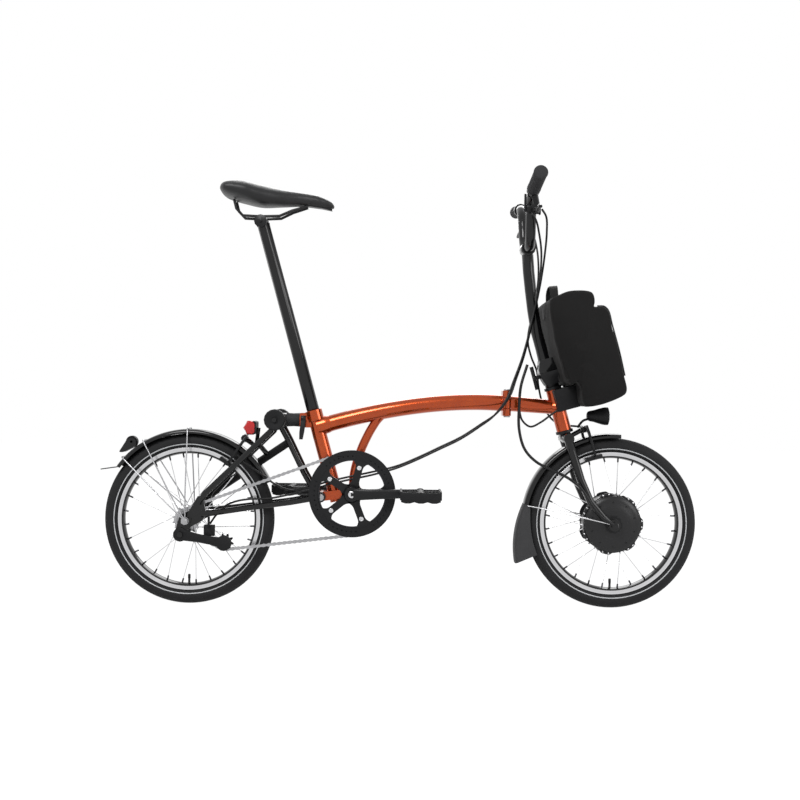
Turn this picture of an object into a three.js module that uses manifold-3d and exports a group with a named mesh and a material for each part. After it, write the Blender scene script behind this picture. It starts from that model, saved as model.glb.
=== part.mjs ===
// Folding bicycle with a front hub motor and a front battery bag.
// Millimetres, X forwards, Y to the rider's left, Z up, worked out from the rear axle on the ground line.
import * as THREE from 'three';
import { mergeVertices } from 'three/addons/utils/BufferGeometryUtils.js';
import Module from 'manifold-3d';

const wasm = await Module();
wasm.setup();

// Clearances and general sizes
const fit = 0.3;
const overrun = 2;
const weldTolerance = 1e-4;
const degree = Math.PI / 180;
const fullTurn = 2 * Math.PI;

// Wheels
const wheelbase = 1042;
const tyreHalfWidth = 18.5;
const rimSeatRadius = 171;
const tyreDepth = 39;
const tyreRadius = rimSeatRadius + tyreDepth;
const rimFlangeHeight = 5;
const rimDepth = 11;
const rimInnerRadius = rimSeatRadius - rimDepth;
const rimHalfWidth = 12.5;
const rimWall = 2;
const rimWellHalfWidth = 7;
const wheelSides = 28;
const spokeRadius = 1.1;
const spokesPerSide = 14;
const spokeSides = 3;
const spokeHook = 3;
const spokeFlange = 3;
const valveRadius = 3.2;
const valveLength = 22;
const axleRadius = 5;

// Rear hub
const rearFlangeRadius = 24;
const rearFlangeOffset = 27;
const rearHubRadius = 15;
const rearHubHalfLength = 36;
const rearLacing = 62 * degree;

// Front hub motor
const motorRadius = 70;
const motorHalfWidth = 44;
const motorLobeRadius = 76;
const motorLobeDepth = 4;
const motorLobes = 7;
const motorFlangeOffset = 26;
const motorCoverRadius = 46;
const motorBossRadius = 15;
const motorShoulder = 8;
const frontLacing = 9 * degree;

// Frame angles and main points; points at the front are measured from the bottom of the head tube
const frameAngle = 15.6 * degree;
const seatTop = { x: 302.8, z: 479.8 };
const headBottom = { x: wheelbase - 117, z: tyreRadius + 228 };
const crankCentre = { x: 403.5, z: 279 };
const rearPivot = { x: 325, z: 268 };
const hingeX = 779;
const fromHead = (points) => points.map((p) => (Array.isArray(p) ? [headBottom.x + p[0], p[1],
  headBottom.z + p[2]]
  : { ...p, x: headBottom.x + p.x, z: headBottom.z + p.z }));
const hingeZ = 503.5;

// Main frame
const seatTubeRadius = 17.8;
const seatTubeLength = 231;
const seatCollarRadius = 21.5;
const seatCollarLength = 26;
const seatLug = { rear: 270.5, front: 300, low: 438, high: 474, halfWidth: 13 };
const mainTubeRadius = 20;
const mainTubeStart = 42;
const mainTubeRise = 17 * degree;
const mainTubeFall = 4 * degree;
const mainTubeHandle = 150;
const mainTubeEnd = 772;
const braceRadius = 11;
const braceRoute = [{ x: 470, z: 473 }, { x: 441, z: 425 }, { x: 421, z: 380 }, { x: 406, z: 326 },
  { x: 403.5, z: 285 }];
const bracketShellRadius = 20;
const bracketShellHalfWidth = 34;
const bracketBoreRadius = 17;
const pivotPlate = { inner: 18, outer: 24, halfHeight: 11 };
const pivotTubeRadius = 13;
const pivotPinRadius = 6;
const pivotPinHeadRadius = 9;
const pivotPinHeadLength = 3;

// Main hinge
const hingePlate = { thickness: 8.7, right: 23, left: 24, halfHeight: 31, corner: 9 };
const hingeOffset = 34;
const hingeBarrelRadius = 10.5;
const hingeMiddleHalf = 13;
const hingeOuterHalf = 31;
const hingePinRadius = 5;
const hingePinHeadRadius = 8;
const hingePinHeadLength = 3;

// Front frame
const frontTubeRadius = 19.5;
const frontTubeEnd = 17;
const headTubeRadius = 18.5;
const headTubeLength = 104;
const headCupRadius = 21.5;
const headCupLength = 7;
const steererRadius = 14.2;
const frontTubeSeat = 58;

// Folding lever with a T bar, used at both hinges
const lever = { boltRadius: 5, reach: 15, barRadius: 5.2, barHalf: 29, hubRadius: 8, hubLength: 7 };
const hingeLeverBoss = 6;
const postLeverDrop = 7;
const postLeverSide = 8;

// Steering post
const postHingeHeight = 150.5;
const postPlate = { rear: 24, front: 40, halfWidth: 21, thickness: 10, collar: 17, collarHeight: 32 };
const postPinOffset = 29;
const postPinRadius = 4;
const postBarrelRadius = 7.5;
const postRadius = 14.5;
const postRoute = fromHead([{ x: -47, z: 152 }, { x: -59, z: 202 }, { x: -72, z: 247 },
  { x: -80.5, z: 297 }, { x: -87, z: 347 }, { x: -92, z: 390 }, { x: -95.4, z: 434 }]);
const barClamp = { ...fromHead([{ x: -95.4, z: 448 }])[0], radius: 18, halfWidth: 22 };

// Handlebar, grips, brake levers
const barRadius = 12.4;
const barRoute = [{ y: 0, x: 0, z: 0 }, { y: 28, x: 0, z: 0 }, { y: 48, x: 0, z: 5 },
  { y: 68, x: -1, z: 26 }, { y: 80, x: -2, z: 60 },
  { y: 96, x: -3, z: 98 }, { y: 122, x: -4, z: 117 }, { y: 133, x: -3.8, z: 119.9 },
    { y: 190, x: -3, z: 127 },
  { y: 262, x: -2, z: 136 }];
const grip = { from: 153, to: 265, radius: 15.5, capRadius: 16.5, capLength: 4 };
const brakeClamp = { y: 143, halfLength: 8, radius: 16.5 };
const brakePivotPlace = { forward: 8, inward: 10, drop: 50 };
const brakeBlade = { hubRadius: 7, halfWidth: 6.5, halfThickness: 3.5, pinRadius: 2.5 };
const brakeBladeRoute = [{ y: 0, x: 0, z: 0 }, { y: 16, x: 1, z: -3 }, { y: 44, x: 0, z: 2 },
  { y: 76, x: -2, z: 0 },
  { y: 100, x: -3, z: -6 }];
const brakeEar = { thickness: 3, half: 8, high: 16, low: 8 };
const shifter = { radius: 11.5, rear: 14, front: -3, inward: 22, drop: 42, footRadius: 5 };
const trigger = { thickness: 5, high: 34, low: 7, halfWidth: 6, pinRadius: 2.5 };

// Fork
const crownRadius = 13;
const bladeSpread = 40;
const bladeTopRadius = 11.5;
const bladeTipRadius = 8;
const dropoutSpread = 54;
const forkBladeRoute = fromHead([{ x: 3, z: -14, share: 0 }, { x: 19, z: -66, share: 0 },
  { x: 36, z: -120, share: 0.25 }, { x: 59, z: -172, share: 0.7 }, { x: 90, z: -209, share: 1 },
  { x: 111, z: -225, share: 1 }]);
const dropout = { radius: 15, thickness: 5 };
const axleNutRadius = 9;
const axleNutLength = 8;

// Mudguards
const guardGap = 11.5;
const guardRadius = tyreRadius + guardGap;
const guardWall = 2.5;
const guardSink = 0.7;
const guardHalfWidth = 24;
const guardSkirt = 11;
const frontGuard = { from: 84.5 * degree, to: 170 * degree, steps: 9 };
const flap = { to: 203 * degree, outer: 258, skirt: 58, halfWidth: 29, steps: 3 };
const rearGuard = { from: 25 * degree, to: 144 * degree, steps: 12 };
const rearFlap = { tipX: -220, tipZ: 331, thickness: 3, rootX: -176.5, rootZ: 337.5 };
const guardBoss = 8;
const stayRadius = 1.8;
const stayAngles = [91 * degree, 120.5 * degree, 137.5 * degree];
const stayEye = { radius: 8, thickness: 3, left: 58.1, right: 62.9, clear: 26 };
const guardRoller = { x: -145, z: 398.3, radius: 14.5, cheekInner: 8.3, cheekOuter: 11, cheekRadius: 9,
  pinRadius: 3.5,
  foot: 4 * degree };

// Rear frame
const rearLug = { inner: 24.8, outer: 36, radius: 13 };
const chainstayRadius = 7.5;
const seatstayRadius = 7.5;
const strutRadius = 6.5;
const rearDropout = { inner: 52, outer: 57.5, radius: 17 };
const chainstayRoute = [{ x: 314.5, z: 266.5, y: 32.5 }, { x: 252, z: 255, y: 32.5 },
  { x: 150, z: 241, y: 33 },
  { x: 95, z: 233, y: 44 }, { x: 58, z: 228, y: 54 }, { x: 38, z: 225, y: 54.7 }];
const seatstayRoute = [{ x: 214, z: 454, y: 40 }, { x: 202, z: 428, y: 40.5 }, { x: 122, z: 350, y: 47 },
  { x: 46, z: 276, y: 54.2 },
  { x: 32, z: 252, y: 54.7 }];
const strutRoute = [{ x: 219, z: 454, y: 38 }, { x: 246, z: 404, y: 34 }, { x: 283, z: 328, y: 31.7 },
  { x: 311, z: 279, y: 31.6 }];
const rollerAxle = { x: 215, z: 457, radius: 9, halfLength: 55.5, pinRadius: 4, boltRadius: 6,
  boltLength: 3 };
const stayBridge = { reach: 34, radius: 6 };
const lowerBridge = { x: 247, z: 254.5, radius: 7 };
const roller = { radius: 26, width: 20, bore: 4.4, hub: 11, recess: 3 };
const blockRadius = 17;
const rubberBlock = { rear: 238, front: 270.2 };

// Crankset and chain
const toothPitch = 12.7;
const ringTeeth = 50;
const cogTeeth = 13;
const largeCogTeeth = 16;
const jockeyTeeth = 9;
const chainOffset = 44;
const ringThickness = 2.4;
const toothRoot = 6.2;
const toothTip = 3.2;
const rollerRadius = 3.4;
const rollerSides = 3;
const rollerGap = 0.1;
const linkTies = 6;
const linkInner = 2.2;
const linkOuter = 3.4;
const linkHalfHeight = 4;
const ringInnerRadius = 80;
const boltCircleRadius = 65;
const spiderArms = 5;
const spiderPhase = 3 * degree;
const spiderTabRadius = 9;
const spiderThickness = 5;
const spiderHubRadius = 22;
const spiderArmHalf = 9;
const chainGuard = { inner: 84, outer: 106, thickness: 2.5 };
const ringBolt = { radius: 5.5, length: 3 };
const ringWindows = { count: 10, inner: 83.5, outer: 90.5, spread: 17 * degree };
const largeCogGap = 3.7;
const armAngleGuess = -7 * degree;
const armAngleSearch = 12 * degree;
const crankLength = 165;
const crankAngle = 1.7 * degree;
const crankBoss = { radius: 17, outer: 77, wall: 6 };
const crankArm = { inner: 62, outer: 76, flare: 10, rootHalf: 14, tipHalf: 10.5, bevel: 3 };
const crankAxleRadius = 8;
const bearing = { radius: 16.5, flangeRadius: 20, flangeLength: 3 };

// Pedals
const pedalBoss = 13;
const pedalAxleRadius = 5;
const pedal = { inner: 95, outer: 190, halfLength: 46, halfHeight: 11, wave: 3.5, waves: 3, plate: 5,
  body: 12 };
const pedalPlateShares = [0, 0.5, 1];

// Chain tensioner
const tensionPivot = { x: -11, z: 177 };
const tensionReach = 107.5;
const tensionArm = { inner: 62.6, outer: 68, pivotRadius: 17, endRadius: 19, waist: 10 };
const jockeyBoltRadius = 4;
const tensionPlate = { inner: 57, outer: 62.3 };
const cogCarrierRadius = 15;
const pusher = { x: 56, halfLength: 13, high: 199, low: 172, wing: 2, gap: 4.2, rodRadius: 3, reachIn: 8 };

// Brake arms
const brakePivotLift = 18.5;
const brakePivotRadius = guardRadius + brakePivotLift;
const brakeArmThickness = 6;
const brakeArmOutline = [
  { y: -9, r: 7 }, { y: 4, r: 9 }, { y: 28, r: 10 }, { y: 37, r: -8 }, { y: 37, r: -60 }, { y: 31, r: -75 },
  { y: 25, r: -74 }, { y: 29, r: -48 }, { y: 28, r: -14 }, { y: 20, r: -3 }, { y: 4, r: -8 },
    { y: -9, r: -7 }];
const brakePad = { inner: 14.2, outer: 30, halfLength: 21, low: 163.5, high: 172.5, halfHeight: 4.5,
  stud: 10 };
const brakePivotPin = 3.5;
const brakePostRadius = 6;
const brakePostNeck = 3;
const frontBrakeAngle = 106 * degree;
const rearBrakeAngle = 56 * degree;

// Saddle
const saddle = { rear: 69, length: 284, rearTop: 1042, midTop: 1024, noseTop: 1004, rearHalf: 74,
  noseHalf: 19, depth: 42 };
const saddleStationShares = [0, 0.03, 0.09, 0.2, 0.36, 0.54, 0.72, 0.88, 0.97, 1];
const saddleWidthShares = [0.5, 0.82, 0.97, 1, 0.82, 0.48, 0.3, 0.26, 0.2, 0.1];
const saddleTopShares = [0.55, 0.85, 1, 0.86, 0.36, 0.02, 0, -0.1, -0.5, -1.0];
const saddleDepthShares = [0.35, 0.62, 0.86, 1, 1, 0.82, 0.68, 0.62, 0.46, 0.2];
const saddleRingPoints = 20;
const saddleBase = { thickness: 6, inset: 9, drop: 0.8 };
const rail = { radius: 3.5, headHalf: 17, cheek: 10, cheekRadius: 16, boltRadius: 4, boltLength: 4 };
const railRoute = [{ x: 104, y: 22, z: 998 }, { x: 110, y: 22, z: 975 }, { x: 126, y: 22, z: 958 },
  { x: 168, y: 22, z: 956 },
  { x: 216, y: 20, z: 958 }, { x: 246, y: 16, z: 972 }, { x: 284, y: 11, z: 984 }];
const seatPost = { radius: 15.9, insert: 90, headX: 170, headZ: 945, headRadius: 12 };
const clampLever = { x: 280.3, y: -21, z: 461, halfWidth: 6, hubRadius: 6.5, pinRadius: 2.5, ear: 3,
  halfThickness: 2 };
const clampLeverRoute = [{ x: 0, y: 0, z: 0, share: 1 }, { x: -1, y: -4, z: -16, share: 1 },
  { x: -3, y: -6, z: -34, share: 1 },
  { x: -5, y: -5, z: -52, share: 0.7 }];

// Battery dock and bag
const dock = { rear: 7, front: 47, low: 49, high: 103, halfWidth: 50 };
const bagOutline = fromHead([{ x: -3.5, z: 108.5 }, { x: 16.5, z: 114.5 }, { x: 30, z: 62.8 },
  { x: 67, z: 63 }, { x: 126, z: 88 }, { x: 131, z: 99 }, { x: 125.6, z: 134 }, { x: 112, z: 191 },
  { x: 94.6, z: 254.5 }, { x: 85.6, z: 288.5 }, { x: 72.8, z: 300 }, { x: 50.5, z: 300 },
  { x: 51.4, z: 318 }, { x: 44, z: 331.6 }, { x: -4.2, z: 334.4 }, { x: -30.3, z: 325.4 },
  { x: -53, z: 313 }, { x: -53, z: 271 }, { x: -27, z: 160 }]);
const bag = { halfWidth: 126, edge: 12, edgeShare: 0.96, recessHalf: 92, recessFront: 54, recessHigh: 70,
  recessLow: 60 };
const bagHandleRoute = fromHead([{ x: -33, y: -44, z: 319 }, { x: -33, y: -34, z: 344 },
  { x: -32, y: 0, z: 356 }, { x: -33, y: 34, z: 344 }, { x: -33, y: 44, z: 319 }]);
const bagHandle = { radius: 5 };

// Lamps and pump
const headlamp = { ...fromHead([{ x: 82, z: 36 }])[0], rearRadius: 13, frontRadius: 22, halfLength: 26,
  lensDepth: 4, wireRadius: 3,
  bracketShare: 0.6 };
const tailLamp = { x: 150, z: 436, halfHeight: 17, depth: 26, halfWidth: 26, corner: 5 };
const tailLampArm = 5;
const pumpRadius = 10;
const pumpSide = 75;
const pumpRoute = [{ x: 28, z: 257 }, { x: 245, z: 404 }];
const pumpCap = { radius: 11, length: 18 };
const pumpClipShares = [0.3, 0.72];

// Cables, as points chosen by hand along their clips
const cableRadius = 2.5;
const motorCableRadius = 3.5;
const cableSides = 5;
const rearBrakeRoute = [...fromHead([[-78, -131, 525], [-67, -127, 508], [-62, -104, 474], [-61, -62, 424],
  [-65, -30, 368], [-73, -20, 319], [-85, -21, 262], [-99, -25, 202], [-107, -30, 174], [-125, -42, 124],
  [-141, -54, 82]]),
  [752, -52, 478], [716, -45, 452], [668, -40, 420], [618, -35, 395], [560, -33, 367], [512, -32, 347],
  [445, -30, 330], [400, -27, 320], [370, -27, 313], [342, -24, 306], [318, -16, 298], [283, -14, 290],
  [250, -22, 284], [215, -31, 298], [185, -35, 320], [150, -37, 345], [121, -35, 369.5]];
const gearRoute = [...fromHead([[-108, -106, 527], [-89, -99, 507], [-77, -80, 474], [-69, -62, 430],
  [-69, -40, 370], [-75, -27, 319], [-87, -28, 262], [-102, -31, 202], [-112, -36, 170], [-132, -48, 118]]),
  [776, -60, 514], [745, -58, 472], [712, -51, 446], [664, -46, 414], [614, -41, 389], [556, -39, 361],
  [508, -38, 341], [445, -36, 323], [400, -33, 313], [370, -32, 306], [342, -29, 299], [318, -22, 289.5],
  [283, -20, 283], [250, -27, 274], [200, -33, 264], [150, -38, 262], [118, -38, 256], [92, -32, 244],
    [72, -32, 224], [58.5, -37, 204], [56.8, -38, 200.3]];
const frontBrakeRoute = fromHead([[-79, 132, 525], [-68, 127, 507], [-61, 98, 467], [-61, 58, 422],
  [-65, 28, 370], [-73, 20.5, 319], [-84, 21, 267], [-89, 27, 222], [-79, 40, 184], [-63, 50, 147],
  [-57, 56, 107], [-45, 58, 62], [-20, 57, 24], [12, 46, 12], [42.4, 29.6, 9]]);
const motorRoute = fromHead([[-97, -36, 160], [-113, -44, 107], [-117, -48, 62], [-117, -52, 2],
  [-103, -54, -46], [-75, -56, -76], [-35, -59, -96], [5, -60, -116], [35, -60, -140], [57, -64, -174],
  [81, -69, -204], [111, -70.9, -226]]);
const dockLeadRoute = fromHead([[-117, -48, 50], [-109, -47, 24], [-89, -44, 9], [-63, -40, 20],
  [-41, -37, 36], [-22.6, -35, 49.2]]);

// Colours of the pieces
const paint = {
  lacquer: new THREE.MeshStandardMaterial({ color: 0xb84418, roughness: 0.25, metalness: 0.6 }),
  black: new THREE.MeshStandardMaterial({ color: 0x17171a, roughness: 0.35, metalness: 0.3 }),
  plastic: new THREE.MeshStandardMaterial({ color: 0x1d1d1f, roughness: 0.6, metalness: 0 }),
  rubber: new THREE.MeshStandardMaterial({ color: 0x161616, roughness: 0.8, metalness: 0 }),
  silver: new THREE.MeshStandardMaterial({ color: 0xc4c6c8, roughness: 0.3, metalness: 0.9 }),
  steel: new THREE.MeshStandardMaterial({ color: 0x8d8f92, roughness: 0.35, metalness: 0.9 }),
  fabric: new THREE.MeshStandardMaterial({ color: 0x1b1b1c, roughness: 0.9, metalness: 0 }),
  lens: new THREE.MeshStandardMaterial({ color: 0xdfe3e6, roughness: 0.08, metalness: 0 }),
  red: new THREE.MeshStandardMaterial({ color: 0xa01216, roughness: 0.2, metalness: 0 }),
};

// Solid helpers

function signedVolume(positions, triangles) {
  let total = 0;
  const a = new THREE.Vector3();
  const b = new THREE.Vector3();
  const c = new THREE.Vector3();
  for (let i = 0; i < triangles.length; i += 3) {
    a.fromArray(positions, triangles[i] * 3);
    b.fromArray(positions, triangles[i + 1] * 3);
    c.fromArray(positions, triangles[i + 2] * 3);
    total += a.dot(b.cross(c));
  }
  return total;
}

function solid(geometry) {
  const bare = geometry.clone();
  bare.deleteAttribute('normal');
  bare.deleteAttribute('uv');
  const merged = mergeVertices(bare, weldTolerance);
  const positions = merged.attributes.position.array;
  const index = merged.index.array;
  const triangles = [];
  for (let i = 0; i < index.length; i += 3) {
    const [a, b, c] = [index[i], index[i + 1], index[i + 2]];
    if (a !== b && b !== c && c !== a) triangles.push(a, b, c);
  }
  if (signedVolume(positions, triangles) < 0) triangles.reverse();
  return new wasm.Manifold(new wasm.Mesh({
    numProp: 3,
    vertProperties: new Float32Array(positions),
    triVerts: new Uint32Array(triangles),
  }));
}

function join(...solids) {
  return solids.flat(Infinity).reduce((sum, next) => sum.add(next));
}

function cut(body, ...tools) {
  return tools.flat(Infinity).reduce((rest, tool) => rest.subtract(tool), body);
}

function point(x, y, z) {
  return new THREE.Vector3(x, y, z);
}

function polygon(radius, sides) {
  return Array.from({ length: sides }, (_, i) => {
    const angle = fullTurn * (i + 0.5) / sides;
    return new THREE.Vector2(radius * Math.cos(angle), radius * Math.sin(angle));
  });
}

// Straight bar or cone between two points
function rod(from, to, radius, sides = 12, endRadius = radius) {
  const span = to.clone().sub(from);
  const geometry = new THREE.CylinderGeometry(endRadius, radius, span.length(), sides);
  const turn = new THREE.Quaternion().setFromUnitVectors(point(0, 1, 0), span.clone().normalize());
  geometry.applyQuaternion(turn);
  geometry.translate(...from.clone().add(to).multiplyScalar(0.5).toArray());
  return solid(geometry);
}

// Bar across the bicycle at one place of the side view
function crossBar(place, from, to, radius, sides = 12) {
  return rod(point(place.x, from, place.z), point(place.x, to, place.z), radius, sides);
}

// Round tube along a smooth curve
function tube(curve, radius, sides, steps) {
  const section = new THREE.Shape(polygon(radius, sides));
  return solid(new THREE.ExtrudeGeometry(section, { steps, bevelEnabled: false, extrudePath: curve }));
}

// Bar bent at each of its points, with the section carried along without twist
function bent(points, radius, sides) {
  const section = polygon(radius, sides);
  const last = points.length - 1;
  const across = point(0, 1, 0);
  return loft(points.map((p, i) => {
    const along = points[Math.min(i + 1, last)].clone().sub(points[Math.max(i - 1, 0)]).normalize();
    if (i === 0 && Math.abs(along.y) > 0.9) across.set(1, 0, 0);
    across.addScaledVector(along, -across.dot(along)).normalize();
    const side = along.clone().cross(across);
    return section.map((q) => p.clone().addScaledVector(across, q.x).addScaledVector(side, q.y));
  }));
}

function smooth(points) {
  return new THREE.CatmullRomCurve3(points, false, 'centripetal');
}

// Closed skin through rings of the same number of points
function loft(rings) {
  const count = rings[0].length;
  const positions = rings.flat().flatMap((p) => [p.x, p.y, p.z]);
  const index = [];
  for (let r = 0; r + 1 < rings.length; r += 1) {
    for (let i = 0; i < count; i += 1) {
      const a = r * count + i;
      const b = r * count + (i + 1) % count;
      index.push(a, b, a + count, b, b + count, a + count);
    }
  }
  const caps = capTriangles(rings[0]);
  const last = (rings.length - 1) * count;
  for (const [a, b, c] of caps) index.push(c, b, a);
  for (const [a, b, c] of capTriangles(rings[rings.length - 1])) index.push(last + a, last + b, last + c);
  const geometry = new THREE.BufferGeometry();
  geometry.setAttribute('position', new THREE.Float32BufferAttribute(positions, 3));
  geometry.setIndex(index);
  return solid(geometry);
}

// Triangles of a flat ring, found in the ring's own plane
function capTriangles(ring) {
  const normal = new THREE.Vector3();
  ring.forEach((p, i) => normal.add(p.clone().cross(ring[(i + 1) % ring.length])));
  normal.normalize();
  const side = Math.abs(normal.y) < 0.9 ? point(0, 1, 0) : point(1, 0, 0);
  const u = side.clone().addScaledVector(normal, -side.dot(normal)).normalize();
  const v = normal.clone().cross(u);
  return THREE.ShapeUtils.triangulateShape(ring.map((p) => new THREE.Vector2(p.dot(u), p.dot(v))), []);
}

// Body of revolution about the Y axis at a place of the side view
function turned(profile, place, sides = wheelSides) {
  const points = profile.map(([radius, y]) => new THREE.Vector2(radius, y));
  if (profile[0][0] > 0) points.push(points[0].clone());
  const geometry = new THREE.LatheGeometry(points, sides);
  geometry.translate(place.x, 0, place.z);
  return solid(geometry);
}

// Flat plate in the side view between two Y values
function plate(outline, from, to, holes = []) {
  const shape = new THREE.Shape(outline.map((p) => new THREE.Vector2(p.x, p.z)));
  shape.holes = holes.map((hole) => new THREE.Path(hole.map((p) => new THREE.Vector2(p.x, p.z))));
  const geometry = new THREE.ExtrudeGeometry(shape, { depth: Math.abs(to - from), bevelEnabled: false });
  geometry.rotateX(Math.PI / 2);
  geometry.translate(0, Math.max(from, to), 0);
  return solid(geometry);
}

function block(x, y, z) {
  const geometry = new THREE.BoxGeometry(x[1] - x[0], y[1] - y[0], z[1] - z[0]);
  geometry.translate((x[0] + x[1]) / 2, (y[0] + y[1]) / 2, (z[0] + z[1]) / 2);
  return solid(geometry);
}

// Places on the steering axis and on the seat tube: ahead of the axis, to the left, and up along it
const ahead = point(Math.cos(frameAngle), 0, Math.sin(frameAngle));
const upwards = point(-Math.sin(frameAngle), 0, Math.cos(frameAngle));

function onAxis(base, forward, side, up) {
  return point(base.x, 0, base.z).addScaledVector(ahead, forward).addScaledVector(upwards,
    up).add(point(0, side, 0));
}

const onSteering = (forward, side, up) => onAxis(headBottom, forward, side, up);
const onSeatTube = (forward, side, up) => onAxis(seatTop, forward, side, up);
const onPostHinge = (forward, side, up) => onSteering(forward, side, postHingeHeight + up);

// Round outline in the side view
function ringOutline(centre, radius, sides, phase = 0) {
  return Array.from({ length: sides }, (_, i) => {
    const angle = phase + fullTurn * i / sides;
    return { x: centre.x + radius * Math.cos(angle), z: centre.z + radius * Math.sin(angle) };
  });
}

const rearAxle = { x: 0, z: tyreRadius };
const frontAxle = { x: wheelbase, z: tyreRadius };
const parts = [];

function keep(name, body, material) {
  const mesh = body.getMesh();
  const geometry = new THREE.BufferGeometry();
  geometry.setAttribute('position', new THREE.BufferAttribute(new Float32Array(mesh.vertProperties), 3));
  geometry.setIndex(new THREE.BufferAttribute(new Uint32Array(mesh.triVerts), 1));
  geometry.computeVertexNormals();
  const piece = new THREE.Mesh(geometry, material.clone());
  piece.name = name;
  parts.push(piece);
}

// Wheels: tyre casing, rim with its laced spokes and valve

function tyre(axle) {
  const bead = rimHalfWidth - rimWall - fit;
  const seat = rimSeatRadius + fit;
  const lip = rimSeatRadius + rimFlangeHeight + fit;
  const crown = tyreRadius;
  const height = crown - lip;
  return turned([
    [seat, bead], [lip, bead], [lip + height * 0.36, tyreHalfWidth],
      [lip + height * 0.8, tyreHalfWidth * 0.76],
    [crown, 0], [lip + height * 0.8, -tyreHalfWidth * 0.76], [lip + height * 0.36, -tyreHalfWidth],
      [lip, -bead],
    [seat, -bead],
  ], axle);
}

function rim(axle) {
  const flange = rimSeatRadius + rimFlangeHeight;
  const inside = rimHalfWidth - rimWall;
  return turned([
    [flange, rimHalfWidth], [flange, inside], [rimSeatRadius, inside], [rimSeatRadius, -inside],
      [flange, -inside],
    [flange, -rimHalfWidth], [rimInnerRadius + rimWall, -rimHalfWidth], [rimInnerRadius, 0],
    [rimInnerRadius + rimWall, rimHalfWidth],
  ], axle);
}

// Spokes leave the edge of each flange and cross over to the rim by the lacing angle, turn and turn about
function spokes(axle, flangeRadius, flangeOffset, lacing, clearance) {
  const bodies = [];
  const start = flangeRadius - spokeHook;
  const lift = spokeFlange / 2 + clearance + spokeRadius;
  for (const side of [1, -1]) {
    for (let i = 0; i < spokesPerSide; i += 1) {
      const rimAngle = fullTurn * (i + (side > 0 ? 0.25 : 0.75)) / spokesPerSide;
      const hubAngle = rimAngle + (i % 2 === 0 ? lacing : -lacing);
      const out = i % 2 === 0 ? lift : -lift;
      const from = point(axle.x + start * Math.cos(hubAngle), side * (flangeOffset + out),
        axle.z + start * Math.sin(hubAngle));
      const rimPoint = rimInnerRadius + rimWall;
      const to = point(axle.x + rimPoint * Math.cos(rimAngle), side * (rimWellHalfWidth / 2 + out / 2),
        axle.z + rimPoint * Math.sin(rimAngle));
      bodies.push(rod(from, to, spokeRadius, spokeSides));
    }
  }
  return bodies;
}

function lacedRim(axle, flangeRadius, flangeOffset, lacing, clearance) {
  const valve = rod(point(axle.x, 0, axle.z - rimInnerRadius - rimWall),
    point(axle.x, 0, axle.z - rimInnerRadius + valveLength),
    valveRadius, 8);
  return join(rim(axle), spokes(axle, flangeRadius, flangeOffset, lacing, clearance), valve);
}

function rearHub() {
  const bore = axleRadius + fit;
  const outer = rearFlangeOffset + spokeFlange / 2;
  const inner = rearFlangeOffset - spokeFlange / 2;
  const leftEnd = rearDropout.inner - fit;
  return turned([
    [bore, -rearHubHalfLength], [rearHubRadius, -rearHubHalfLength], [rearHubRadius, -outer],
      [rearFlangeRadius, -outer],
    [rearFlangeRadius, -inner], [rearHubRadius, -inner], [rearHubRadius, inner], [rearFlangeRadius, inner],
    [rearFlangeRadius, outer], [rearHubRadius, outer], [rearHubRadius, rearHubHalfLength],
    [axleRadius * 2, rearHubHalfLength + axleRadius], [axleRadius * 2, leftEnd], [bore, leftEnd],
  ], rearAxle, 14);
}

// Motor shell with two lobed spoke flanges
function frontMotor() {
  const bore = axleRadius + 1 + fit;
  const shell = turned([
    [bore, -motorHalfWidth], [motorBossRadius, -motorHalfWidth],
      [motorCoverRadius, -motorHalfWidth + motorShoulder / 2],
    [motorRadius - motorShoulder / 2, -motorHalfWidth + motorShoulder],
      [motorRadius, -motorHalfWidth + motorShoulder * 1.6],
    [motorRadius, motorHalfWidth - motorShoulder * 1.6], [motorRadius - motorShoulder / 2,
      motorHalfWidth - motorShoulder],
    [motorCoverRadius, motorHalfWidth - motorShoulder / 2], [motorBossRadius, motorHalfWidth],
      [bore, motorHalfWidth],
  ], frontAxle, 20);
  const lobes = Array.from({ length: motorLobes * 3 }, (_, i) => {
    const angle = fullTurn * i / (motorLobes * 3);
    const radius = motorLobeRadius - motorLobeDepth / 2 + motorLobeDepth / 2 * Math.cos(motorLobes * angle);
    return { x: frontAxle.x + radius * Math.cos(angle), z: frontAxle.z + radius * Math.sin(angle) };
  });
  const hole = ringOutline(frontAxle, motorRadius - motorShoulder, 16);
  const flanges = [1, -1].map((side) => plate(lobes, side * (motorFlangeOffset - spokeFlange / 2),
    side * (motorFlangeOffset + spokeFlange / 2), [hole]));
  return join(shell, flanges);
}

// Main frame

function mainTubeCurve() {
  const start = onSeatTube(0, 0, -mainTubeStart);
  const end = point(mainTubeEnd, 0, hingeZ);
  const rise = point(Math.cos(mainTubeRise), 0, Math.sin(mainTubeRise)).multiplyScalar(mainTubeHandle);
  const fall = point(-Math.cos(mainTubeFall), 0, Math.sin(mainTubeFall)).multiplyScalar(mainTubeHandle);
  return new THREE.CubicBezierCurve3(start, start.clone().add(rise), end.clone().add(fall), end);
}

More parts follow.
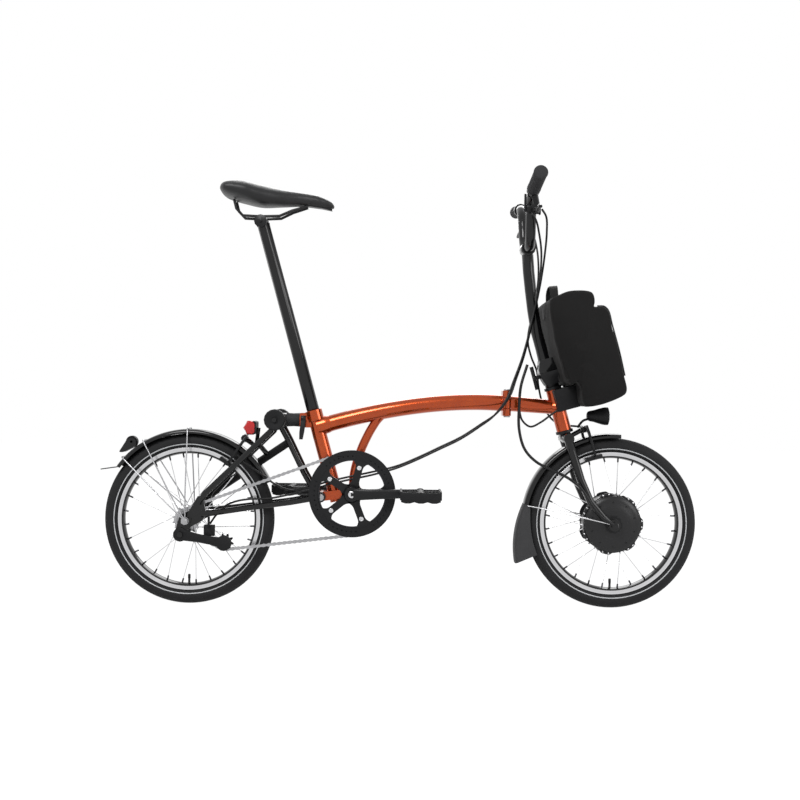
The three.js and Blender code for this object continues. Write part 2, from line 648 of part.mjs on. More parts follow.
// Half of the main hinge: the plate, the web and its barrels; side is -1 for the rear half and 1 for the front half
function hingeHalf(side, barrels) {
  const face = hingeX + side * fit;
  const back = face + side * hingePlate.thickness;
  const low = hingeZ - hingePlate.halfHeight;
  const high = hingeZ + hingePlate.halfHeight;
  const outline = [
    [-hingePlate.right, low + hingePlate.corner], [-hingePlate.right + hingePlate.corner, low],
    [hingePlate.left - hingePlate.corner, low], [hingePlate.left, low + hingePlate.corner],
    [hingePlate.left, high - hingePlate.corner], [hingePlate.left - hingePlate.corner, high],
    [-hingePlate.right + hingePlate.corner, high], [-hingePlate.right, high - hingePlate.corner],
  ];
  const ring = (x) => outline.map(([y, z]) => point(x, y, z));
  const bodies = [loft([ring(face), ring(back)])];
  for (const [from, to] of barrels) {
    const web = [Math.min(face, back), Math.max(face, back)];
    bodies.push(block(web, [-hingeOffset, -hingePlate.right + fit], [from, to]));
    bodies.push(rod(point(hingeX, -hingeOffset, from), point(hingeX, -hingeOffset, to), hingeBarrelRadius,
      12));
  }
  const bore = rod(point(hingeX, -hingeOffset, low - overrun), point(hingeX, -hingeOffset, high + overrun),
    hingePinRadius + fit, 12);
  return { body: join(bodies), bore };
}

function mainFrame() {
  const post = rod(onSeatTube(0, 0, 0), onSeatTube(0, 0, -seatTubeLength), seatTubeRadius, 16);
  const collar = rod(onSeatTube(0, 0, 0), onSeatTube(0, 0, -seatCollarLength), seatCollarRadius, 16);
  const lug = block([seatLug.rear, seatLug.front], [-seatLug.halfWidth, seatLug.halfWidth],
    [seatLug.low, seatLug.high]);
  const main = tube(mainTubeCurve(), mainTubeRadius, 14, 8);
  const brace = bent(braceRoute.map((p) => point(p.x, 0, p.z)), braceRadius, 10);
  const shell = crossBar(crankCentre, -bracketShellHalfWidth, bracketShellHalfWidth, bracketShellRadius, 16);
  const pivotTube = crossBar(rearPivot, -pivotPlate.outer, pivotPlate.outer, pivotTubeRadius, 12);
  const h = pivotPlate.halfHeight;
  const cheek = [{ x: rearPivot.x, z: rearPivot.z - h }, { x: crankCentre.x, z: crankCentre.z - h },
    { x: crankCentre.x, z: crankCentre.z + h }, { x: rearPivot.x, z: rearPivot.z + h }];
  const cheeks = [1, -1].map((side) => plate(cheek, side * pivotPlate.inner, side * pivotPlate.outer));
  const hinge = hingeHalf(-1, [[hingeZ - hingeMiddleHalf, hingeZ + hingeMiddleHalf]]);
  const seatBore = rod(onSeatTube(0, 0, overrun), onSeatTube(0, 0, -seatTubeLength - bracketShellRadius),
    seatPost.radius + fit, 16);
  const shellBore = crossBar(crankCentre, -bracketShellHalfWidth - overrun, bracketShellHalfWidth + overrun,
    bracketBoreRadius, 16);
  const pivotBore = crossBar(rearPivot, -pivotPlate.outer - overrun, pivotPlate.outer + overrun,
    pivotPinRadius + fit, 12);
  const whole = join(post, collar, lug, main, brace, shell, pivotTube, cheeks, hinge.body, clampPin());
  return cut(whole, seatBore, shellBore, pivotBore, hinge.bore);
}

// Pin with a head at each end, across the bicycle
function crossPin(place, halfGrip, radius, headRadius, headLength) {
  const seat = halfGrip + fit;
  return join(crossBar(place, -seat, seat, radius, 8), crossBar(place, seat, seat + headLength, headRadius,
    10),
    crossBar(place, -seat - headLength, -seat, headRadius, 10));
}

function mainHingePin() {
  const high = hingeZ + hingeOuterHalf + fit;
  const low = hingeZ - hingeOuterHalf - fit;
  const at = (z) => point(hingeX, -hingeOffset, z);
  return join(rod(at(low), at(high), hingePinRadius, 8), rod(at(high), at(high + hingePinHeadLength),
    hingePinHeadRadius, 10),
    rod(at(low - hingePinHeadLength), at(low), hingePinHeadRadius, 10));
}

// Folding lever: bolt out of its boss, hub and T bar
function foldingLever(start, outward, barDirection) {
  const hub = start.clone().addScaledVector(outward, lever.reach - lever.hubLength / 2);
  const tip = start.clone().addScaledVector(outward, lever.reach + lever.hubLength / 2);
  const middle = start.clone().addScaledVector(outward, lever.reach);
  const low = middle.clone().addScaledVector(barDirection, -lever.barHalf);
  const high = middle.clone().addScaledVector(barDirection, lever.barHalf);
  return join(rod(start.clone().addScaledVector(outward, fit), hub, lever.boltRadius, 10),
    rod(hub, tip, lever.hubRadius, 12),
    rod(low, high, lever.barRadius, 8));
}

function frontFrame() {
  const hinge = hingeHalf(1, [[hingeZ - hingeOuterHalf, hingeZ - hingeMiddleHalf - fit],
    [hingeZ + hingeMiddleHalf + fit, hingeZ + hingeOuterHalf]]);
  const seat = onSteering(0, 0, frontTubeSeat);
  const frontTube = rod(point(hingeX + hingePlate.thickness / 2, 0, hingeZ), seat, frontTubeRadius, 16,
    frontTubeEnd);
  const head = rod(onSteering(0, 0, -headCupLength), onSteering(0, 0, headTubeLength + headCupLength),
    headTubeRadius, 16);
  const lowerCup = rod(onSteering(0, 0, -headCupLength), onSteering(0, 0, 0), headCupRadius, 16);
  const upperCup = rod(onSteering(0, 0, headTubeLength), onSteering(0, 0, headTubeLength + headCupLength),
    headCupRadius, 16);
  const boss = rod(point(hingeX + hingePlate.thickness / 2, 0, hingeZ),
    point(hingeX + hingePlate.thickness / 2,
    hingePlate.left + hingeLeverBoss, hingeZ), hingePlate.thickness / 2, 10);
  const bore = rod(onSteering(0, 0, -headCupLength - overrun),
    onSteering(0, 0, headTubeLength + headCupLength + overrun),
    steererRadius + fit, 16);
  return cut(join(hinge.body, frontTube, head, lowerCup, upperCup, boss), bore, hinge.bore);
}

// Fork and post hinge

function forkBlade(side) {
  const rings = forkBladeRoute.map((p, i) => {
    const y = side * (bladeSpread + (dropoutSpread - bladeSpread) * p.share);
    const radius = bladeTopRadius + (bladeTipRadius - bladeTopRadius) * i / (forkBladeRoute.length - 1);
    const before = forkBladeRoute[Math.max(i - 1, 0)];
    const after = forkBladeRoute[Math.min(i + 1, forkBladeRoute.length - 1)];
    const along = point(after.x - before.x, 0, after.z - before.z).normalize();
    const across = point(-along.z, 0, along.x);
    return polygon(radius, 10).map((q) => point(p.x, y, p.z).addScaledVector(across,
      q.x).add(point(0, q.y, 0)));
  });
  return loft(rings);
}

function fork() {
  const crownUp = -headCupLength - fit - crownRadius;
  const crown = rod(onSteering(0, -bladeSpread - bladeTopRadius, crownUp),
    onSteering(0, bladeSpread + bladeTopRadius, crownUp),
    crownRadius, 12);
  const steerer = rod(onSteering(0, 0, crownUp), onPostHinge(0, 0, -postPlate.thickness - fit),
    steererRadius, 16);
  const crownCentre = onSteering(0, 0, crownUp);
  const inward = point(frontAxle.x, 0, frontAxle.z).sub(crownCentre).normalize();
  const seat = point(frontAxle.x, 0, frontAxle.z).addScaledVector(inward, guardSink - guardRadius - fit);
  const boss = rod(crownCentre, seat, guardBoss, 10);
  const bodies = [crown, steerer, boss, axlePin(frontAxle, dropoutSpread + dropout.thickness, axleRadius + 1),
    brakePost(frontAxle, frontBrakeAngle, crownCentre, -1)];
  for (const side of [1, -1]) {
    bodies.push(forkBlade(side));
    bodies.push(crossBar(frontAxle, side * (dropoutSpread - dropout.thickness),
      side * (dropoutSpread + dropout.thickness),
      dropout.radius, 12));
  }
  return join(bodies);
}

// Axle right through, with a nut outside each dropout
function axlePin(place, seat, radius) {
  const nuts = [1, -1].map((side) => crossBar(place, side * seat, side * (seat + axleNutLength),
    axleNutRadius, 6));
  return join(crossBar(place, -seat - axleNutLength - fit, seat + axleNutLength + fit, radius, 8), nuts);
}

// Outline of a hinge casting on the steering axis, with its collar; sign is 1 for the upper half
function postCasting(sign) {
  const t = postPlate.thickness;
  const shape = [[-postPlate.rear, fit], [postPlate.front, fit], [postPlate.front, t * 0.8],
    [postPlate.collar + fit, t * 1.6],
    [postPlate.collar - fit, postPlate.collarHeight], [-postPlate.collar + fit, postPlate.collarHeight],
    [-postPlate.rear, t]];
  const ring = (y) => shape.map(([f, w]) => onPostHinge(f, y, sign * w));
  return loft([ring(-postPlate.halfWidth), ring(postPlate.halfWidth)]);
}

// Barrels along the side of a casting, each given as a share of the plate's length from the rear
function postBarrels(sign, shares) {
  const from = -postPlate.rear;
  const length = postPlate.rear + postPlate.front;
  return shares.map(([a, b]) => {
    const start = onPostHinge(from + length * a + fit, postPinOffset, 0);
    const end = onPostHinge(from + length * b - fit, postPinOffset, 0);
    const web = [[from + length * a + fit, from + length * b - fit],
      [postPlate.halfWidth - overrun, postPinOffset]];
    const ring = (w) => [[0, 0], [1, 0], [1, 1], [0, 1]].map(([i, j]) => onPostHinge(web[0][i], web[1][j],
      w));
    return join(rod(start, end, postBarrelRadius, 12), loft([ring(sign * fit),
      ring(sign * postBarrelRadius)]));
  });
}

function postHingeBore() {
  return rod(onPostHinge(-postPlate.rear - overrun, postPinOffset, 0),
    onPostHinge(postPlate.front + overrun, postPinOffset, 0),
    postPinRadius + fit, 12);
}

function postHingeBase() {
  const bottom = headTubeLength + headCupLength + fit - postHingeHeight;
  const sleeve = rod(onPostHinge(0, 0, bottom), onPostHinge(0, 0, -postPlate.thickness), postPlate.collar,
    16);
  const boss = rod(onPostHinge(-postPlate.rear, -postLeverSide, -postLeverDrop),
    onPostHinge(0, -postLeverSide, -postLeverDrop),
    postLeverDrop - fit, 10);
  const bore = rod(onPostHinge(0, 0, bottom - overrun), onPostHinge(0, 0, -postPlate.thickness),
    steererRadius + fit, 16);
  const pin = rod(onPostHinge(-postPlate.rear + overrun, postPinOffset, 0),
    onPostHinge(postPlate.front - overrun, postPinOffset, 0),
    postPinRadius, 10);
  return join(cut(join(postCasting(-1), sleeve, boss), bore), postBarrels(-1, [[0, 0.33], [0.67, 1]]), pin);
}

function steeringPost() {
  const casting = postCasting(1);
  const barrels = cut(join(postBarrels(1, [[0.33, 0.67]])), postHingeBore());
  const post = bent(postRoute.map((p) => point(p.x, 0, p.z)), postRadius, 12);
  const clamp = crossBar(barClamp, -barClamp.halfWidth, barClamp.halfWidth, barClamp.radius, 12);
  const bore = crossBar(barClamp, -barClamp.halfWidth - overrun, barClamp.halfWidth + overrun,
    barRadius + fit, 16);
  return cut(join(casting, barrels, post, clamp), bore);
}

// Handlebar and its controls

function barPoint(p, side) {
  return point(barClamp.x + p.x, side * p.y, barClamp.z + p.z);
}

function barCurve() {
  const right = barRoute.slice(1).reverse().map((p) => barPoint(p, -1));
  return smooth([...right, ...barRoute.map((p) => barPoint(p, 1))]);
}

// Place on the bar at a distance to the side, on the outer straight stretch
function barAt(side, y) {
  const inner = barRoute[barRoute.length - 3];
  const outer = barRoute[barRoute.length - 1];
  const share = (y - inner.y) / (outer.y - inner.y);
  return point(barClamp.x + inner.x + (outer.x - inner.x) * share, side * y,
    barClamp.z + inner.z + (outer.z - inner.z) * share);
}

function handlebar() {
  return tube(barCurve(), barRadius, 8, 24);
}

function handGrip(side) {
  const bore = rod(barAt(side, grip.from - overrun), barAt(side, barRoute[barRoute.length - 1].y + fit),
    barRadius + fit * 3, 12);
  const sleeve = rod(barAt(side, grip.from), barAt(side, grip.to), grip.radius, 12);
  const cap = rod(barAt(side, grip.to - grip.capLength), barAt(side, grip.to), grip.capRadius, 12);
  return cut(join(sleeve, cap), bore);
}

function brakePivot(side) {
  return barAt(side, brakeClamp.y).add(point(brakePivotPlace.forward, -side * brakePivotPlace.inward,
    -brakePivotPlace.drop));
}

function boxAt(centre, x, y, z) {
  return block([centre.x + x[0], centre.x + x[1]], [centre.y + y[0], centre.y + y[1]],
    [centre.z + z[0], centre.z + z[1]]);
}

// Clamp on the bar with a neck down to the two ears that hold the brake lever
function brakeBracket(side) {
  const pivot = brakePivot(side);
  const slotHalf = brakeBlade.halfWidth + fit;
  const earHalf = slotHalf + brakeEar.thickness;
  const clamp = rod(barAt(side, brakeClamp.y - brakeClamp.halfLength),
    barAt(side, brakeClamp.y + brakeClamp.halfLength),
    brakeClamp.radius, 12);
  const neck = rod(barAt(side, brakeClamp.y), pivot.clone().add(point(0, 0, brakeEar.high - fit)),
    brakeClamp.halfLength, 8);
  const ears = boxAt(pivot, [-earHalf, earHalf], [-brakeEar.half, brakeEar.half],
    [-brakeEar.low, brakeEar.high]);
  const slot = boxAt(pivot, [-slotHalf, slotHalf], [-brakeEar.half - overrun, brakeEar.half + overrun],
    [-brakeEar.low - overrun, brakeBlade.hubRadius + overrun]);
  const pin = rod(pivot.clone().add(point(-earHalf, 0, 0)), pivot.clone().add(point(earHalf, 0, 0)),
    brakeBlade.pinRadius, 6);
  const reach = brakeClamp.halfLength * 2 + overrun;
  const bore = rod(barAt(side, brakeClamp.y - reach), barAt(side, brakeClamp.y + reach), barRadius + fit * 3,
    12);
  return cut(join(cut(join(clamp, neck, ears, side < 0 ? shiftPod() : []), slot), pin), bore);
}

function shiftCentre() {
  return barAt(-1, brakeClamp.y).add(point(0, shifter.inward, -shifter.drop));
}

// Gear shifter housing on the right brake bracket, with the pin of its trigger at the back
function shiftPod() {
  const centre = shiftCentre();
  const at = (x) => centre.clone().add(point(x, 0, 0));
  const middle = (shifter.front - shifter.rear) / 2;
  const foot = rod(at(middle), brakePivot(-1).add(point(-brakeBlade.halfWidth, 0,
    brakeEar.high - shifter.footRadius)),
    shifter.footRadius, 8);
  const pinEnd = -shifter.rear - trigger.thickness - fit * 2;
  return join(rod(at(-shifter.rear), at(shifter.front), shifter.radius, 12), foot,
    rod(at(pinEnd), at(shifter.front), trigger.pinRadius, 8),
    rod(at(pinEnd - fit * 2), at(pinEnd), trigger.pinRadius * 2, 8));
}

function shiftTrigger() {
  const centre = shiftCentre();
  const back = -shifter.rear - fit - trigger.thickness;
  const w = trigger.halfWidth;
  const outline = [[-w, -trigger.low], [w, -trigger.low], [w * 0.8, 0], [w, trigger.high],
    [-w, trigger.high], [-w * 0.8, 0]];
  const ring = (x) => outline.map(([y, z]) => centre.clone().add(point(x, y, z)));
  const paddle = loft([ring(back), ring(back + trigger.thickness)]);
  return cut(paddle, rod(centre.clone().add(point(back - overrun, 0, 0)), centre, trigger.pinRadius + fit,
    8));
}

function brakeLever(side) {
  const pivot = brakePivot(side);
  const half = brakeBlade.halfWidth;
  const along = (x) => pivot.clone().add(point(x, 0, 0));
  const rings = brakeBladeRoute.map((p, i) => {
    const w = half * (1 - 0.25 * i / (brakeBladeRoute.length - 1));
    const t = brakeBlade.halfThickness;
    return [[-w, 0], [-w * 0.6, -t], [w * 0.6, -t], [w, 0], [w * 0.6, t], [-w * 0.6, t]]
      .map(([x, z]) => point(pivot.x + p.x + x, pivot.y + side * p.y, pivot.z + p.z + z));
  });
  const bore = rod(along(-half - overrun), along(half + overrun), brakeBlade.pinRadius + fit, 8);
  return cut(join(rod(along(-half), along(half), brakeBlade.hubRadius, 12), loft(rings)), bore);
}

// Mudguards, made as one channel section carried round the wheel

// Section of a guard: outer radius, half width, depth of the skirts
function guardSection(outer, halfWidth, skirt) {
  const shoulder = guardWall * 2;
  const crown = halfWidth - shoulder * 2;
  return [[outer - skirt, halfWidth], [outer - shoulder, halfWidth], [outer, crown], [outer, -crown],
    [outer - shoulder, -halfWidth], [outer - skirt, -halfWidth], [outer - skirt, -halfWidth + guardWall],
    [outer - shoulder - guardWall / 2, -halfWidth + guardWall], [outer - guardWall, -crown],
      [outer - guardWall, crown],
    [outer - shoulder - guardWall / 2, halfWidth - guardWall], [outer - skirt, halfWidth - guardWall]];
}

function guardRing(axle, angle, outer, halfWidth, skirt) {
  return guardSection(outer, halfWidth, skirt).map(([r, y]) => point(axle.x + r * Math.cos(angle), y,
    axle.z + r * Math.sin(angle)));
}

function guardRings(axle, arc) {
  return Array.from({ length: arc.steps + 1 }, (_, i) => guardRing(axle,
    arc.from + (arc.to - arc.from) * i / arc.steps,
    guardRadius, guardHalfWidth, guardSkirt));
}

function frontMudguard() {
  const rings = guardRings(frontAxle, frontGuard);
  for (let i = 1; i <= flap.steps; i += 1) {
    const share = i / flap.steps;
    const angle = frontGuard.to + (flap.to - frontGuard.to) * share;
    rings.push(guardRing(frontAxle, angle, guardRadius + (flap.outer - guardRadius) * share,
      guardHalfWidth + (flap.halfWidth - guardHalfWidth) * share,
      guardSkirt + (flap.skirt - guardSkirt) * share));
  }
  return loft(rings);
}

function alongWheel(axle, angle, radius, side = 0) {
  return point(axle.x + radius * Math.cos(angle), side, axle.z + radius * Math.sin(angle));
}

function rearMudguard() {
  const guard = loft(guardRings(rearAxle, rearGuard));
  const t = rearFlap.thickness;
  const tail = loft([[rearFlap.rootX, rearFlap.rootZ], [rearFlap.tipX, rearFlap.tipZ]].map(([x, z]) =>
    [[0, 1], [0, -1], [1, -1], [1, 1]].map(([up, side]) => point(x, side * (guardHalfWidth - guardWall * 2),
      z + up * t))));
  const centre = guardRollerCentre();
  const [left, right] = [guardRoller.foot, -guardRoller.foot].map((turn) => alongWheel(rearAxle,
    Math.atan2(centre.z - rearAxle.z, centre.x - rearAxle.x) + turn, guardRadius - guardWall / 2));
  const cheeks = [1, -1].map((side) => plate([right, ...ringOutline(centre, guardRoller.cheekRadius, 6,
    0).slice(0, 4), left],
    side * guardRoller.cheekInner, side * guardRoller.cheekOuter));
  const pin = crossBar(centre, -guardRoller.cheekOuter, guardRoller.cheekOuter, guardRoller.pinRadius, 10);
  return join(guard, tail, cheeks, pin);
}

function guardRollerCentre() {
  return { x: guardRoller.x, z: guardRoller.z };
}

function guardRollerWheel() {
  const half = guardRoller.cheekInner - fit;
  return turned([[guardRoller.pinRadius + fit, -half], [guardRoller.radius - 2, -half],
    [guardRoller.radius, -half + 2],
    [guardRoller.radius, half - 2], [guardRoller.radius - 2, half], [guardRoller.pinRadius + fit, half]],
  guardRollerCentre(), 12);
}

// Wire stays: from the eyes on the axle out along the wheel and across the top of the guard
function mudguardStays() {
  const over = guardRadius + fit + stayRadius;
  const corner = guardHalfWidth + fit + stayRadius * 1.5;
  const left = stayEye.left + stayEye.thickness / 2;
  const right = -stayEye.right - stayEye.thickness / 2;
  const bodies = stayAngles.map((angle) => bent([[stayEye.radius, left], [stayEye.clear, left],
    [over - guardSkirt, corner],
    [over, corner - stayRadius * 2], [over, stayRadius * 2 - corner], [over - guardSkirt, -corner],
      [stayEye.clear, right],
    [stayEye.radius, right]].map(([r, y]) => alongWheel(rearAxle, angle, r, y)), stayRadius, 5));
  for (const y of [left, right]) {
    bodies.push(crossBar(rearAxle, y - stayEye.thickness / 2, y + stayEye.thickness / 2,
      stayEye.radius + stayRadius, 12));
  }
  const bore = crossBar(rearAxle, right - stayEye.thickness, left + stayEye.thickness, axleRadius + fit, 12);
  return cut(join(bodies), bore);
}

// Rear frame with its rollers, the rubber block and the chain tensioner's bracket

function stayTube(route, side, radius) {
  return bent(route.map((p) => point(p.x, side * p.y, p.z)), radius, 8);
}

function bridgeCentre() {
  const pivot = alongWheel(rearAxle, rearBrakeAngle, brakePivotRadius);
  return { x: pivot.x + Math.sin(rearBrakeAngle) * stayBridge.reach,
    z: pivot.z - Math.cos(rearBrakeAngle) * stayBridge.reach };
}

// Post for a pair of brake arms: from its holder to the arms, then the pin through them along the rim
function brakePost(axle, angle, holder, towards) {
  const pivot = alongWheel(axle, angle, brakePivotRadius);
  const along = point(-Math.sin(angle), 0, Math.cos(angle)).multiplyScalar(towards);
  const stop = brakeArmThickness + fit * 2;
  const end = pivot.clone().addScaledVector(along, -stop);
  const neck = pivot.clone().addScaledVector(along, -stop - brakePostNeck);
  const nutStart = pivot.clone().addScaledVector(along, stop);
  return join(rod(holder, neck, brakePostRadius, 8), rod(neck, end, brakePostRadius, 8),
    rod(end, nutStart, brakePivotPin, 8),
    rod(nutStart, pivot.clone().addScaledVector(along, stop + fit * 8), brakePivotPin * 1.6, 6));
}

function rearFrame() {
  const bodies = [];
  for (const side of [1, -1]) {
    bodies.push(crossBar(rearPivot, side * rearLug.inner, side * rearLug.outer, rearLug.radius, 12));
    bodies.push(stayTube(chainstayRoute, side, chainstayRadius),
      stayTube(seatstayRoute, side, seatstayRadius));
    bodies.push(stayTube(strutRoute, side, strutRadius));
    bodies.push(plate(dropoutOutline(), side * rearDropout.inner, side * rearDropout.outer));
  }
  bodies.push(crossBar(rollerAxle, -rollerAxle.halfLength, rollerAxle.halfLength, rollerAxle.radius, 12));
  const pinEnd = rollerAxle.halfLength + fit * 2 + roller.width;
  bodies.push(crossBar(rollerAxle, -pinEnd, pinEnd, rollerAxle.pinRadius, 6));
  for (const side of [1, -1]) {
    bodies.push(crossBar(rollerAxle, side * pinEnd, side * (pinEnd + rollerAxle.boltLength),
      rollerAxle.boltRadius, 6));
  }
  const bridge = bridgeCentre();
  bodies.push(crossBar(bridge, -seatstayRoute[1].y, seatstayRoute[1].y, stayBridge.radius, 8));
  bodies.push(crossBar(lowerBridge, -chainstayRoute[1].y, chainstayRoute[1].y, lowerBridge.radius, 8));
  bodies.push(brakePost(rearAxle, rearBrakeAngle, point(bridge.x, 0, bridge.z), 1));
  bodies.push(guardPost(bridge), blockSeat(), lampBracket(bridge), pumpClips(), tensionerPlate());
  const pivotBore = crossBar(rearPivot, -rearLug.outer - overrun, rearLug.outer + overrun,
    pivotPinRadius + fit, 12);
  const axleBore = crossBar(rearAxle, -tensionPlate.outer - overrun, rearDropout.outer + overrun,
    axleRadius + fit, 12);
  return cut(join(bodies), pivotBore, axleBore);
}

function dropoutOutline() {
  const r = rearDropout.radius;
  return [{ x: -r, z: rearAxle.z - r / 2 }, { x: -r / 2, z: rearAxle.z - r }, { x: r / 2, z: rearAxle.z - r },
    { x: r * 2.4, z: rearAxle.z }, { x: r * 3, z: rearAxle.z + r }, { x: r * 2.8, z: rearAxle.z + r * 1.5 },
    { x: r * 2.4, z: rearAxle.z + r * 3.6 }, { x: r * 1.7, z: rearAxle.z + r * 3.5 },
      { x: r / 2, z: rearAxle.z + r * 1.4 },
    { x: -r / 2, z: rearAxle.z + r * 0.9 }, { x: -r, z: rearAxle.z + r / 3 }];
}

// Post from a tube towards the wheel, ending just above the guard
function guardPost(place) {
  const start = point(place.x, 0, place.z);
  const inward = point(rearAxle.x - place.x, 0, rearAxle.z - place.z);
  const reach = inward.length() - guardRadius - fit;
  return rod(start, start.clone().addScaledVector(inward.normalize(), reach), guardBoss, 8);
}

// Cup that carries the rubber block
function blockSeat() {
  const z = rollerAxle.z - fit;
  return rod(point(rollerAxle.x, 0, z), point(rubberBlock.rear - fit, 0, z), blockRadius, 12);
}

function suspensionBlock() {
  const z = rollerAxle.z - fit;
  const middle = (rubberBlock.rear + rubberBlock.front) / 2;
  const at = (x) => point(x, 0, z);
  const waist = 1;
  return join(rod(at(rubberBlock.rear), at(middle + waist), blockRadius, 16, blockRadius - waist),
    rod(at(middle), at(rubberBlock.front), blockRadius - waist, 16, blockRadius));
}

function lampBracket(bridge) {
  const front = tailLamp.x + tailLamp.depth / 2;
  return rod(point(bridge.x, 0, bridge.z), point(front + tailLampArm, 0, tailLamp.z), tailLampArm, 6);
}

function tailLampBody() {
  const d = tailLamp.depth / 2;
  const h = tailLamp.halfHeight;
  const c = tailLamp.corner;
  const side = [[d, h - c], [d - c, h], [-d + c, h], [-d, h - c * 2], [-d - c, 0], [-d, -h + c * 2],
    [-d + c, -h], [d - c, -h],
    [d, -h + c]];
  const ring = (y, share) => side.map(([x, z]) => point(tailLamp.x + x * share, y, tailLamp.z + z * share));
  const w = tailLamp.halfWidth;
  const body = loft([ring(-w, 0.8), ring(-w + c, 1), ring(w - c, 1), ring(w, 0.8)]);
  const bracket = bridgeCentre();
  const recess = rod(point(bracket.x, 0, bracket.z), point(tailLamp.x + d + tailLampArm, 0, tailLamp.z),
    tailLampArm + fit * 3, 6);
  return cut(body, recess);
}

function headlampBody() {
  const { x, z, rearRadius, frontRadius, halfLength } = headlamp;
  const rings = [[-halfLength, rearRadius * 0.6], [-halfLength + 6, rearRadius], [0, frontRadius * 0.8],
    [halfLength * 0.6, frontRadius], [halfLength, frontRadius * 0.96],
    [halfLength + headlamp.lensDepth, frontRadius * 0.7]]
    .map(([d, r]) => polygon(r, 12).map((q) => point(x + d, q.x * 1.1, z + q.y)));
  const post = brakePostTop();
  const wire = smooth([point(x - halfLength + 6, 0, z - rearRadius / 2),
    point(x - halfLength - 12, 0, z - rearRadius),
    post.clone().add(point(8, 0, 8)), post]);
  return join(loft(rings), tube(wire, headlamp.wireRadius, 8, 6));
}

// Place above the front brake post where the lamp's bracket ends
function brakePostTop() {
  const crown = onSteering(0, 0, -headCupLength - fit - crownRadius);
  const pivot = alongWheel(frontAxle, frontBrakeAngle, brakePivotRadius);
  const line = pivot.sub(crown);
  const up = point(-line.z, 0, line.x).normalize();
  return crown.addScaledVector(line, headlamp.bracketShare).addScaledVector(up,
    brakePostRadius + headlamp.wireRadius * 1.4);
}

function pumpPoint(p) {
  return point(p.x, pumpSide, p.z);
}

function handPump() {
  const [low, high] = pumpRoute.map(pumpPoint);
  const along = high.clone().sub(low).normalize();
  return join(rod(low, high, pumpRadius, 12), rod(low, low.clone().addScaledVector(along, pumpCap.length),
    pumpCap.radius, 12),
    rod(high.clone().addScaledVector(along, -pumpCap.length), high, pumpCap.radius, 12));
}

// Two clips from the left seat stay under the pump
function pumpClips() {
  const [low, high] = pumpRoute.map(pumpPoint);
  const along = high.clone().sub(low).normalize();
  return pumpClipShares.map((share) => {
    const middle = low.clone().lerp(high, share);
    const stay = stayNear(middle);
    const across = stay.clone().sub(middle);
    across.addScaledVector(along, -across.dot(along));
    const start = middle.clone().addScaledVector(across, (pumpRadius + fit) / across.length());
    return rod(start, middle.add(across), strutRadius, 6);
  });
}

// Nearest place on the left seat stay
function stayNear(place) {
  const curve = smooth(seatstayRoute.map((p) => point(p.x, p.y, p.z)));
  return curve.getPoints(40).reduce((best, p) => (p.distanceTo(place) < best.distanceTo(place) ? p : best));
}

function supportRoller(side) {
  const inner = side * (rollerAxle.halfLength + fit);
  const outer = inner + side * roller.width;
  const dish = outer - side * roller.recess;
  const shoulder = side * roller.recess;
  return turned([[roller.bore, inner], [roller.radius - roller.recess, inner],
    [roller.radius, inner + shoulder],
    [roller.radius, outer - shoulder], [roller.radius - roller.recess, outer], [roller.hub, dish],
      [roller.bore, dish]],
  rollerAxle, 16);
}

// Crankset, sprockets, tensioner and chain

// Outline of a chain wheel: a gullet and a tooth for every pitch, turned by the phase of its first gullet
function toothOutline(centre, teeth, phase) {
  const pitchRadius = toothPitch / 2 / Math.sin(Math.PI / teeth);
  const outline = [];
  for (let i = 0; i < teeth; i += 1) {
    const gullet = phase + fullTurn * i / teeth;
    for (const [across, radius] of [[0, -toothRoot], [toothPitch / 2, toothTip]]) {
      const angle = gullet + across / pitchRadius;
      outline.push({ x: centre.x + (pitchRadius + radius) * Math.cos(angle),
        z: centre.z + (pitchRadius + radius) * Math.sin(angle) });
    }
  }
  return outline;
}

function pitchCircle(centre, teeth) {
  return { ...centre, teeth, r: toothPitch / 2 / Math.sin(Math.PI / teeth) };
}

function tensionEnd(armAngle) {
  return { x: tensionPivot.x + tensionReach * Math.cos(armAngle),
    z: tensionPivot.z + tensionReach * Math.sin(armAngle) };
}

// Straight run that leaves one circle and meets the next, both on its left
function run(a, b) {
  const dx = b.x - a.x;
  const dz = b.z - a.z;
  const distance = Math.hypot(dx, dz);
  const heading = Math.atan2(dz, dx) - Math.asin((b.r - a.r) / distance);
  const normal = heading - Math.PI / 2;
  return { normal, length: Math.sqrt(distance ** 2 - (b.r - a.r) ** 2), heading,
    start: { x: a.x + a.r * Math.cos(normal), z: a.z + a.r * Math.sin(normal) } };
}

// Chain line round the chain wheels, counted in pitches
function chainLine(armAngle) {
  const circles = [pitchCircle(crankCentre, ringTeeth), pitchCircle(rearAxle, cogTeeth),
    pitchCircle(tensionEnd(armAngle), jockeyTeeth)];
  const runs = circles.map((circle, i) => run(circle, circles[(i + 1) % circles.length]));
  const pieces = circles.flatMap((circle, i) => {
    const from = runs[(i + circles.length - 1) % circles.length].normal;
    const sweep = ((runs[i].normal - from) % fullTurn + fullTurn) % fullTurn;
    return [{ circle, from, sweep, pitches: sweep / fullTurn * circle.teeth },
      { run: runs[i], pitches: runs[i].length / toothPitch }];
  });
  return { circles, pieces, pitches: pieces.reduce((sum, piece) => sum + piece.pitches, 0) };
}

// Angle of the tensioner arm that makes the chain a whole number of pitches long
function solveArmAngle() {
  const wanted = Math.round(chainLine(armAngleGuess).pitches / 2) * 2;
  let low = armAngleGuess - armAngleSearch;
  let high = armAngleGuess + armAngleSearch;
  for (let i = 0; i < 60; i += 1) {
    const middle = (low + high) / 2;
    if (chainLine(middle).pitches > wanted) low = middle;
    else high = middle;
  }
  return (low + high) / 2;
}

const armAngle = solveArmAngle();
const chainRoute = chainLine(armAngle);

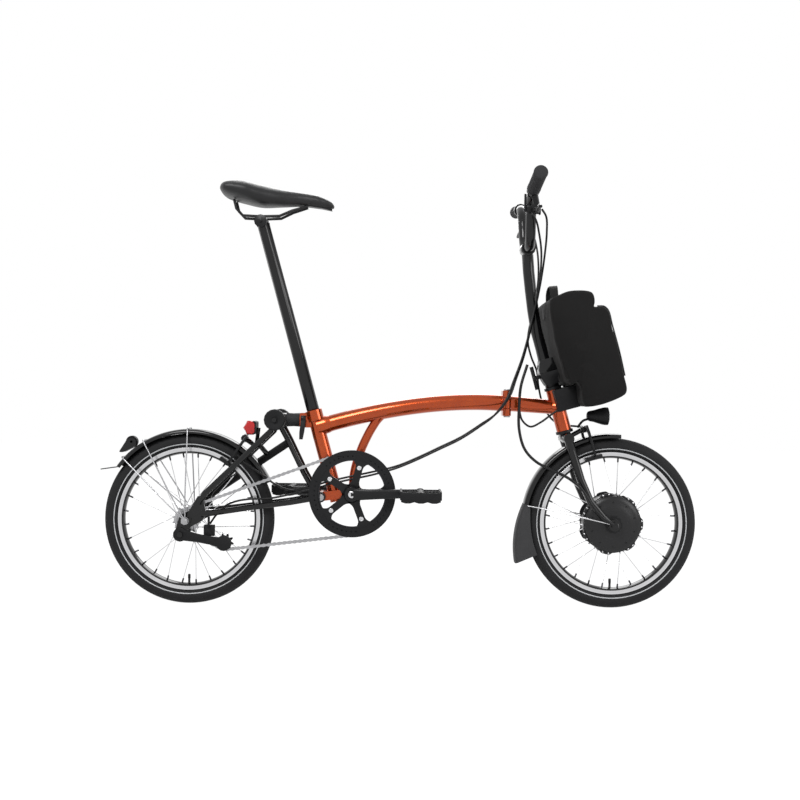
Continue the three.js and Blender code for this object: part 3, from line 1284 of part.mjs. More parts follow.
// Place on the chain line, with the direction away from the wheels and whether the line bends there
function chainPoint(pitch) {
  let left = pitch;
  for (const piece of chainRoute.pieces) {
    if (left <= piece.pitches) {
      if (piece.circle) {
        const angle = piece.from + left / piece.pitches * piece.sweep;
        return { x: piece.circle.x + piece.circle.r * Math.cos(angle),
          z: piece.circle.z + piece.circle.r * Math.sin(angle),
          outward: angle, bends: true };
      }
      const along = left * toothPitch;
      return { x: piece.run.start.x + along * Math.cos(piece.run.heading),
        z: piece.run.start.z + along * Math.sin(piece.run.heading),
        outward: piece.run.normal, bends: left < 1 || left > piece.pitches - 1 };
    }
    left -= piece.pitches;
  }
  return chainPoint(0);
}

// Phase of a chain wheel's first gullet, taken from the first roller that lies in it
function gulletPhase(number) {
  let before = 0;
  for (const piece of chainRoute.pieces) {
    if (piece.circle === chainRoute.circles[number]) {
      const roller = Math.ceil(before) - before;
      return piece.from + roller / piece.pitches * piece.sweep;
    }
    before += piece.pitches;
  }
  return 0;
}

function chain() {
  const rollers = Array.from({ length: Math.round(chainRoute.pitches) }, (_, i) => chainPoint(i));
  const edge = (amount) => rollers.filter((p) => p.bends).map((p) => ({ x: p.x + amount * Math.cos(p.outward),
    z: p.z + amount * Math.sin(p.outward) }));
  const belts = [1, -1].map((side) => plate(edge(linkHalfHeight), side * linkInner - chainOffset,
    side * linkOuter - chainOffset,
    [edge(-linkHalfHeight)]));
  const pins = rollers.map((p, i) => plate(ringOutline(p, rollerRadius, rollerSides, p.outward + Math.PI),
    -chainOffset - linkInner - fit, -chainOffset + linkInner + (i % linkTies === 0 ? fit : -rollerGap)));
  return join(belts, pins);
}

function chainring() {
  const teeth = toothOutline(crankCentre, ringTeeth, gulletPhase(0));
  const inside = ringOutline(crankCentre, ringInnerRadius, 24);
  const half = ringThickness / 2;
  const ring = plate(teeth, -chainOffset - half, -chainOffset + half, [inside]);
  const tabs = Array.from({ length: spiderArms }, (_, i) => {
    const angle = spiderPhase + fullTurn * i / spiderArms;
    return plate(barOutline(crankCentre, angle, boltCircleRadius, ringInnerRadius + overrun, spiderTabRadius,
      spiderTabRadius * 1.6),
      -chainOffset - half, -chainOffset + half);
  });
  const windows = Array.from({ length: ringWindows.count }, (_, i) => {
    const angle = spiderPhase + fullTurn * (i + 0.5) / ringWindows.count;
    return plate(arcWindow(crankCentre, angle, ringWindows), -chainOffset - half - overrun,
      -chainOffset + half + overrun);
  });
  return cut(join(ring, tabs), windows);
}

// Outline of a short bar with a round inner end, along an angle from a centre
function barOutline(centre, angle, from, to, halfStart, halfEnd) {
  const at = (along, across) => ({ x: centre.x + along * Math.cos(angle) - across * Math.sin(angle),
    z: centre.z + along * Math.sin(angle) + across * Math.cos(angle) });
  const tip = [0.75, 1, 1.25].map((turn) => at(from + halfStart * Math.cos(Math.PI * turn),
    halfStart * Math.sin(Math.PI * turn)));
  return [at(to, -halfEnd), at(to, halfEnd), at(from, halfStart), ...tip, at(from, -halfStart)];
}

// Outline of a window bent round a centre
function arcWindow(centre, angle, size) {
  const corners = [[0, 1], [1, 1], [1, 0], [0, 0]];
  return corners.map(([along, out]) => {
    const turn = angle + (along - 0.5) * size.spread;
    const r = size.inner + (size.outer - size.inner) * out;
    return { x: centre.x + r * Math.cos(turn), z: centre.z + r * Math.sin(turn) };
  });
}

function alongCrank(side, reach, y) {
  const angle = side < 0 ? crankAngle : crankAngle + Math.PI;
  return point(crankCentre.x + reach * Math.cos(angle), y, crankCentre.z + reach * Math.sin(angle));
}

// Crank arm from the boss out to the pedal eye, with its corners taken off
function crankArmBody(side) {
  const angle = side < 0 ? crankAngle : crankAngle + Math.PI;
  const across = point(-Math.sin(angle), 0, Math.cos(angle));
  const rings = [0, 0.25, 0.85, 1].map((share) => {
    const half = crankArm.rootHalf + (crankArm.tipHalf - crankArm.rootHalf) * share;
    const flare = crankArm.flare * Math.min(share / 0.25, 1);
    const low = crankArm.inner + flare;
    const high = crankArm.outer + flare;
    const b = crankArm.bevel;
    return [[-half, low + b], [-half + b, low], [half - b, low], [half, low + b], [half, high - b],
      [half - b, high],
      [-half + b, high], [-half, high - b]]
      .map(([a, y]) => alongCrank(side, crankLength * share, side * y).addScaledVector(across, a));
  });
  const eye = crossBar(pedalCentre(side), side * (crankArm.inner + crankArm.flare),
    side * (crankArm.outer + crankArm.flare),
    pedalBoss, 12);
  return join(loft(rings), eye);
}

function pedalCentre(side) {
  const p = alongCrank(side, crankLength, 0);
  return { x: p.x, z: p.z };
}

function pedalBore(side) {
  return crossBar(pedalCentre(side), side * (crankArm.inner + crankArm.flare - overrun),
    side * (crankArm.outer + crankArm.flare + overrun), pedalAxleRadius + fit, 10);
}

function crankRight() {
  const spiderOuter = chainOffset + ringThickness / 2 + fit;
  const back = spiderOuter + spiderThickness;
  const bodies = [crankArmBody(-1), crossBar(crankCentre, -spiderOuter, -crankBoss.outer, crankBoss.radius,
    16),
    crossBar(crankCentre, -spiderOuter, -back, spiderHubRadius, 16)];
  for (let i = 0; i < spiderArms; i += 1) {
    const angle = spiderPhase + fullTurn * i / spiderArms;
    bodies.push(plate(spiderArmOutline(angle), -spiderOuter, -back));
    const bolt = { x: crankCentre.x + boltCircleRadius * Math.cos(angle),
      z: crankCentre.z + boltCircleRadius * Math.sin(angle) };
    bodies.push(crossBar(bolt, -back, -back - ringBolt.length, ringBolt.radius, 6));
  }
  bodies.push(turned([[chainGuard.inner, -back - chainGuard.thickness],
    [chainGuard.outer - 1, -back - chainGuard.thickness],
    [chainGuard.outer, -back + fit], [chainGuard.inner, -back + fit]], crankCentre, 32));
  const bore = crossBar(crankCentre, 0, -crankArm.outer + crankBoss.wall, crankAxleRadius + fit, 12);
  return cut(join(bodies), bore, pedalBore(-1));
}

// Spider arm out to the chain guard ring
function spiderArmOutline(angle) {
  const reach = chainGuard.inner + overrun;
  const at = (along, across) => ({ x: crankCentre.x + along * Math.cos(angle) - across * Math.sin(angle),
    z: crankCentre.z + along * Math.sin(angle) + across * Math.cos(angle) });
  return [at(spiderHubRadius / 2, -spiderArmHalf * 1.3), at(boltCircleRadius, -spiderArmHalf * 0.8),
    at(reach, -spiderArmHalf),
    at(reach, spiderArmHalf), at(boltCircleRadius, spiderArmHalf * 0.8),
      at(spiderHubRadius / 2, spiderArmHalf * 1.3)];
}

function crankLeft() {
  const boss = crossBar(crankCentre, bracketEdge(), crankBoss.outer, crankBoss.radius, 16);
  const axle = crossBar(crankCentre, bracketEdge() + overrun, -crankArm.outer + crankBoss.wall + fit,
    crankAxleRadius, 10);
  return cut(join(crankArmBody(1), boss, axle), pedalBore(1));
}

// Outer face of the bracket bearing with a gap for the crank
function bracketEdge() {
  return bracketShellHalfWidth + bearing.flangeLength + fit * 2;
}

function bracketBearing() {
  const edge = bracketShellHalfWidth + fit;
  const bore = crankAxleRadius + fit;
  return turned([[bore, -edge - bearing.flangeLength], [bearing.flangeRadius, -edge - bearing.flangeLength],
    [bearing.flangeRadius, -edge], [bearing.radius, -edge], [bearing.radius, edge],
    [bearing.flangeRadius, edge],
    [bearing.flangeRadius, edge + bearing.flangeLength], [bore, edge + bearing.flangeLength]], crankCentre,
      12);
}

// Platform pedal: a barrel round its axle, cross plates with waved lower edges and two long sides
function pedalBody(side) {
  const centre = pedalCentre(side);
  const barrelInner = crankArm.outer + crankArm.flare + fit;
  const axle = crossBar(centre, side * (crankArm.inner + crankArm.flare), side * (barrelInner + overrun),
    pedalAxleRadius, 10);
  const barrel = crossBar(centre, side * barrelInner, side * pedal.outer, pedal.body, 10);
  const wave = Array.from({ length: pedal.waves * 3 + 1 }, (_, i) => {
    const along = i / (pedal.waves * 3);
    return { x: centre.x + pedal.halfLength * (1 - 2 * along),
      z: centre.z - pedal.halfHeight - pedal.wave * Math.abs(Math.sin(Math.PI * pedal.waves * along)) };
  });
  const outline = [{ x: centre.x - pedal.halfLength, z: centre.z + pedal.halfHeight },
    { x: centre.x + pedal.halfLength, z: centre.z + pedal.halfHeight }, ...wave];
  const plates = pedalPlateShares.map((share) => {
    const y = pedal.inner + (pedal.outer - pedal.inner - pedal.plate) * share;
    return plate(outline, side * y, side * (y + pedal.plate));
  });
  const rails = [1, -1].map((end) => block([centre.x + end * pedal.halfLength - pedal.plate / 2,
    centre.x + end * pedal.halfLength + pedal.plate / 2],
    side > 0 ? [pedal.inner, pedal.outer] : [-pedal.outer, -pedal.inner],
  [centre.z - pedal.halfHeight * 0.6, centre.z + pedal.halfHeight * 1.2]));
  return join(axle, barrel, plates, rails);
}

function sprocketPair() {
  const half = ringThickness / 2;
  const bore = crossBar(rearAxle, -tensionPlate.outer, -rearHubHalfLength + overrun, axleRadius + fit, 12);
  const carrier = crossBar(rearAxle, -rearHubHalfLength - fit, -rearDropout.inner + fit * 2,
    cogCarrierRadius, 12);
  const small = plate(toothOutline(rearAxle, cogTeeth, gulletPhase(1)), -chainOffset - half,
    -chainOffset + half);
  const large = plate(toothOutline(rearAxle, largeCogTeeth, 0), -chainOffset + largeCogGap,
    -chainOffset + largeCogGap + half * 2);
  return cut(join(carrier, small, large), bore);
}

function rearAxlePin() {
  const left = stayEye.left + stayEye.thickness + fit;
  const right = stayEye.right + stayEye.thickness + fit;
  return join(crossBar(rearAxle, -right - axleNutLength - fit, left + axleNutLength + fit, axleRadius, 8),
    crossBar(rearAxle, left, left + axleNutLength, axleNutRadius, 6),
    crossBar(rearAxle, -right - axleNutLength, -right, axleNutRadius, 6));
}

function tensionerPlate() {
  const y = [-tensionPlate.inner, -tensionPlate.outer];
  const r = rearDropout.radius * 0.9;
  const outline = [{ x: rearAxle.x + r, z: rearAxle.z + r * 0.4 },
    { x: rearAxle.x - r, z: rearAxle.z + r * 0.4 },
    { x: tensionPivot.x - r, z: tensionPivot.z }, { x: tensionPivot.x - r * 0.4, z: tensionPivot.z - r },
    { x: tensionPivot.x + r * 0.6, z: tensionPivot.z - r * 0.8 },
      { x: tensionPivot.x + r, z: tensionPivot.z }];
  const pin = crossBar(tensionPivot, -tensionPlate.inner, -tensionArm.outer - fit, jockeyBoltRadius, 10);
  const head = crossBar(tensionPivot, -tensionArm.outer - fit,
    -tensionArm.outer - fit - rollerAxle.boltLength,
    jockeyBoltRadius * 1.7, 12);
  return join(plate(outline, ...y), pin, head);
}

function tensionerArm() {
  const end = tensionEnd(armAngle);
  const inner = -tensionArm.inner;
  const outer = -tensionArm.outer;
  const normal = { x: -Math.sin(armAngle), z: Math.cos(armAngle) };
  const at = (share, across) => ({ x: tensionPivot.x + (end.x - tensionPivot.x) * share + normal.x * across,
    z: tensionPivot.z + (end.z - tensionPivot.z) * share + normal.z * across });
  const web = plate([at(0, -tensionArm.pivotRadius * 0.8), at(0.4, -tensionArm.waist),
    at(0.7, -tensionArm.waist),
    at(1, -tensionArm.endRadius * 0.7), at(1, tensionArm.endRadius * 0.7), at(0.7, tensionArm.waist),
      at(0.4, tensionArm.waist),
    at(0, tensionArm.pivotRadius * 0.8)], inner, outer);
  const bolt = crossBar(end, outer, -chainOffset + linkInner + fit, jockeyBoltRadius, 10);
  const spacer = crossBar(end, outer, -chainOffset - ringThickness / 2 - fit * 2, jockeyBoltRadius * 1.8, 10);
  const head = crossBar(end, -chainOffset + linkInner + fit,
    -chainOffset + linkInner + fit + rollerAxle.boltLength,
    jockeyBoltRadius * 1.7, 8);
  const body = join(crossBar(tensionPivot, inner, outer, tensionArm.pivotRadius, 16), web,
    crossBar(end, inner, outer, tensionArm.endRadius, 16), bolt, spacer, head);
  return cut(body, crossBar(tensionPivot, inner + overrun, outer - overrun, jockeyBoltRadius + fit, 10));
}

function jockeyWheel() {
  const half = ringThickness / 2;
  const end = tensionEnd(armAngle);
  const wheel = plate(toothOutline(end, jockeyTeeth, gulletPhase(2)), -chainOffset - half,
    -chainOffset + half);
  const hub = crossBar(end, -chainOffset - half, -chainOffset + linkInner, jockeyBoltRadius * 2.2, 12);
  return cut(join(wheel, hub), crossBar(end, -chainOffset - overrun, -chainOffset + linkInner + overrun,
    jockeyBoltRadius + fit, 10));
}

// Fork that pushes the chain from one sprocket to the other
function chainPusher() {
  const y = -chainOffset;
  const wings = [1, -1].map((side) => block([pusher.x - pusher.halfLength, pusher.x + pusher.halfLength],
    side > 0 ? [y + pusher.gap, y + pusher.gap + pusher.wing] : [y - pusher.gap - pusher.wing,
    y - pusher.gap],
    [pusher.low, pusher.high]));
  const rodPlace = { x: pusher.x, z: pusher.high - pusher.rodRadius };
  const stay = chainstayRoute.find((p) => p.x <= pusher.x + pusher.halfLength);
  const hanger = rod(point(pusher.x, -stay.y, rodPlace.z),
    point(pusher.x, -stay.y, stay.z - chainstayRadius - fit * 2), pusher.rodRadius, 10);
  return join(wings, crossBar(rodPlace, -stay.y, y + pusher.reachIn, pusher.rodRadius, 10), hanger);
}

// Brakes

// Arm of a side-pull brake: side is the side of the wheel its pad works on, layer its place along the pivot
function brakeArm(axle, angle, side, layer) {
  const along = point(-Math.sin(angle), 0, Math.cos(angle));
  const out = point(Math.cos(angle), 0, Math.sin(angle));
  const place = (y, r, t) => point(axle.x, 0, axle.z).addScaledVector(out,
    brakePivotRadius + r).addScaledVector(along, t)
    .add(point(0, side * y, 0));
  const near = layer > 0 ? fit : -fit - brakeArmThickness;
  const ring = (t) => brakeArmOutline.map((p) => place(p.y, p.r, t));
  const arm = loft([ring(near), ring(near + brakeArmThickness)]);
  const box = (t) => [[brakePad.inner, brakePad.low], [brakePad.outer, brakePad.low],
    [brakePad.outer, brakePad.high],
    [brakePad.inner, brakePad.high]].map(([y, r]) => place(y, r - brakePivotRadius, t));
  const pad = loft([box(-brakePad.halfLength), box(brakePad.halfLength)]);
  const middle = near + brakeArmThickness / 2;
  const stud = rod(place(brakePad.outer - overrun, brakePad.low + brakePad.halfHeight - brakePivotRadius,
    middle),
    place(brakePad.outer + brakePad.stud, brakePad.low + brakePad.halfHeight - brakePivotRadius, middle),
      brakePad.halfHeight, 6);
  return cut(join(arm, pad, stud), rod(place(0, 0, near - overrun),
    place(0, 0, near + brakeArmThickness + overrun),
    brakePivotPin + fit, 10));
}

// Saddle and its post

function saddleStation(i) {
  const share = saddleStationShares[i];
  const x = saddle.rear + saddle.length * share;
  const half = saddle.noseHalf + (saddle.rearHalf - saddle.noseHalf) * Math.max(saddleWidthShares[i] * 1.25 - 0.25, 0);
  const halfWidth = Math.min(half, saddle.rearHalf * saddleWidthShares[i] + saddle.noseHalf * 0.2);
  const rise = saddleTopShares[i] * (saddle.rearTop - saddle.midTop);
  const slope = (saddle.noseTop - saddle.midTop) * Math.max(share - 0.5, 0) * 2;
  return { x, halfWidth, top: saddle.midTop + rise + slope, depth: saddle.depth * saddleDepthShares[i] };
}

// Cushion ring: crowned top with a shallow channel along the middle, sides drawn in at the lower edge
function saddleRing(s, share, lift) {
  return Array.from({ length: saddleRingPoints }, (_, k) => {
    const angle = fullTurn * k / saddleRingPoints;
    const c = Math.cos(angle);
    const n = Math.sin(angle);
    const across = Math.sign(c) * Math.abs(c) ** 0.75;
    const above = n > 0 ? Math.abs(n) ** 0.9 : -1 * Math.abs(n) ** 0.6;
    const tuck = n < 0 ? 1 - 0.12 * Math.abs(n) : 1;
    const channel = n > 0 ? 0.08 * Math.max(0, 1 - Math.abs(c) * 4) : 0;
    return point(s.x, s.halfWidth * share * across * tuck,
      s.top - s.depth / 2 + s.depth / 2 * (above - channel) * share + lift);
  });
}

function saddleCushion() {
  const stations = saddleStationShares.map((_, i) => saddleStation(i));
  const body = loft(stations.map((s) => saddleRing(s, 1, 0)));
  return cut(body, saddleShell(fit, saddle.depth));
}

// Base of the saddle, let into the cushion from below
function saddleShell(extra, below = saddleBase.thickness) {
  const stations = saddleStationShares.slice(1, -1).map((_, i) => saddleStation(i + 1));
  const rings = stations.map((s) => {
    const half = Math.max(s.halfWidth - saddleBase.inset, saddleBase.inset) + extra;
    const low = s.top - s.depth * saddleBase.drop - extra;
    return [[half, low], [half * 0.7, low - below], [-half * 0.7, low - below], [-half, low],
      [-half, low + saddleBase.thickness + extra * 2], [half, low + saddleBase.thickness + extra * 2]]
      .map(([y, z]) => point(s.x, y, z));
  });
  return loft(rings);
}

function saddleRails() {
  const bodies = [saddleShell(0)];
  for (const side of [1, -1]) {
    bodies.push(bent(railRoute.map((p) => point(p.x, side * p.y, p.z)), rail.radius, 6));
    bodies.push(crossBar(headPlace(), side * (rail.headHalf + fit), side * (rail.headHalf + rail.cheek),
      rail.cheekRadius, 12));
  }
  const reach = rail.headHalf + rail.cheek + rail.boltLength;
  bodies.push(crossBar(headPlace(), -reach, reach, rail.boltRadius, 10));
  return join(bodies);
}

function headPlace() {
  return { x: seatPost.headX, z: seatPost.headZ };
}

function seatPostBody() {
  const length = Math.hypot(seatTop.x - seatPost.headX, seatPost.headZ - seatTop.z);
  const post = rod(onSeatTube(0, 0, -seatPost.insert), onSeatTube(0, 0, length - seatPost.headRadius / 2),
    seatPost.radius, 16);
  const head = crossBar(headPlace(), -rail.headHalf, rail.headHalf, seatPost.headRadius, 12);
  return cut(join(post, head), crossBar(headPlace(), -rail.headHalf - overrun, rail.headHalf + overrun,
    rail.boltRadius + fit, 10));
}

// Clamp lever on the seat tube, hung between two ears
function clampPin() {
  const at = (x) => point(clampLever.x + x, clampLever.y, clampLever.z);
  const outside = clampLever.halfWidth + fit + clampLever.ear;
  const ears = [1, -1].map((side) => {
    const x = [clampLever.x + side * (clampLever.halfWidth + fit),
      clampLever.x + side * outside].sort((a, b) => a - b);
    return block(x, [clampLever.y - clampLever.hubRadius / 2, -seatLug.halfWidth + fit],
      [clampLever.z - clampLever.hubRadius / 2, clampLever.z + clampLever.hubRadius / 2]);
  });
  return join(ears, rod(at(-outside), at(outside), clampLever.pinRadius, 8));
}

function seatClampLever() {
  const w = clampLever.halfWidth;
  const at = (x) => point(clampLever.x + x, clampLever.y, clampLever.z);
  const rings = clampLeverRoute.map((p) => [[-w, -1], [w, -1], [w, 1], [-w, 1]].map(([x, t]) =>
    point(clampLever.x + x * p.share + p.x, clampLever.y + p.y + t * clampLever.halfThickness,
      clampLever.z + p.z)));
  return cut(join(rod(at(-w), at(w), clampLever.hubRadius, 12), loft(rings)),
    rod(at(-w - overrun), at(w + overrun),
    clampLever.pinRadius + fit, 8));
}

// Battery dock on the head tube and the bag that sits on it

function dockBlock(extra) {
  const low = dock.low - extra;
  const high = dock.high + extra;
  const outline = [[-dock.rear, low], [dock.front + extra, low], [dock.front + extra, high],
    [-dock.rear, high]];
  const ring = (y) => outline.map(([f, s]) => onSteering(f, y, s));
  return loft([ring(-dock.halfWidth - extra), ring(dock.halfWidth + extra)]);
}

function batteryDock() {
  const tubeHole = rod(onSteering(0, 0, dock.low - overrun), onSteering(0, 0, dock.high + overrun),
    headTubeRadius + fit, 16);
  const ring = (y) => [[-dock.rear - overrun, dock.low - overrun], [0, dock.low - overrun],
    [0, dock.high + overrun],
    [-dock.rear - overrun, dock.high + overrun]].map(([f, s]) => onSteering(f, y, s));
  const slotHalf = frontTubeRadius + fit;
  return cut(dockBlock(0), tubeHole, loft([ring(-slotHalf), ring(slotHalf)]));
}

function batteryBag() {
  const middle = bagOutline.reduce((sum, p) => ({ x: sum.x + p.x / bagOutline.length,
    z: sum.z + p.z / bagOutline.length }), { x: 0, z: 0 });
  const ring = (y, share) => bagOutline.map((p) => point(middle.x + (p.x - middle.x) * share, y,
    middle.z + (p.z - middle.z) * share));
  const body = loft([ring(-bag.halfWidth, bag.edgeShare), ring(-bag.halfWidth + bag.edge, 1),
    ring(bag.halfWidth - bag.edge, 1),
    ring(bag.halfWidth, bag.edgeShare)]);
  const recess = (y) => [[-bag.recessFront, -bag.recessLow], [bag.recessFront, -bag.recessLow],
    [bag.recessFront, bag.recessHigh],
    [-bag.recessFront, bag.recessHigh]].map(([f, w]) => onPostHinge(f, y, w));
  const handle = tube(smooth(bagHandleRoute.map((p) => point(p.x, p.y, p.z))), bagHandle.radius, 8, 10);
  return join(cut(body, dockBlock(fit), loft([recess(-bag.recessHalf), recess(bag.recessHalf)])), handle);
}

// Cables, laid whole along their clips

function cable(route, radius, steps) {
  return tube(smooth(route.map(([x, y, z]) => point(x, y, z))), radius, cableSides, steps);
}

keep('main_frame', mainFrame(), paint.lacquer);
keep('bottom_bracket', bracketBearing(), paint.steel);
keep('rear_pivot_pin', crossPin(rearPivot, rearLug.outer, pivotPinRadius, pivotPinHeadRadius,
  pivotPinHeadLength), paint.silver);
keep('frame_hinge_pin', mainHingePin(), paint.silver);
keep('seat_clamp_lever', seatClampLever(), paint.black);
keep('seatpost', seatPostBody(), paint.black);
keep('saddle_cushion', saddleCushion(), paint.fabric);
keep('saddle_rails', saddleRails(), paint.plastic);
keep('front_frame', frontFrame(), paint.lacquer);
keep('battery_dock', batteryDock(), paint.plastic);
keep('battery_bag', batteryBag(), paint.fabric);
keep('frame_hinge_lever', foldingLever(point(hingeX + hingePlate.thickness / 2,
  hingePlate.left + hingeLeverBoss, hingeZ),
  point(0, 1, 0), point(0, 0, 1)), paint.black);
keep('fork', fork(), paint.black);
keep('post_hinge_base', postHingeBase(), paint.black);
keep('steering_post', steeringPost(), paint.black);
keep('post_hinge_lever', foldingLever(onPostHinge(-postPlate.rear, -postLeverSide, -postLeverDrop),
  ahead.clone().negate(),
  upwards), paint.black);
keep('handlebar', handlebar(), paint.black);
keep('grip_left', handGrip(1), paint.rubber);
keep('grip_right', handGrip(-1), paint.rubber);
keep('brake_bracket_left', brakeBracket(1), paint.plastic);
keep('brake_bracket_right', brakeBracket(-1), paint.plastic);
keep('brake_lever_left', brakeLever(1), paint.black);
keep('brake_lever_right', brakeLever(-1), paint.black);
keep('shift_trigger', shiftTrigger(), paint.plastic);
keep('front_mudguard', frontMudguard(), paint.black);
keep('headlamp', headlampBody(), paint.lens);
keep('front_rim', lacedRim(frontAxle, motorLobeRadius, motorFlangeOffset, frontLacing, fit), paint.silver);
keep('front_motor', frontMotor(), paint.steel);
keep('front_tyre', tyre(frontAxle), paint.rubber);
keep('front_brake_arm_left', brakeArm(frontAxle, frontBrakeAngle, 1, 1), paint.black);
keep('front_brake_arm_right', brakeArm(frontAxle, frontBrakeAngle, -1, -1), paint.black);
keep('rear_frame', rearFrame(), paint.black);
keep('suspension_block', suspensionBlock(), paint.rubber);
keep('rear_mudguard', rearMudguard(), paint.black);
keep('mudguard_stays', mudguardStays(), paint.silver);
keep('tail_lamp', tailLampBody(), paint.red);
keep('rear_axle', rearAxlePin(), paint.silver);
keep('rear_rim', lacedRim(rearAxle, rearFlangeRadius, rearFlangeOffset, rearLacing, fit * 3), paint.silver);
keep('rear_hub', rearHub(), paint.steel);
keep('rear_tyre', tyre(rearAxle), paint.rubber);
keep('sprockets', sprocketPair(), paint.steel);
keep('tensioner_arm', tensionerArm(), paint.plastic);
keep('jockey_wheel', jockeyWheel(), paint.plastic);
keep('chain_pusher', chainPusher(), paint.plastic);
keep('rear_brake_arm_left', brakeArm(rearAxle, rearBrakeAngle, 1, 1), paint.black);
keep('rear_brake_arm_right', brakeArm(rearAxle, rearBrakeAngle, -1, -1), paint.black);
keep('roller_left', supportRoller(1), paint.plastic);
keep('roller_right', supportRoller(-1), paint.plastic);
keep('mudguard_roller', guardRollerWheel(), paint.plastic);
keep('crank_right', crankRight(), paint.black);
keep('chainring', chainring(), paint.silver);
keep('crank_left', crankLeft(), paint.black);
keep('pedal_left', pedalBody(1), paint.plastic);
keep('pedal_right', pedalBody(-1), paint.plastic);
keep('chain', chain(), paint.steel);
keep('hand_pump', handPump(), paint.plastic);
keep('rear_brake_cable', cable(rearBrakeRoute, cableRadius, 30), paint.rubber);
keep('gear_cable', cable(gearRoute, cableRadius, 30), paint.rubber);
keep('front_brake_cable', cable(frontBrakeRoute, cableRadius, 22), paint.rubber);
keep('motor_cable', join(cable(motorRoute, motorCableRadius, 18), cable(dockLeadRoute, cableRadius, 9)),
  paint.rubber);

const bicycle = new THREE.Group();
bicycle.add(...parts);
const bounds = new THREE.Box3().setFromObject(bicycle);
bicycle.position.set(-(bounds.min.x + bounds.max.x) / 2, 0, -bounds.min.z);

export default bicycle;
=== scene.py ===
"""Folding bicycle with a front hub motor and a front battery bag, dressed for its photograph.

Blender works in metres, X forwards, Y to the rider's left, Z up. The sizes here are in millimetres,
measured from the rear axle on the ground line, and placed() carries them over.
"""
import logging
import math
from dataclasses import dataclass, field
from enum import Enum

import bmesh
import bpy
import numpy as np
from mathutils import Matrix, Vector
from mathutils.geometry import tessellate_polygon


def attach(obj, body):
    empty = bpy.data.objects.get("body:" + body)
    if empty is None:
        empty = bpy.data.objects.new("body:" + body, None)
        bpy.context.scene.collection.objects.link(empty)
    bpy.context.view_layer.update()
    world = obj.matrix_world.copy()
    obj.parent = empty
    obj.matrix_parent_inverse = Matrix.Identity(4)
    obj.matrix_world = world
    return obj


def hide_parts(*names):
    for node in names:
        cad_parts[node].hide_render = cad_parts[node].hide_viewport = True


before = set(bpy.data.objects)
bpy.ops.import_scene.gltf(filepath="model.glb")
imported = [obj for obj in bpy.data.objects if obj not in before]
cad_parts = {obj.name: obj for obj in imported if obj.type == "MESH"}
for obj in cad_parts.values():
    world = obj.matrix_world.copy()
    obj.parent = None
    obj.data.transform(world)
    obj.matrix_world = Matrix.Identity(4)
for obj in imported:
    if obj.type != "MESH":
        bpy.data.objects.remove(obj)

LOG = logging.getLogger("bicycle")
MILLIMETRE = 0.001
CENTRE = 516.0
TURN = 2 * math.pi
FORWARD = np.array([1.0, 0.0, 0.0])
ACROSS = np.array([0.0, 1.0, 0.0])
UPRIGHT = np.array([0.0, 0.0, 1.0])
UP = np.array([-0.26892, 0.0, 0.96316])
HEAD_BOTTOM = np.array([925.0, 0.0, 438.0])
SEAT_TOP = np.array([302.8, 0.0, 479.8])
CRANK = np.array([403.5, 0.0, 279.0])
REAR_PIVOT = np.array([325.0, 0.0, 268.0])
REAR_AXLE = np.array([0.0, 0.0, 210.0])
FRONT_AXLE = np.array([1042.0, 0.0, 210.0])
HINGE = np.array([779.0, 0.0, 503.5])
HINGE_PIN_SIDE = -34.0
MUDGUARD_ROLLER = np.array([-145.0, 0.0, 398.3])
JOCKEY = (94.7138, 157.4847)
CHAIN_SIDE = -44.0


# Surfaces


@dataclass
class Shell:
    """One closed surface: points in bicycle millimetres, and blocks of faces as rows of point numbers."""

    points: np.ndarray
    faces: list[np.ndarray]


def placed(points: np.ndarray) -> np.ndarray:
    """Bicycle millimetres as metres in the shared frame.

    Args:
        points: Rows of x, y and z.

    Returns:
        The same rows in metres.
    """
    return (np.asarray(points, dtype=float) - [CENTRE, 0.0, 0.0]) * MILLIMETRE


def skin(rings: np.ndarray, looped: bool = False) -> Shell:
    """Surface through rings: point (i, j) joins its neighbours along both numbers.

    Args:
        rings: Array of rings, each with the same number of points.
        looped: Whether the last ring joins the first; otherwise both ends get a flat cap.

    Returns:
        The closed surface.
    """
    count, around = rings.shape[:2]
    number = np.arange(count * around).reshape(count, around)
    here = np.vstack([number, number[:1]]) if looped else number
    beside = np.roll(here, -1, axis=1)
    quads = np.stack([here[:-1], beside[:-1], beside[1:], here[1:]], axis=-1).reshape(-1, 4)
    caps = [] if looped else [number[0][None, ::-1], number[-1][None, :]]
    return Shell(rings.reshape(-1, 3), [quads, *caps])


def across_pair(direction: np.ndarray) -> tuple[np.ndarray, np.ndarray]:
    """Two unit directions square to the given one and to each other.

    Args:
        direction: Any direction but zero.

    Returns:
        The two directions, which make a right-handed set with the given one.
    """
    direction = direction / np.linalg.norm(direction)
    start = ACROSS if abs(direction[1]) < 0.9 else np.array([1.0, 0.0, 0.0])
    first = np.cross(start, direction)
    first /= np.linalg.norm(first)
    return first, np.cross(direction, first)


def spun(profile: list, origin: np.ndarray, axis: np.ndarray = ACROSS, steps: int = 48,
         hollow: bool = False) -> Shell:
    """Body of revolution: each pair (radius, distance) goes round the axis as radius times cosine and sine.

    Args:
        profile: Pairs of radius and distance along the axis, in millimetres.
        origin: Place that the distances are measured from.
        axis: Direction of the axis.
        steps: Number of steps in a full turn.
        hollow: Whether the profile is a closed loop clear of the axis.

    Returns:
        The closed surface.
    """
    axis = axis / np.linalg.norm(axis)
    first, second = across_pair(axis)
    pairs = np.asarray(profile, dtype=float)
    angle = np.arange(steps) * TURN / steps
    spoke = np.cos(angle)[:, None] * first + np.sin(angle)[:, None] * second
    rings = origin + pairs[:, None, 0:1] * spoke[None] + pairs[:, None, 1:2] * axis
    return skin(rings.transpose(1, 0, 2), looped=True) if hollow else skin(rings)


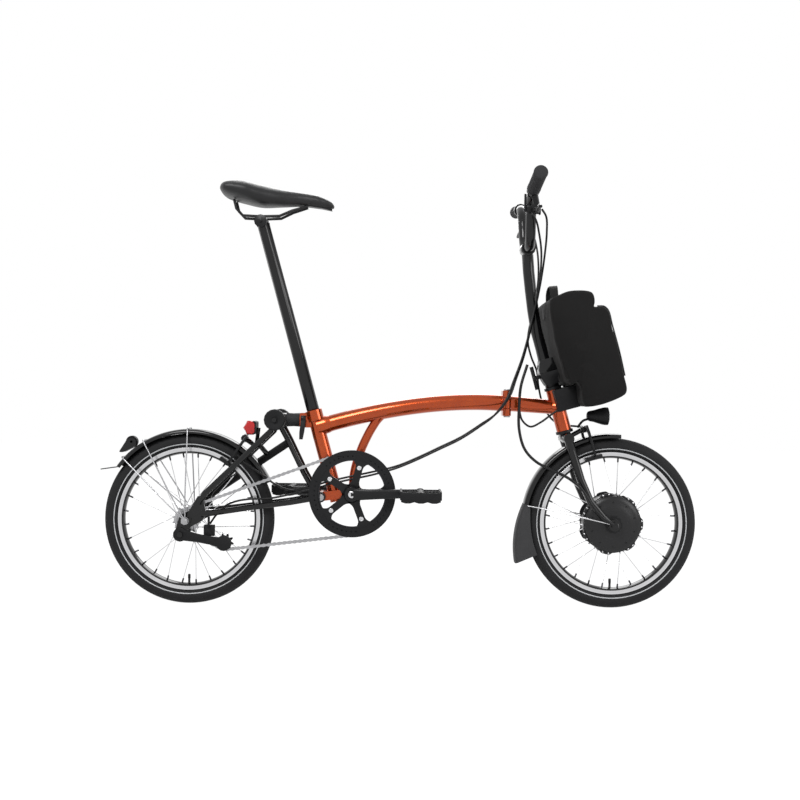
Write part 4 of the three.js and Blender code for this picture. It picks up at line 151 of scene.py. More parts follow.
def smooth_path(points: list, samples: int = 10) -> np.ndarray:
    """Centripetal Catmull-Rom curve through the points, each span blended from its four nearest points.

    Args:
        points: Rows of x, y and z.
        samples: Steps between two points.

    Returns:
        Points along the curve.
    """
    given = np.asarray(points, dtype=float)
    held = np.vstack([2 * given[0] - given[1], given, 2 * given[-1] - given[-2]])
    knots = np.concatenate([[0.0], np.cumsum(np.sqrt(np.linalg.norm(np.diff(held, axis=0), axis=1)))])
    share = np.arange(samples)[:, None] / samples
    t = (knots[1:-2] + (knots[2:-1] - knots[1:-2]) * share)[..., None]
    k = [knots[i:len(knots) - 3 + i][None, :, None] for i in range(4)]
    p = [held[i:len(held) - 3 + i][None] for i in range(4)]

    def mixed(a: np.ndarray, b: np.ndarray, low: np.ndarray, high: np.ndarray) -> np.ndarray:
        """Straight blend of two points between two knots."""
        return (high - t) / (high - low) * a + (t - low) / (high - low) * b

    a1, a2, a3 = mixed(p[0], p[1], k[0], k[1]), mixed(p[1], p[2], k[1], k[2]), mixed(p[2], p[3], k[2], k[3])
    curve = mixed(mixed(a1, a2, k[0], k[2]), mixed(a2, a3, k[1], k[3]), k[1], k[2])
    return np.vstack([curve.transpose(1, 0, 2).reshape(-1, 3), given[-1]])


def carried(path: np.ndarray, sections: np.ndarray, side: np.ndarray = ACROSS, looped: bool = False) -> Shell:
    """Profile carried along a path: first number along the side direction, second square to side and path.

    Args:
        path: Points of the path.
        sections: One section for the whole path, or one for each of its points.
        side: Direction that the first number of a section follows.
        looped: Whether the path is a closed loop.

    Returns:
        The closed surface.
    """
    if looped:
        along = np.roll(path, -1, axis=0) - np.roll(path, 1, axis=0)
    else:
        along = np.gradient(path, axis=0)
    along /= np.linalg.norm(along, axis=1, keepdims=True)
    first = side - along * (along @ side)[:, None]
    first /= np.linalg.norm(first, axis=1, keepdims=True)
    second = np.cross(along, first)
    shapes = np.broadcast_to(sections, (len(path), *np.shape(sections)[-2:]))
    rings = path[:, None] + shapes[..., 0:1] * first[:, None] + shapes[..., 1:2] * second[:, None]
    return skin(rings, looped=looped)


def disc_section(sides: int) -> np.ndarray:
    """Round section of radius one, its points given by cosine and sine."""
    angle = np.arange(sides) * TURN / sides
    return np.stack([np.cos(angle), np.sin(angle)], axis=-1)


def pipe(path: np.ndarray, radius: float | np.ndarray, sides: int = 24, side: np.ndarray = ACROSS) -> Shell:
    """Round bar along a path: cosine and sine of the turn, times the radius, go square to the path.

    Args:
        path: Points of the path.
        radius: One number, or one for each point of the path.
        sides: Number of points round the bar.
        side: Direction that the first point of each ring lies in.

    Returns:
        The closed surface.
    """
    path = np.asarray(path, dtype=float)
    radii = np.broadcast_to(np.asarray(radius, dtype=float), (len(path),))
    return carried(path, disc_section(sides)[None] * radii[:, None, None], side)


def prism(outline: np.ndarray, low: float, high: float, holes: list | tuple = (),
          origin: np.ndarray = np.zeros(3),
          right: np.ndarray = FORWARD, over: np.ndarray = UPRIGHT) -> Shell:
    """Flat plate: an outline with its holes in the plane of two directions, drawn out square to them.

    Args:
        outline: Rows of the two plane numbers.
        low: Start along the cross direction.
        high: End along the cross direction.
        holes: Outlines of openings right through.
        origin: Place of the plane's zero.
        right: First direction of the plane.
        over: Second direction of the plane.

    Returns:
        The closed surface.
    """
    out = np.cross(over, right)
    loops = [np.asarray(outline, dtype=float), *[np.asarray(hole, dtype=float) for hole in holes]]
    flat = np.vstack(loops)
    corners = np.array(tessellate_polygon([[Vector((a, b, 0.0)) for a, b in loop] for loop in loops]))
    base = origin + flat[:, 0:1] * right + flat[:, 1:2] * over
    number = len(flat)
    faces = [corners, corners[:, ::-1] + number]
    start = 0
    for loop in loops:
        here = start + np.arange(len(loop))
        beside = start + (np.arange(len(loop)) + 1) % len(loop)
        faces.append(np.stack([here, beside, beside + number, here + number], axis=-1))
        start += len(loop)
    return Shell(np.vstack([base + out * low, base + out * high]), faces)


def round_outline(centre: tuple, radius: float, steps: int = 24) -> np.ndarray:
    """Circle in a plane, its points given by cosine and sine times the radius."""
    return np.asarray(centre) + disc_section(steps) * radius


def rounded(corners: list, radius: float, steps: int = 5) -> np.ndarray:
    """Outline with each corner replaced by a curve that starts and ends a radius away from it.

    Args:
        corners: Rows of the two plane numbers.
        radius: Length taken off each side of a corner.
        steps: Points on each curve.

    Returns:
        The rounded outline.
    """
    here = np.asarray(corners, dtype=float)
    before, after = np.roll(here, 1, axis=0), np.roll(here, -1, axis=0)
    back = (before - here) / np.linalg.norm(before - here, axis=1, keepdims=True)
    on = (after - here) / np.linalg.norm(after - here, axis=1, keepdims=True)
    shorter = np.minimum(np.linalg.norm(before - here, axis=1), np.linalg.norm(after - here, axis=1))
    reach = np.minimum(radius, 0.45 * shorter)[:, None]
    share = np.linspace(0, 1, steps)[:, None, None]
    start, end = here + back * reach, here + on * reach
    curve = (1 - share) ** 2 * start + 2 * share * (1 - share) * here + share ** 2 * end
    return curve.transpose(1, 0, 2).reshape(-1, 2)


# Objects


def object_from(name: str, shells: list[Shell], finish: "Finish", body: str, bevel: float = 0.0,
                smooth: float = 38.0) -> bpy.types.Object:
    """Puts closed surfaces into one object that rides on a body.

    Args:
        name: Name of the piece.
        shells: Its closed surfaces, in bicycle millimetres.
        finish: What it is made of.
        body: Moving body that carries it.
        bevel: Width of the rounded edges in millimetres, none at zero.
        smooth: Angle in degrees above which an edge stays sharp.

    Returns:
        The finished object.
    """
    starts = np.cumsum([0] + [len(shell.points) for shell in shells])
    points = placed(np.vstack([shell.points for shell in shells]))
    faces = [row for start, shell in zip(starts, shells) for block in shell.faces
             for row in (block + start).tolist()]
    mesh = bpy.data.meshes.new(name)
    mesh.from_pydata(points, [], faces)
    work = bmesh.new()
    work.from_mesh(mesh)
    bmesh.ops.remove_doubles(work, verts=work.verts, dist=1e-6)
    bmesh.ops.recalc_face_normals(work, faces=work.faces)
    work.to_mesh(mesh)
    work.free()
    return dressed(name, mesh, finish, body, bevel, smooth)


def dressed(name: str, mesh: bpy.types.Mesh, finish: "Finish", body: str, bevel: float,
            smooth: float) -> bpy.types.Object:
    """Makes the object of a mesh: material, shading, rounded edges and body.

    Args:
        name: Name of the piece.
        mesh: Its mesh, in metres.
        finish: What it is made of.
        body: Moving body that carries it.
        bevel: Width of the rounded edges in millimetres, none at zero.
        smooth: Angle in degrees above which an edge stays sharp or is rounded off.

    Returns:
        The finished object.
    """
    mesh.shade_smooth()
    piece = bpy.data.objects.new(name, mesh)
    bpy.context.scene.collection.objects.link(piece)
    mesh.materials.append(finish.material())
    if bevel > 0:
        rounding = piece.modifiers.new("Rounded edges", "BEVEL")
        rounding.width = bevel * MILLIMETRE
        rounding.segments = 2
        rounding.limit_method = "ANGLE"
        rounding.angle_limit = math.radians(smooth)
        rounding.harden_normals = True
    else:
        mesh.set_sharp_from_angle(angle=math.radians(smooth))
    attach(piece, body)
    LOG.info("%s: %d faces on %s", name, len(mesh.polygons), body)
    return piece


def softened(node: str, finish: "Finish", body: str, bevel: float = 0.5,
             smooth: float = 40.0) -> bpy.types.Object:
    """Stands for a node with a copy of its mesh: doubles merged, flat faces joined, edges rounded off.

    Args:
        node: Node of the frame, which is hidden.
        finish: What the copy is made of.
        body: Moving body that carries it.
        bevel: Width of the rounded edges in millimetres.
        smooth: Angle in degrees above which an edge is rounded off.

    Returns:
        The finished object.
    """
    mesh = bpy.data.meshes.new(node + "_soft")
    work = bmesh.new()
    work.from_mesh(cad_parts[node].data)
    bmesh.ops.remove_doubles(work, verts=work.verts, dist=2e-6)
    bmesh.ops.dissolve_limit(work, angle_limit=math.radians(0.6), verts=work.verts, edges=work.edges)
    work.to_mesh(mesh)
    work.free()
    piece = dressed(node + "_soft", mesh, finish, body, bevel, smooth)
    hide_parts(node)
    return piece


# Finishes


class Pattern(Enum):
    """What covers a surface when it is looked at closely."""

    FLAKE = "metal flake under lacquer"
    ORANGE_PEEL = "sprayed enamel"
    GRAIN = "moulded grain"
    TURNED = "turned or brushed metal"
    CAST = "cast or machined metal"
    WEAVE = "woven cloth"
    LEATHER = "pressed leather grain"
    RUBBER = "dull rubber"
    GLASS = "clear or coloured lens"


def group_with(name: str, inputs: dict[str, float], outputs: list[str]) -> bpy.types.ShaderNodeTree:
    """Empty node group with a Vector input, number inputs and number outputs.

    Args:
        name: Name of the group.
        inputs: Names of the number inputs and their values.
        outputs: Names of the number outputs.

    Returns:
        The new group.
    """
    tree = bpy.data.node_groups.new(name, "ShaderNodeTree")
    tree.interface.new_socket("Vector", in_out="INPUT", socket_type="NodeSocketVector")
    for label, value in inputs.items():
        tree.interface.new_socket(label, in_out="INPUT", socket_type="NodeSocketFloat").default_value = value
    for label in outputs:
        tree.interface.new_socket(label, in_out="OUTPUT", socket_type="NodeSocketFloat")
    tree.nodes.new("NodeGroupInput")
    tree.nodes.new("NodeGroupOutput")
    return tree


def fed(tree: bpy.types.NodeTree, socket: bpy.types.NodeSocket, value: bpy.types.NodeSocket | float) -> None:
    """Links a socket to an input, or sets the input to a number.

    Args:
        tree: Node tree that holds both.
        socket: The input.
        value: What feeds it.
    """
    if isinstance(value, bpy.types.NodeSocket):
        tree.links.new(value, socket)
    else:
        socket.default_value = value


def maths(tree: bpy.types.NodeTree, operation: str,
          *values: bpy.types.NodeSocket | float) -> bpy.types.NodeSocket:
    """Math node between sockets and numbers.

    Args:
        tree: Node tree that gets the node.
        operation: Blender's name of the operation.
        values: What feeds its inputs, in order.

    Returns:
        The socket of its result.
    """
    node = tree.nodes.new("ShaderNodeMath")
    node.operation = operation
    for socket, value in zip(node.inputs, values):
        fed(tree, socket, value)
    return node.outputs[0]


def noise(tree: bpy.types.NodeTree, vector: bpy.types.NodeSocket, scale: bpy.types.NodeSocket | float,
          detail: float = 3.0) -> bpy.types.NodeSocket:
    """Noise texture.

    Args:
        tree: Node tree that gets the node.
        vector: Place that it is looked up at.
        scale: Cells for each metre.
        detail: Number of finer layers.

    Returns:
        The socket of its value, from 0 to 1.
    """
    node = tree.nodes.new("ShaderNodeTexNoise")
    node.inputs["Detail"].default_value = detail
    tree.links.new(vector, node.inputs["Vector"])
    fed(tree, node.inputs["Scale"], scale)
    return node.outputs["Fac"]


def cells(tree: bpy.types.NodeTree, vector: bpy.types.NodeSocket, scale: bpy.types.NodeSocket | float,
          feature: str = "F1", output: str = "Distance") -> bpy.types.NodeSocket:
    """Texture of cells round scattered points.

    Args:
        tree: Node tree that gets the node.
        vector: Place that it is looked up at.
        scale: Cells for each metre.
        feature: Blender's name of what is measured.
        output: Name of the output that is wanted.

    Returns:
        The socket of that output.
    """
    node = tree.nodes.new("ShaderNodeTexVoronoi")
    node.feature = feature
    tree.links.new(vector, node.inputs["Vector"])
    fed(tree, node.inputs["Scale"], scale)
    return node.outputs[output]


def blended(tree: bpy.types.NodeTree, first: bpy.types.NodeSocket, share: float, second: bpy.types.NodeSocket,
            other: float) -> bpy.types.NodeSocket:
    """Sum of two sockets, each times its share."""
    return maths(tree, "ADD", maths(tree, "MULTIPLY", first, share), maths(tree, "MULTIPLY", second, other))


def wear_group() -> bpy.types.ShaderNodeTree:
    """Handling marks: broad smears and fine scratches, from 0 where clean to 1 where worn.

    Returns:
        The group, built once.
    """
    tree = bpy.data.node_groups.get("Handling marks")
    if tree:
        return tree
    tree = group_with("Handling marks", {"Amount": 0.3}, ["Mask"])
    given, out = tree.nodes["Group Input"], tree.nodes["Group Output"]
    smears = noise(tree, given.outputs["Vector"], 14.0, 4.0)
    stretch = tree.nodes.new("ShaderNodeMapping")
    stretch.inputs["Scale"].default_value = (900.0, 120.0, 160.0)
    stretch.inputs["Rotation"].default_value = (0.4, 0.9, 0.2)
    tree.links.new(given.outputs["Vector"], stretch.inputs["Vector"])
    scratches = maths(tree, "GREATER_THAN", noise(tree, stretch.outputs[0], 1.0, 2.0), 0.66)
    broad = maths(tree, "SUBTRACT", smears, 0.42)
    both = maths(tree, "MAXIMUM", blended(tree, broad, 1.6, scratches, 0.35), 0.0)
    tree.links.new(maths(tree, "MULTIPLY", both, given.outputs["Amount"]), out.inputs["Mask"])
    return tree


def turned_lines(tree: bpy.types.NodeTree, vector: bpy.types.NodeSocket,
                 scale: bpy.types.NodeSocket) -> bpy.types.NodeSocket:
    """Fine rings of a turned surface: noise over the distance from the axis and the place along it.

    Args:
        tree: Node tree that gets the nodes.
        vector: Place, measured from the axis.
        scale: Lines for each metre.

    Returns:
        The socket of the value, from 0 to 1.
    """
    parts = tree.nodes.new("ShaderNodeSeparateXYZ")
    tree.links.new(vector, parts.inputs[0])
    square = maths(tree, "ADD", maths(tree, "MULTIPLY", parts.outputs[0], parts.outputs[0]),
                   maths(tree, "MULTIPLY", parts.outputs[2], parts.outputs[2]))
    joined = tree.nodes.new("ShaderNodeCombineXYZ")
    tree.links.new(maths(tree, "SQRT", square), joined.inputs[0])
    tree.links.new(parts.outputs[1], joined.inputs[1])
    lines = tree.nodes.new("ShaderNodeTexNoise")
    lines.noise_dimensions = "2D"
    lines.inputs["Detail"].default_value = 5.0
    tree.links.new(scale, lines.inputs["Scale"])
    tree.links.new(joined.outputs[0], lines.inputs["Vector"])
    return lines.outputs["Fac"]


def woven(tree: bpy.types.NodeTree, vector: bpy.types.NodeSocket,
          scale: bpy.types.NodeSocket) -> bpy.types.NodeSocket:
    """Threads: a sixth of the sum of three sines, one along each direction, about one half.

    Args:
        tree: Node tree that gets the nodes.
        vector: Place on the cloth.
        scale: Radians for each metre.

    Returns:
        The socket of the value, from 0 to 1.
    """
    parts = tree.nodes.new("ShaderNodeSeparateXYZ")
    tree.links.new(vector, parts.inputs[0])
    waves = [maths(tree, "SINE", maths(tree, "MULTIPLY", parts.outputs[i], scale)) for i in range(3)]
    total = maths(tree, "ADD", maths(tree, "ADD", waves[0], waves[1]), waves[2])
    return maths(tree, "MULTIPLY_ADD", total, 0.166, 0.5)


def pattern_group(pattern: Pattern) -> bpy.types.ShaderNodeTree:
    """Node group of a pattern: its Tone and Height go from 0 to 1 over the surface.

    Args:
        pattern: Which pattern.

    Returns:
        The group, built once.
    """
    tree = bpy.data.node_groups.get(pattern.value)
    if tree:
        return tree
    tree = group_with(pattern.value, {"Scale": 1000.0}, ["Tone", "Height"])
    given, out = tree.nodes["Group Input"], tree.nodes["Group Output"]
    vector, scale = given.outputs["Vector"], given.outputs["Scale"]
    slow = noise(tree, vector, 22.0, 3.0)
    if pattern is Pattern.FLAKE:
        flake = tree.nodes.new("ShaderNodeSeparateColor")
        tree.links.new(cells(tree, vector, scale, output="Color"), flake.inputs[0])
        tone = blended(tree, flake.outputs[0], 0.55, slow, 0.45)
        height = noise(tree, vector, maths(tree, "MULTIPLY", scale, 0.12), 1.0)
    elif pattern in (Pattern.ORANGE_PEEL, Pattern.GLASS):
        tone = slow
        height = noise(tree, vector, scale, 1.5)
    elif pattern is Pattern.GRAIN:
        height = cells(tree, vector, scale, "SMOOTH_F1")
        tone = blended(tree, slow, 0.6, height, 0.6)
    elif pattern is Pattern.TURNED:
        height = turned_lines(tree, vector, scale)
        tone = blended(tree, height, 0.7, slow, 0.3)
    elif pattern is Pattern.WEAVE:
        height = woven(tree, vector, scale)
        tone = blended(tree, height, 0.5, slow, 0.5)
    elif pattern is Pattern.LEATHER:
        creases = cells(tree, vector, scale, "DISTANCE_TO_EDGE")
        height = maths(tree, "MINIMUM", maths(tree, "MULTIPLY", creases, 4.0), 1.0)
        tone = blended(tree, height, 0.4, slow, 0.6)
    else:
        height = noise(tree, vector, scale, 6.0)
        tone = blended(tree, height, 0.5, slow, 0.5)
    tree.links.new(tone, out.inputs["Tone"])
    tree.links.new(height, out.inputs["Height"])
    return tree


@dataclass(frozen=True)
class Finish:
    """What a piece is made of: two colours that its pattern blends, and how it shines."""

    name: str
    slot: str
    pattern: Pattern
    deep: tuple[float, float, float]
    bright: tuple[float, float, float]
    roughness: tuple[float, float]
    scale: float
    bump: float
    metallic: float = 0.0
    coat: float = 0.0
    coat_roughness: float = 0.05
    sheen: float = 0.0
    specular: float = 0.25
    wear: float = 0.25
    clear: float = 0.0
    middle: tuple[float, float, float] = (0.0, 0.0, 0.0)

    def material(self) -> bpy.types.Material:
        """Material of this finish: the pattern's tone blends its colours and, with the marks, its roughness.

        Returns:
            The material, made at its first use.
        """
        made = bpy.data.materials.get(self.name)
        if made:
            return made
        made = bpy.data.materials.new(self.name)
        made.use_nodes = True
        tree = made.node_tree
        shader = tree.nodes["Principled BSDF"]
        shader.inputs["Metallic"].default_value = self.metallic
        shader.inputs["Coat Weight"].default_value = self.coat
        shader.inputs["Coat Roughness"].default_value = self.coat_roughness
        shader.inputs["Sheen Weight"].default_value = self.sheen
        shader.inputs["Specular IOR Level"].default_value = self.specular
        shader.inputs["Transmission Weight"].default_value = self.clear
        place = tree.nodes.new("ShaderNodeTexCoord")
        shift = tree.nodes.new("ShaderNodeMapping")
        shift.inputs["Location"].default_value = tuple(-v for v in self.middle)
        tree.links.new(place.outputs["Object"], shift.inputs["Vector"])
        pattern = tree.nodes.new("ShaderNodeGroup")
        pattern.node_tree = pattern_group(self.pattern)
        pattern.inputs["Scale"].default_value = self.scale
        tree.links.new(shift.outputs[0], pattern.inputs["Vector"])
        marks = tree.nodes.new("ShaderNodeGroup")
        marks.node_tree = wear_group()
        marks.inputs["Amount"].default_value = self.wear
        tree.links.new(shift.outputs[0], marks.inputs["Vector"])
        blend = tree.nodes.new("ShaderNodeMix")
        blend.data_type = "RGBA"
        blend.inputs["A"].default_value = (*self.deep, 1.0)
        blend.inputs["B"].default_value = (*self.bright, 1.0)
        tree.links.new(pattern.outputs["Tone"], blend.inputs["Factor"])
        tree.links.new(blend.outputs["Result"], shader.inputs["Base Color"])
        spread = tree.nodes.new("ShaderNodeMapRange")
        spread.inputs["To Min"].default_value, spread.inputs["To Max"].default_value = self.roughness
        dull = maths(tree, "ADD", maths(tree, "MULTIPLY", pattern.outputs["Tone"], 0.6),
                     marks.outputs["Mask"])
        tree.links.new(dull, spread.inputs["Value"])
        tree.links.new(spread.outputs[0], shader.inputs["Roughness"])
        relief = tree.nodes.new("ShaderNodeBump")
        relief.inputs["Strength"].default_value = self.bump
        relief.inputs["Distance"].default_value = 0.4 * MILLIMETRE
        tree.links.new(pattern.outputs["Height"], relief.inputs["Height"])
        tree.links.new(relief.outputs[0], shader.inputs["Normal"])
        return made


LACQUER = Finish("Orange lacquer", "lacquer", Pattern.FLAKE, deep=(0.22, 0.020, 0.004),
                 bright=(0.52, 0.082, 0.010), roughness=(0.14, 0.32), scale=1500.0, bump=0.04,
                 metallic=0.86, coat=0.5, coat_roughness=0.04, wear=0.15)
ENAMEL = Finish("Black enamel", "black_enamel", Pattern.ORANGE_PEEL, deep=(0.0025, 0.0025, 0.0028),
                bright=(0.006, 0.006, 0.0065), roughness=(0.07, 0.22), scale=260.0, bump=0.03, coat=0.12,
                specular=0.28, wear=0.2)
SATIN = Finish("Satin black metal", "black_enamel", Pattern.CAST, deep=(0.004, 0.004, 0.0045),
               bright=(0.011, 0.011, 0.012), roughness=(0.28, 0.46), scale=900.0, bump=0.1, specular=0.22)
PLASTIC = Finish("Black moulding", "black_plastic", Pattern.GRAIN, deep=(0.004, 0.004, 0.0045),
                 bright=(0.010, 0.010, 0.011), roughness=(0.42, 0.66), scale=1300.0, bump=0.2, specular=0.2)
GRIP = Finish("Grip rubber", "grip_rubber", Pattern.GRAIN, deep=(0.014, 0.014, 0.015),
              bright=(0.032, 0.032, 0.034), roughness=(0.6, 0.82), scale=800.0, bump=0.5, specular=0.2)
TYRE = Finish("Tyre rubber", "tyre", Pattern.RUBBER, deep=(0.007, 0.007, 0.0075),
              bright=(0.018, 0.018, 0.019), roughness=(0.62, 0.86), scale=700.0, bump=0.4, specular=0.2,
              wear=0.5)
ALLOY = Finish("Bright alloy", "alloy", Pattern.TURNED, deep=(0.50, 0.50, 0.51), bright=(0.74, 0.74, 0.75),
               roughness=(0.16, 0.36), scale=1400.0, bump=0.08, metallic=1.0)
REAR_TRACK = Finish("Rear braking track", "alloy", Pattern.TURNED, deep=(0.34, 0.34, 0.35),
                    bright=(0.80, 0.80, 0.81), roughness=(0.18, 0.4), scale=1400.0, bump=0.12, metallic=1.0,
                    middle=(-0.516, 0.0, 0.21))
FRONT_TRACK = Finish("Front braking track", "alloy", Pattern.TURNED, deep=(0.34, 0.34, 0.35),
                     bright=(0.80, 0.80, 0.81), roughness=(0.18, 0.4), scale=1400.0, bump=0.12,
                     metallic=1.0, middle=(0.526, 0.0, 0.21))
STEEL = Finish("Plated steel", "steel", Pattern.CAST, deep=(0.24, 0.24, 0.25), bright=(0.52, 0.52, 0.53),
               roughness=(0.2, 0.42), scale=1200.0, bump=0.08, metallic=1.0)
DARK_STEEL = Finish("Dark hardened steel", "steel", Pattern.CAST, deep=(0.02, 0.02, 0.022),
                    bright=(0.06, 0.06, 0.065), roughness=(0.28, 0.5), scale=1100.0, bump=0.1, metallic=0.9)
MOTOR = Finish("Motor casting", "black_enamel", Pattern.TURNED, deep=(0.005, 0.005, 0.0055),
               bright=(0.016, 0.016, 0.017), roughness=(0.26, 0.44), scale=600.0, bump=0.1, specular=0.3,
               middle=(0.526, 0.0, 0.21))
CLOTH = Finish("Black bag cloth", "black_fabric", Pattern.WEAVE, deep=(0.004, 0.004, 0.004),
               bright=(0.012, 0.0115, 0.0115), roughness=(0.72, 0.94), scale=4200.0, bump=0.5, sheen=0.03,
               specular=0.12, wear=0.1)
PIPING = Finish("Bag webbing", "black_fabric", Pattern.WEAVE, deep=(0.005, 0.005, 0.005),
                bright=(0.016, 0.0155, 0.0155), roughness=(0.6, 0.85), scale=3000.0, bump=0.6, sheen=0.03,
                specular=0.15)
LEATHER = Finish("Saddle cover", "saddle_cover", Pattern.LEATHER, deep=(0.007, 0.007, 0.0075),
                 bright=(0.018, 0.018, 0.019), roughness=(0.30, 0.52), scale=620.0, bump=0.25, specular=0.3,
                 wear=0.35)
CABLE = Finish("Cable outer", "cable_outer", Pattern.ORANGE_PEEL, deep=(0.004, 0.004, 0.0045),
               bright=(0.009, 0.009, 0.0095), roughness=(0.28, 0.46), scale=500.0, bump=0.1, specular=0.25)
LENS = Finish("Lamp lens", "lamp", Pattern.GLASS, deep=(0.90, 0.92, 0.93), bright=(0.97, 0.98, 0.98),
              roughness=(0.02, 0.09), scale=300.0, bump=0.05, clear=1.0, specular=0.5)
REFLECTOR = Finish("Lamp mirror", "lamp", Pattern.CAST, deep=(0.70, 0.70, 0.68), bright=(0.86, 0.86, 0.84),
                   roughness=(0.06, 0.16), scale=500.0, bump=0.05, metallic=1.0)
RED_LENS = Finish("Red lens", "red_lens", Pattern.GLASS, deep=(0.34, 0.004, 0.005),
                  bright=(0.60, 0.010, 0.011), roughness=(0.05, 0.14), scale=400.0, bump=0.12, coat=0.5)
STRIP = Finish("Reflecting strip", "tyre", Pattern.GRAIN, deep=(0.34, 0.35, 0.36),
               bright=(0.56, 0.57, 0.58), roughness=(0.4, 0.6), scale=1500.0, bump=0.1)
FLAP = Finish("Flap rubber", "black_plastic", Pattern.GRAIN, deep=(0.022, 0.022, 0.023),
              bright=(0.046, 0.046, 0.048), roughness=(0.5, 0.72), scale=900.0, bump=0.2, specular=0.2)


# Wheels


@dataclass
class Wheel:
    """Tyre, rim, spokes, nipples and valve on one axle."""

    name: str
    body: str
    axle: np.ndarray
    track: Finish
    flange_radius: float
    flange_offset: float
    lacing: float
    rim_edge: float = 161.0
    spokes_each_side: int = 14
    spoke_radius: float = 1.1
    flange_half: float = 2.9
    rim_spread: float = 3.5
    tread_edge: float = 198.0
    slit_depth: float = 1.2
    slit_slant: float = 0.09
    slit_share: float = 0.2
    slit_inner: float = 3.4
    slit_outer: float = 15.5
    groove_depth: float = 0.9
    groove_place: float = 2.4
    groove_half: float = 1.1
    casing: list[tuple[float, float]] = field(default_factory=lambda: [
        (171.4, 10.1), (176.2, 10.1), (178.2, 12.6), (182.0, 16.0), (187.0, 18.1), (192.0, 18.4),
        (197.5, 17.2), (202.0, 14.6), (205.6, 11.0), (208.2, 6.6), (209.6, 2.6), (210.0, 0.0)])

    def tyre(self) -> None:
        """Casing: radius and width follow the profile, with slanting slits and two grooves.

        The radius loses the slit depth where the turn number plus a share of the width is in the first
        share of a pitch, and the groove depth along two lines near the middle.
        """
        half = np.array(self.casing)
        spread = smooth_path([[r, y, 0] for r, y in half[1:]], 3)[:, :2]
        upper = np.vstack([half[:1], spread])
        loop = np.vstack([upper, (upper * [1, -1])[::-1][1:]])
        steps, pitches = 576, 72
        angle = np.arange(steps)[:, None] * TURN / steps
        radius, across = np.broadcast_to(loop[:, 0], (steps, len(loop))), loop[:, 1][None]
        aside, tread = np.abs(across), radius > self.tread_edge
        turn_number = np.mod(angle * pitches / TURN + aside * self.slit_slant, 1.0)
        slit = (turn_number < self.slit_share) & (aside > self.slit_inner) & (aside < self.slit_outer) & tread
        groove = (np.abs(aside - self.groove_place) < self.groove_half) & tread
        radius = radius - self.slit_depth * slit - self.groove_depth * groove
        points = self.axle + np.stack([radius * np.cos(angle), np.broadcast_to(across, radius.shape),
                                       radius * np.sin(angle)], axis=-1)
        piece = object_from(f"{self.name}_tyre_tread", [skin(points, looped=True)], TYRE, self.body,
                            smooth=50)
        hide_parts(f"{self.name}_tyre")
        strips = [spun([(183.0, s * 16.75), (185.2, s * 17.45), (185.0, s * 17.75), (182.8, s * 17.05)],
                       self.axle, steps=160, hollow=True)
                  for s in (1, -1)]
        object_from(f"{self.name}_tyre_strip", strips, STRIP, self.body)

    def rim(self) -> None:
        """Black rim with its pale braking tracks, both turned about the axle."""
        well = [(162.6, 12.5), (161.2, 9.0), (160.3, 4.5), (160.0, 0.0), (160.3, -4.5), (161.2, -9.0),
                (162.6, -12.5), (166.4, -12.5), (166.4, 12.5)]
        track = [(166.4, 12.5), (175.4, 12.5), (176.0, 12.1), (176.0, 10.9), (175.4, 10.5), (171.0, 10.5),
                 (171.0, -10.5), (175.4, -10.5), (176.0, -10.9), (176.0, -12.1), (175.4, -12.5),
                 (166.4, -12.5)]
        piece = object_from(f"{self.name}_rim_well", [spun(well, self.axle, steps=160, hollow=True)], ENAMEL,
                            self.body)
        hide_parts(f"{self.name}_rim")
        object_from(f"{self.name}_rim_track", [spun(track, self.axle, steps=160, hollow=True)], self.track,
                    self.body, smooth=25)

    def laced(self) -> None:
        """Spokes from each flange in turn, each with a nipple at the rim and a hooked head at the hub."""
        count = self.spokes_each_side
        wires, nipples, heads = [], [], []
        for side in (1, -1):
            number = np.arange(count)
            rim_angle = TURN * (number + (0.25 if side > 0 else 0.75)) / count
            leaning = np.where(number % 2 == 0, 1, -1)
            hub_angle = rim_angle + leaning * self.lacing
            out = leaning * self.flange_half

            def ring_at(angle: np.ndarray, radius: float, across: np.ndarray) -> np.ndarray:
                """Places round the axle: cosine and sine of the angle times the radius."""
                return self.axle + np.stack([radius * np.cos(angle), across, radius * np.sin(angle)], axis=-1)

            starts = ring_at(hub_angle, self.flange_radius - 3, side * (self.flange_offset + out))
            ends = ring_at(rim_angle, self.rim_edge, side * (self.rim_spread + out / 2))
            for start, end, lean in zip(starts, ends, leaning):
                inward = (start - end) / np.linalg.norm(start - end)
                wires.append(pipe(np.array([start, end]), self.spoke_radius, 8))
                nipples.append(spun([(2.1, 0), (2.1, 9), (1.5, 11)], end - inward * 0.5, inward, 8))
                heads.append(spun([(0.6, -2.2), (2.0, -1.6), (2.2, 0), (2.0, 1.2)], start,
                                  ACROSS * side * lean, 8))
        object_from(f"{self.name}_spokes", wires, ALLOY, self.body)
        object_from(f"{self.name}_nipples", nipples, DARK_STEEL, self.body)
        object_from(f"{self.name}_spoke_heads", heads, STEEL, self.body)

    def valve(self) -> None:
        """Valve stem with its cap, standing in from the rim at the lowest place."""
        low = self.axle - UPRIGHT * (self.rim_edge + 1)
        stem = [(4.2, -1), (4.2, 1.5), (3.0, 3), (2.8, 12), (3.2, 12.5), (3.4, 21), (2.6, 23.5), (1.0, 24)]
        object_from(f"{self.name}_valve", [spun(stem, low, UPRIGHT, 16)], CABLE, self.body)

    def build(self) -> None:
        """Makes the whole wheel."""
        self.tyre()
        self.rim()
        self.laced()
        self.valve()


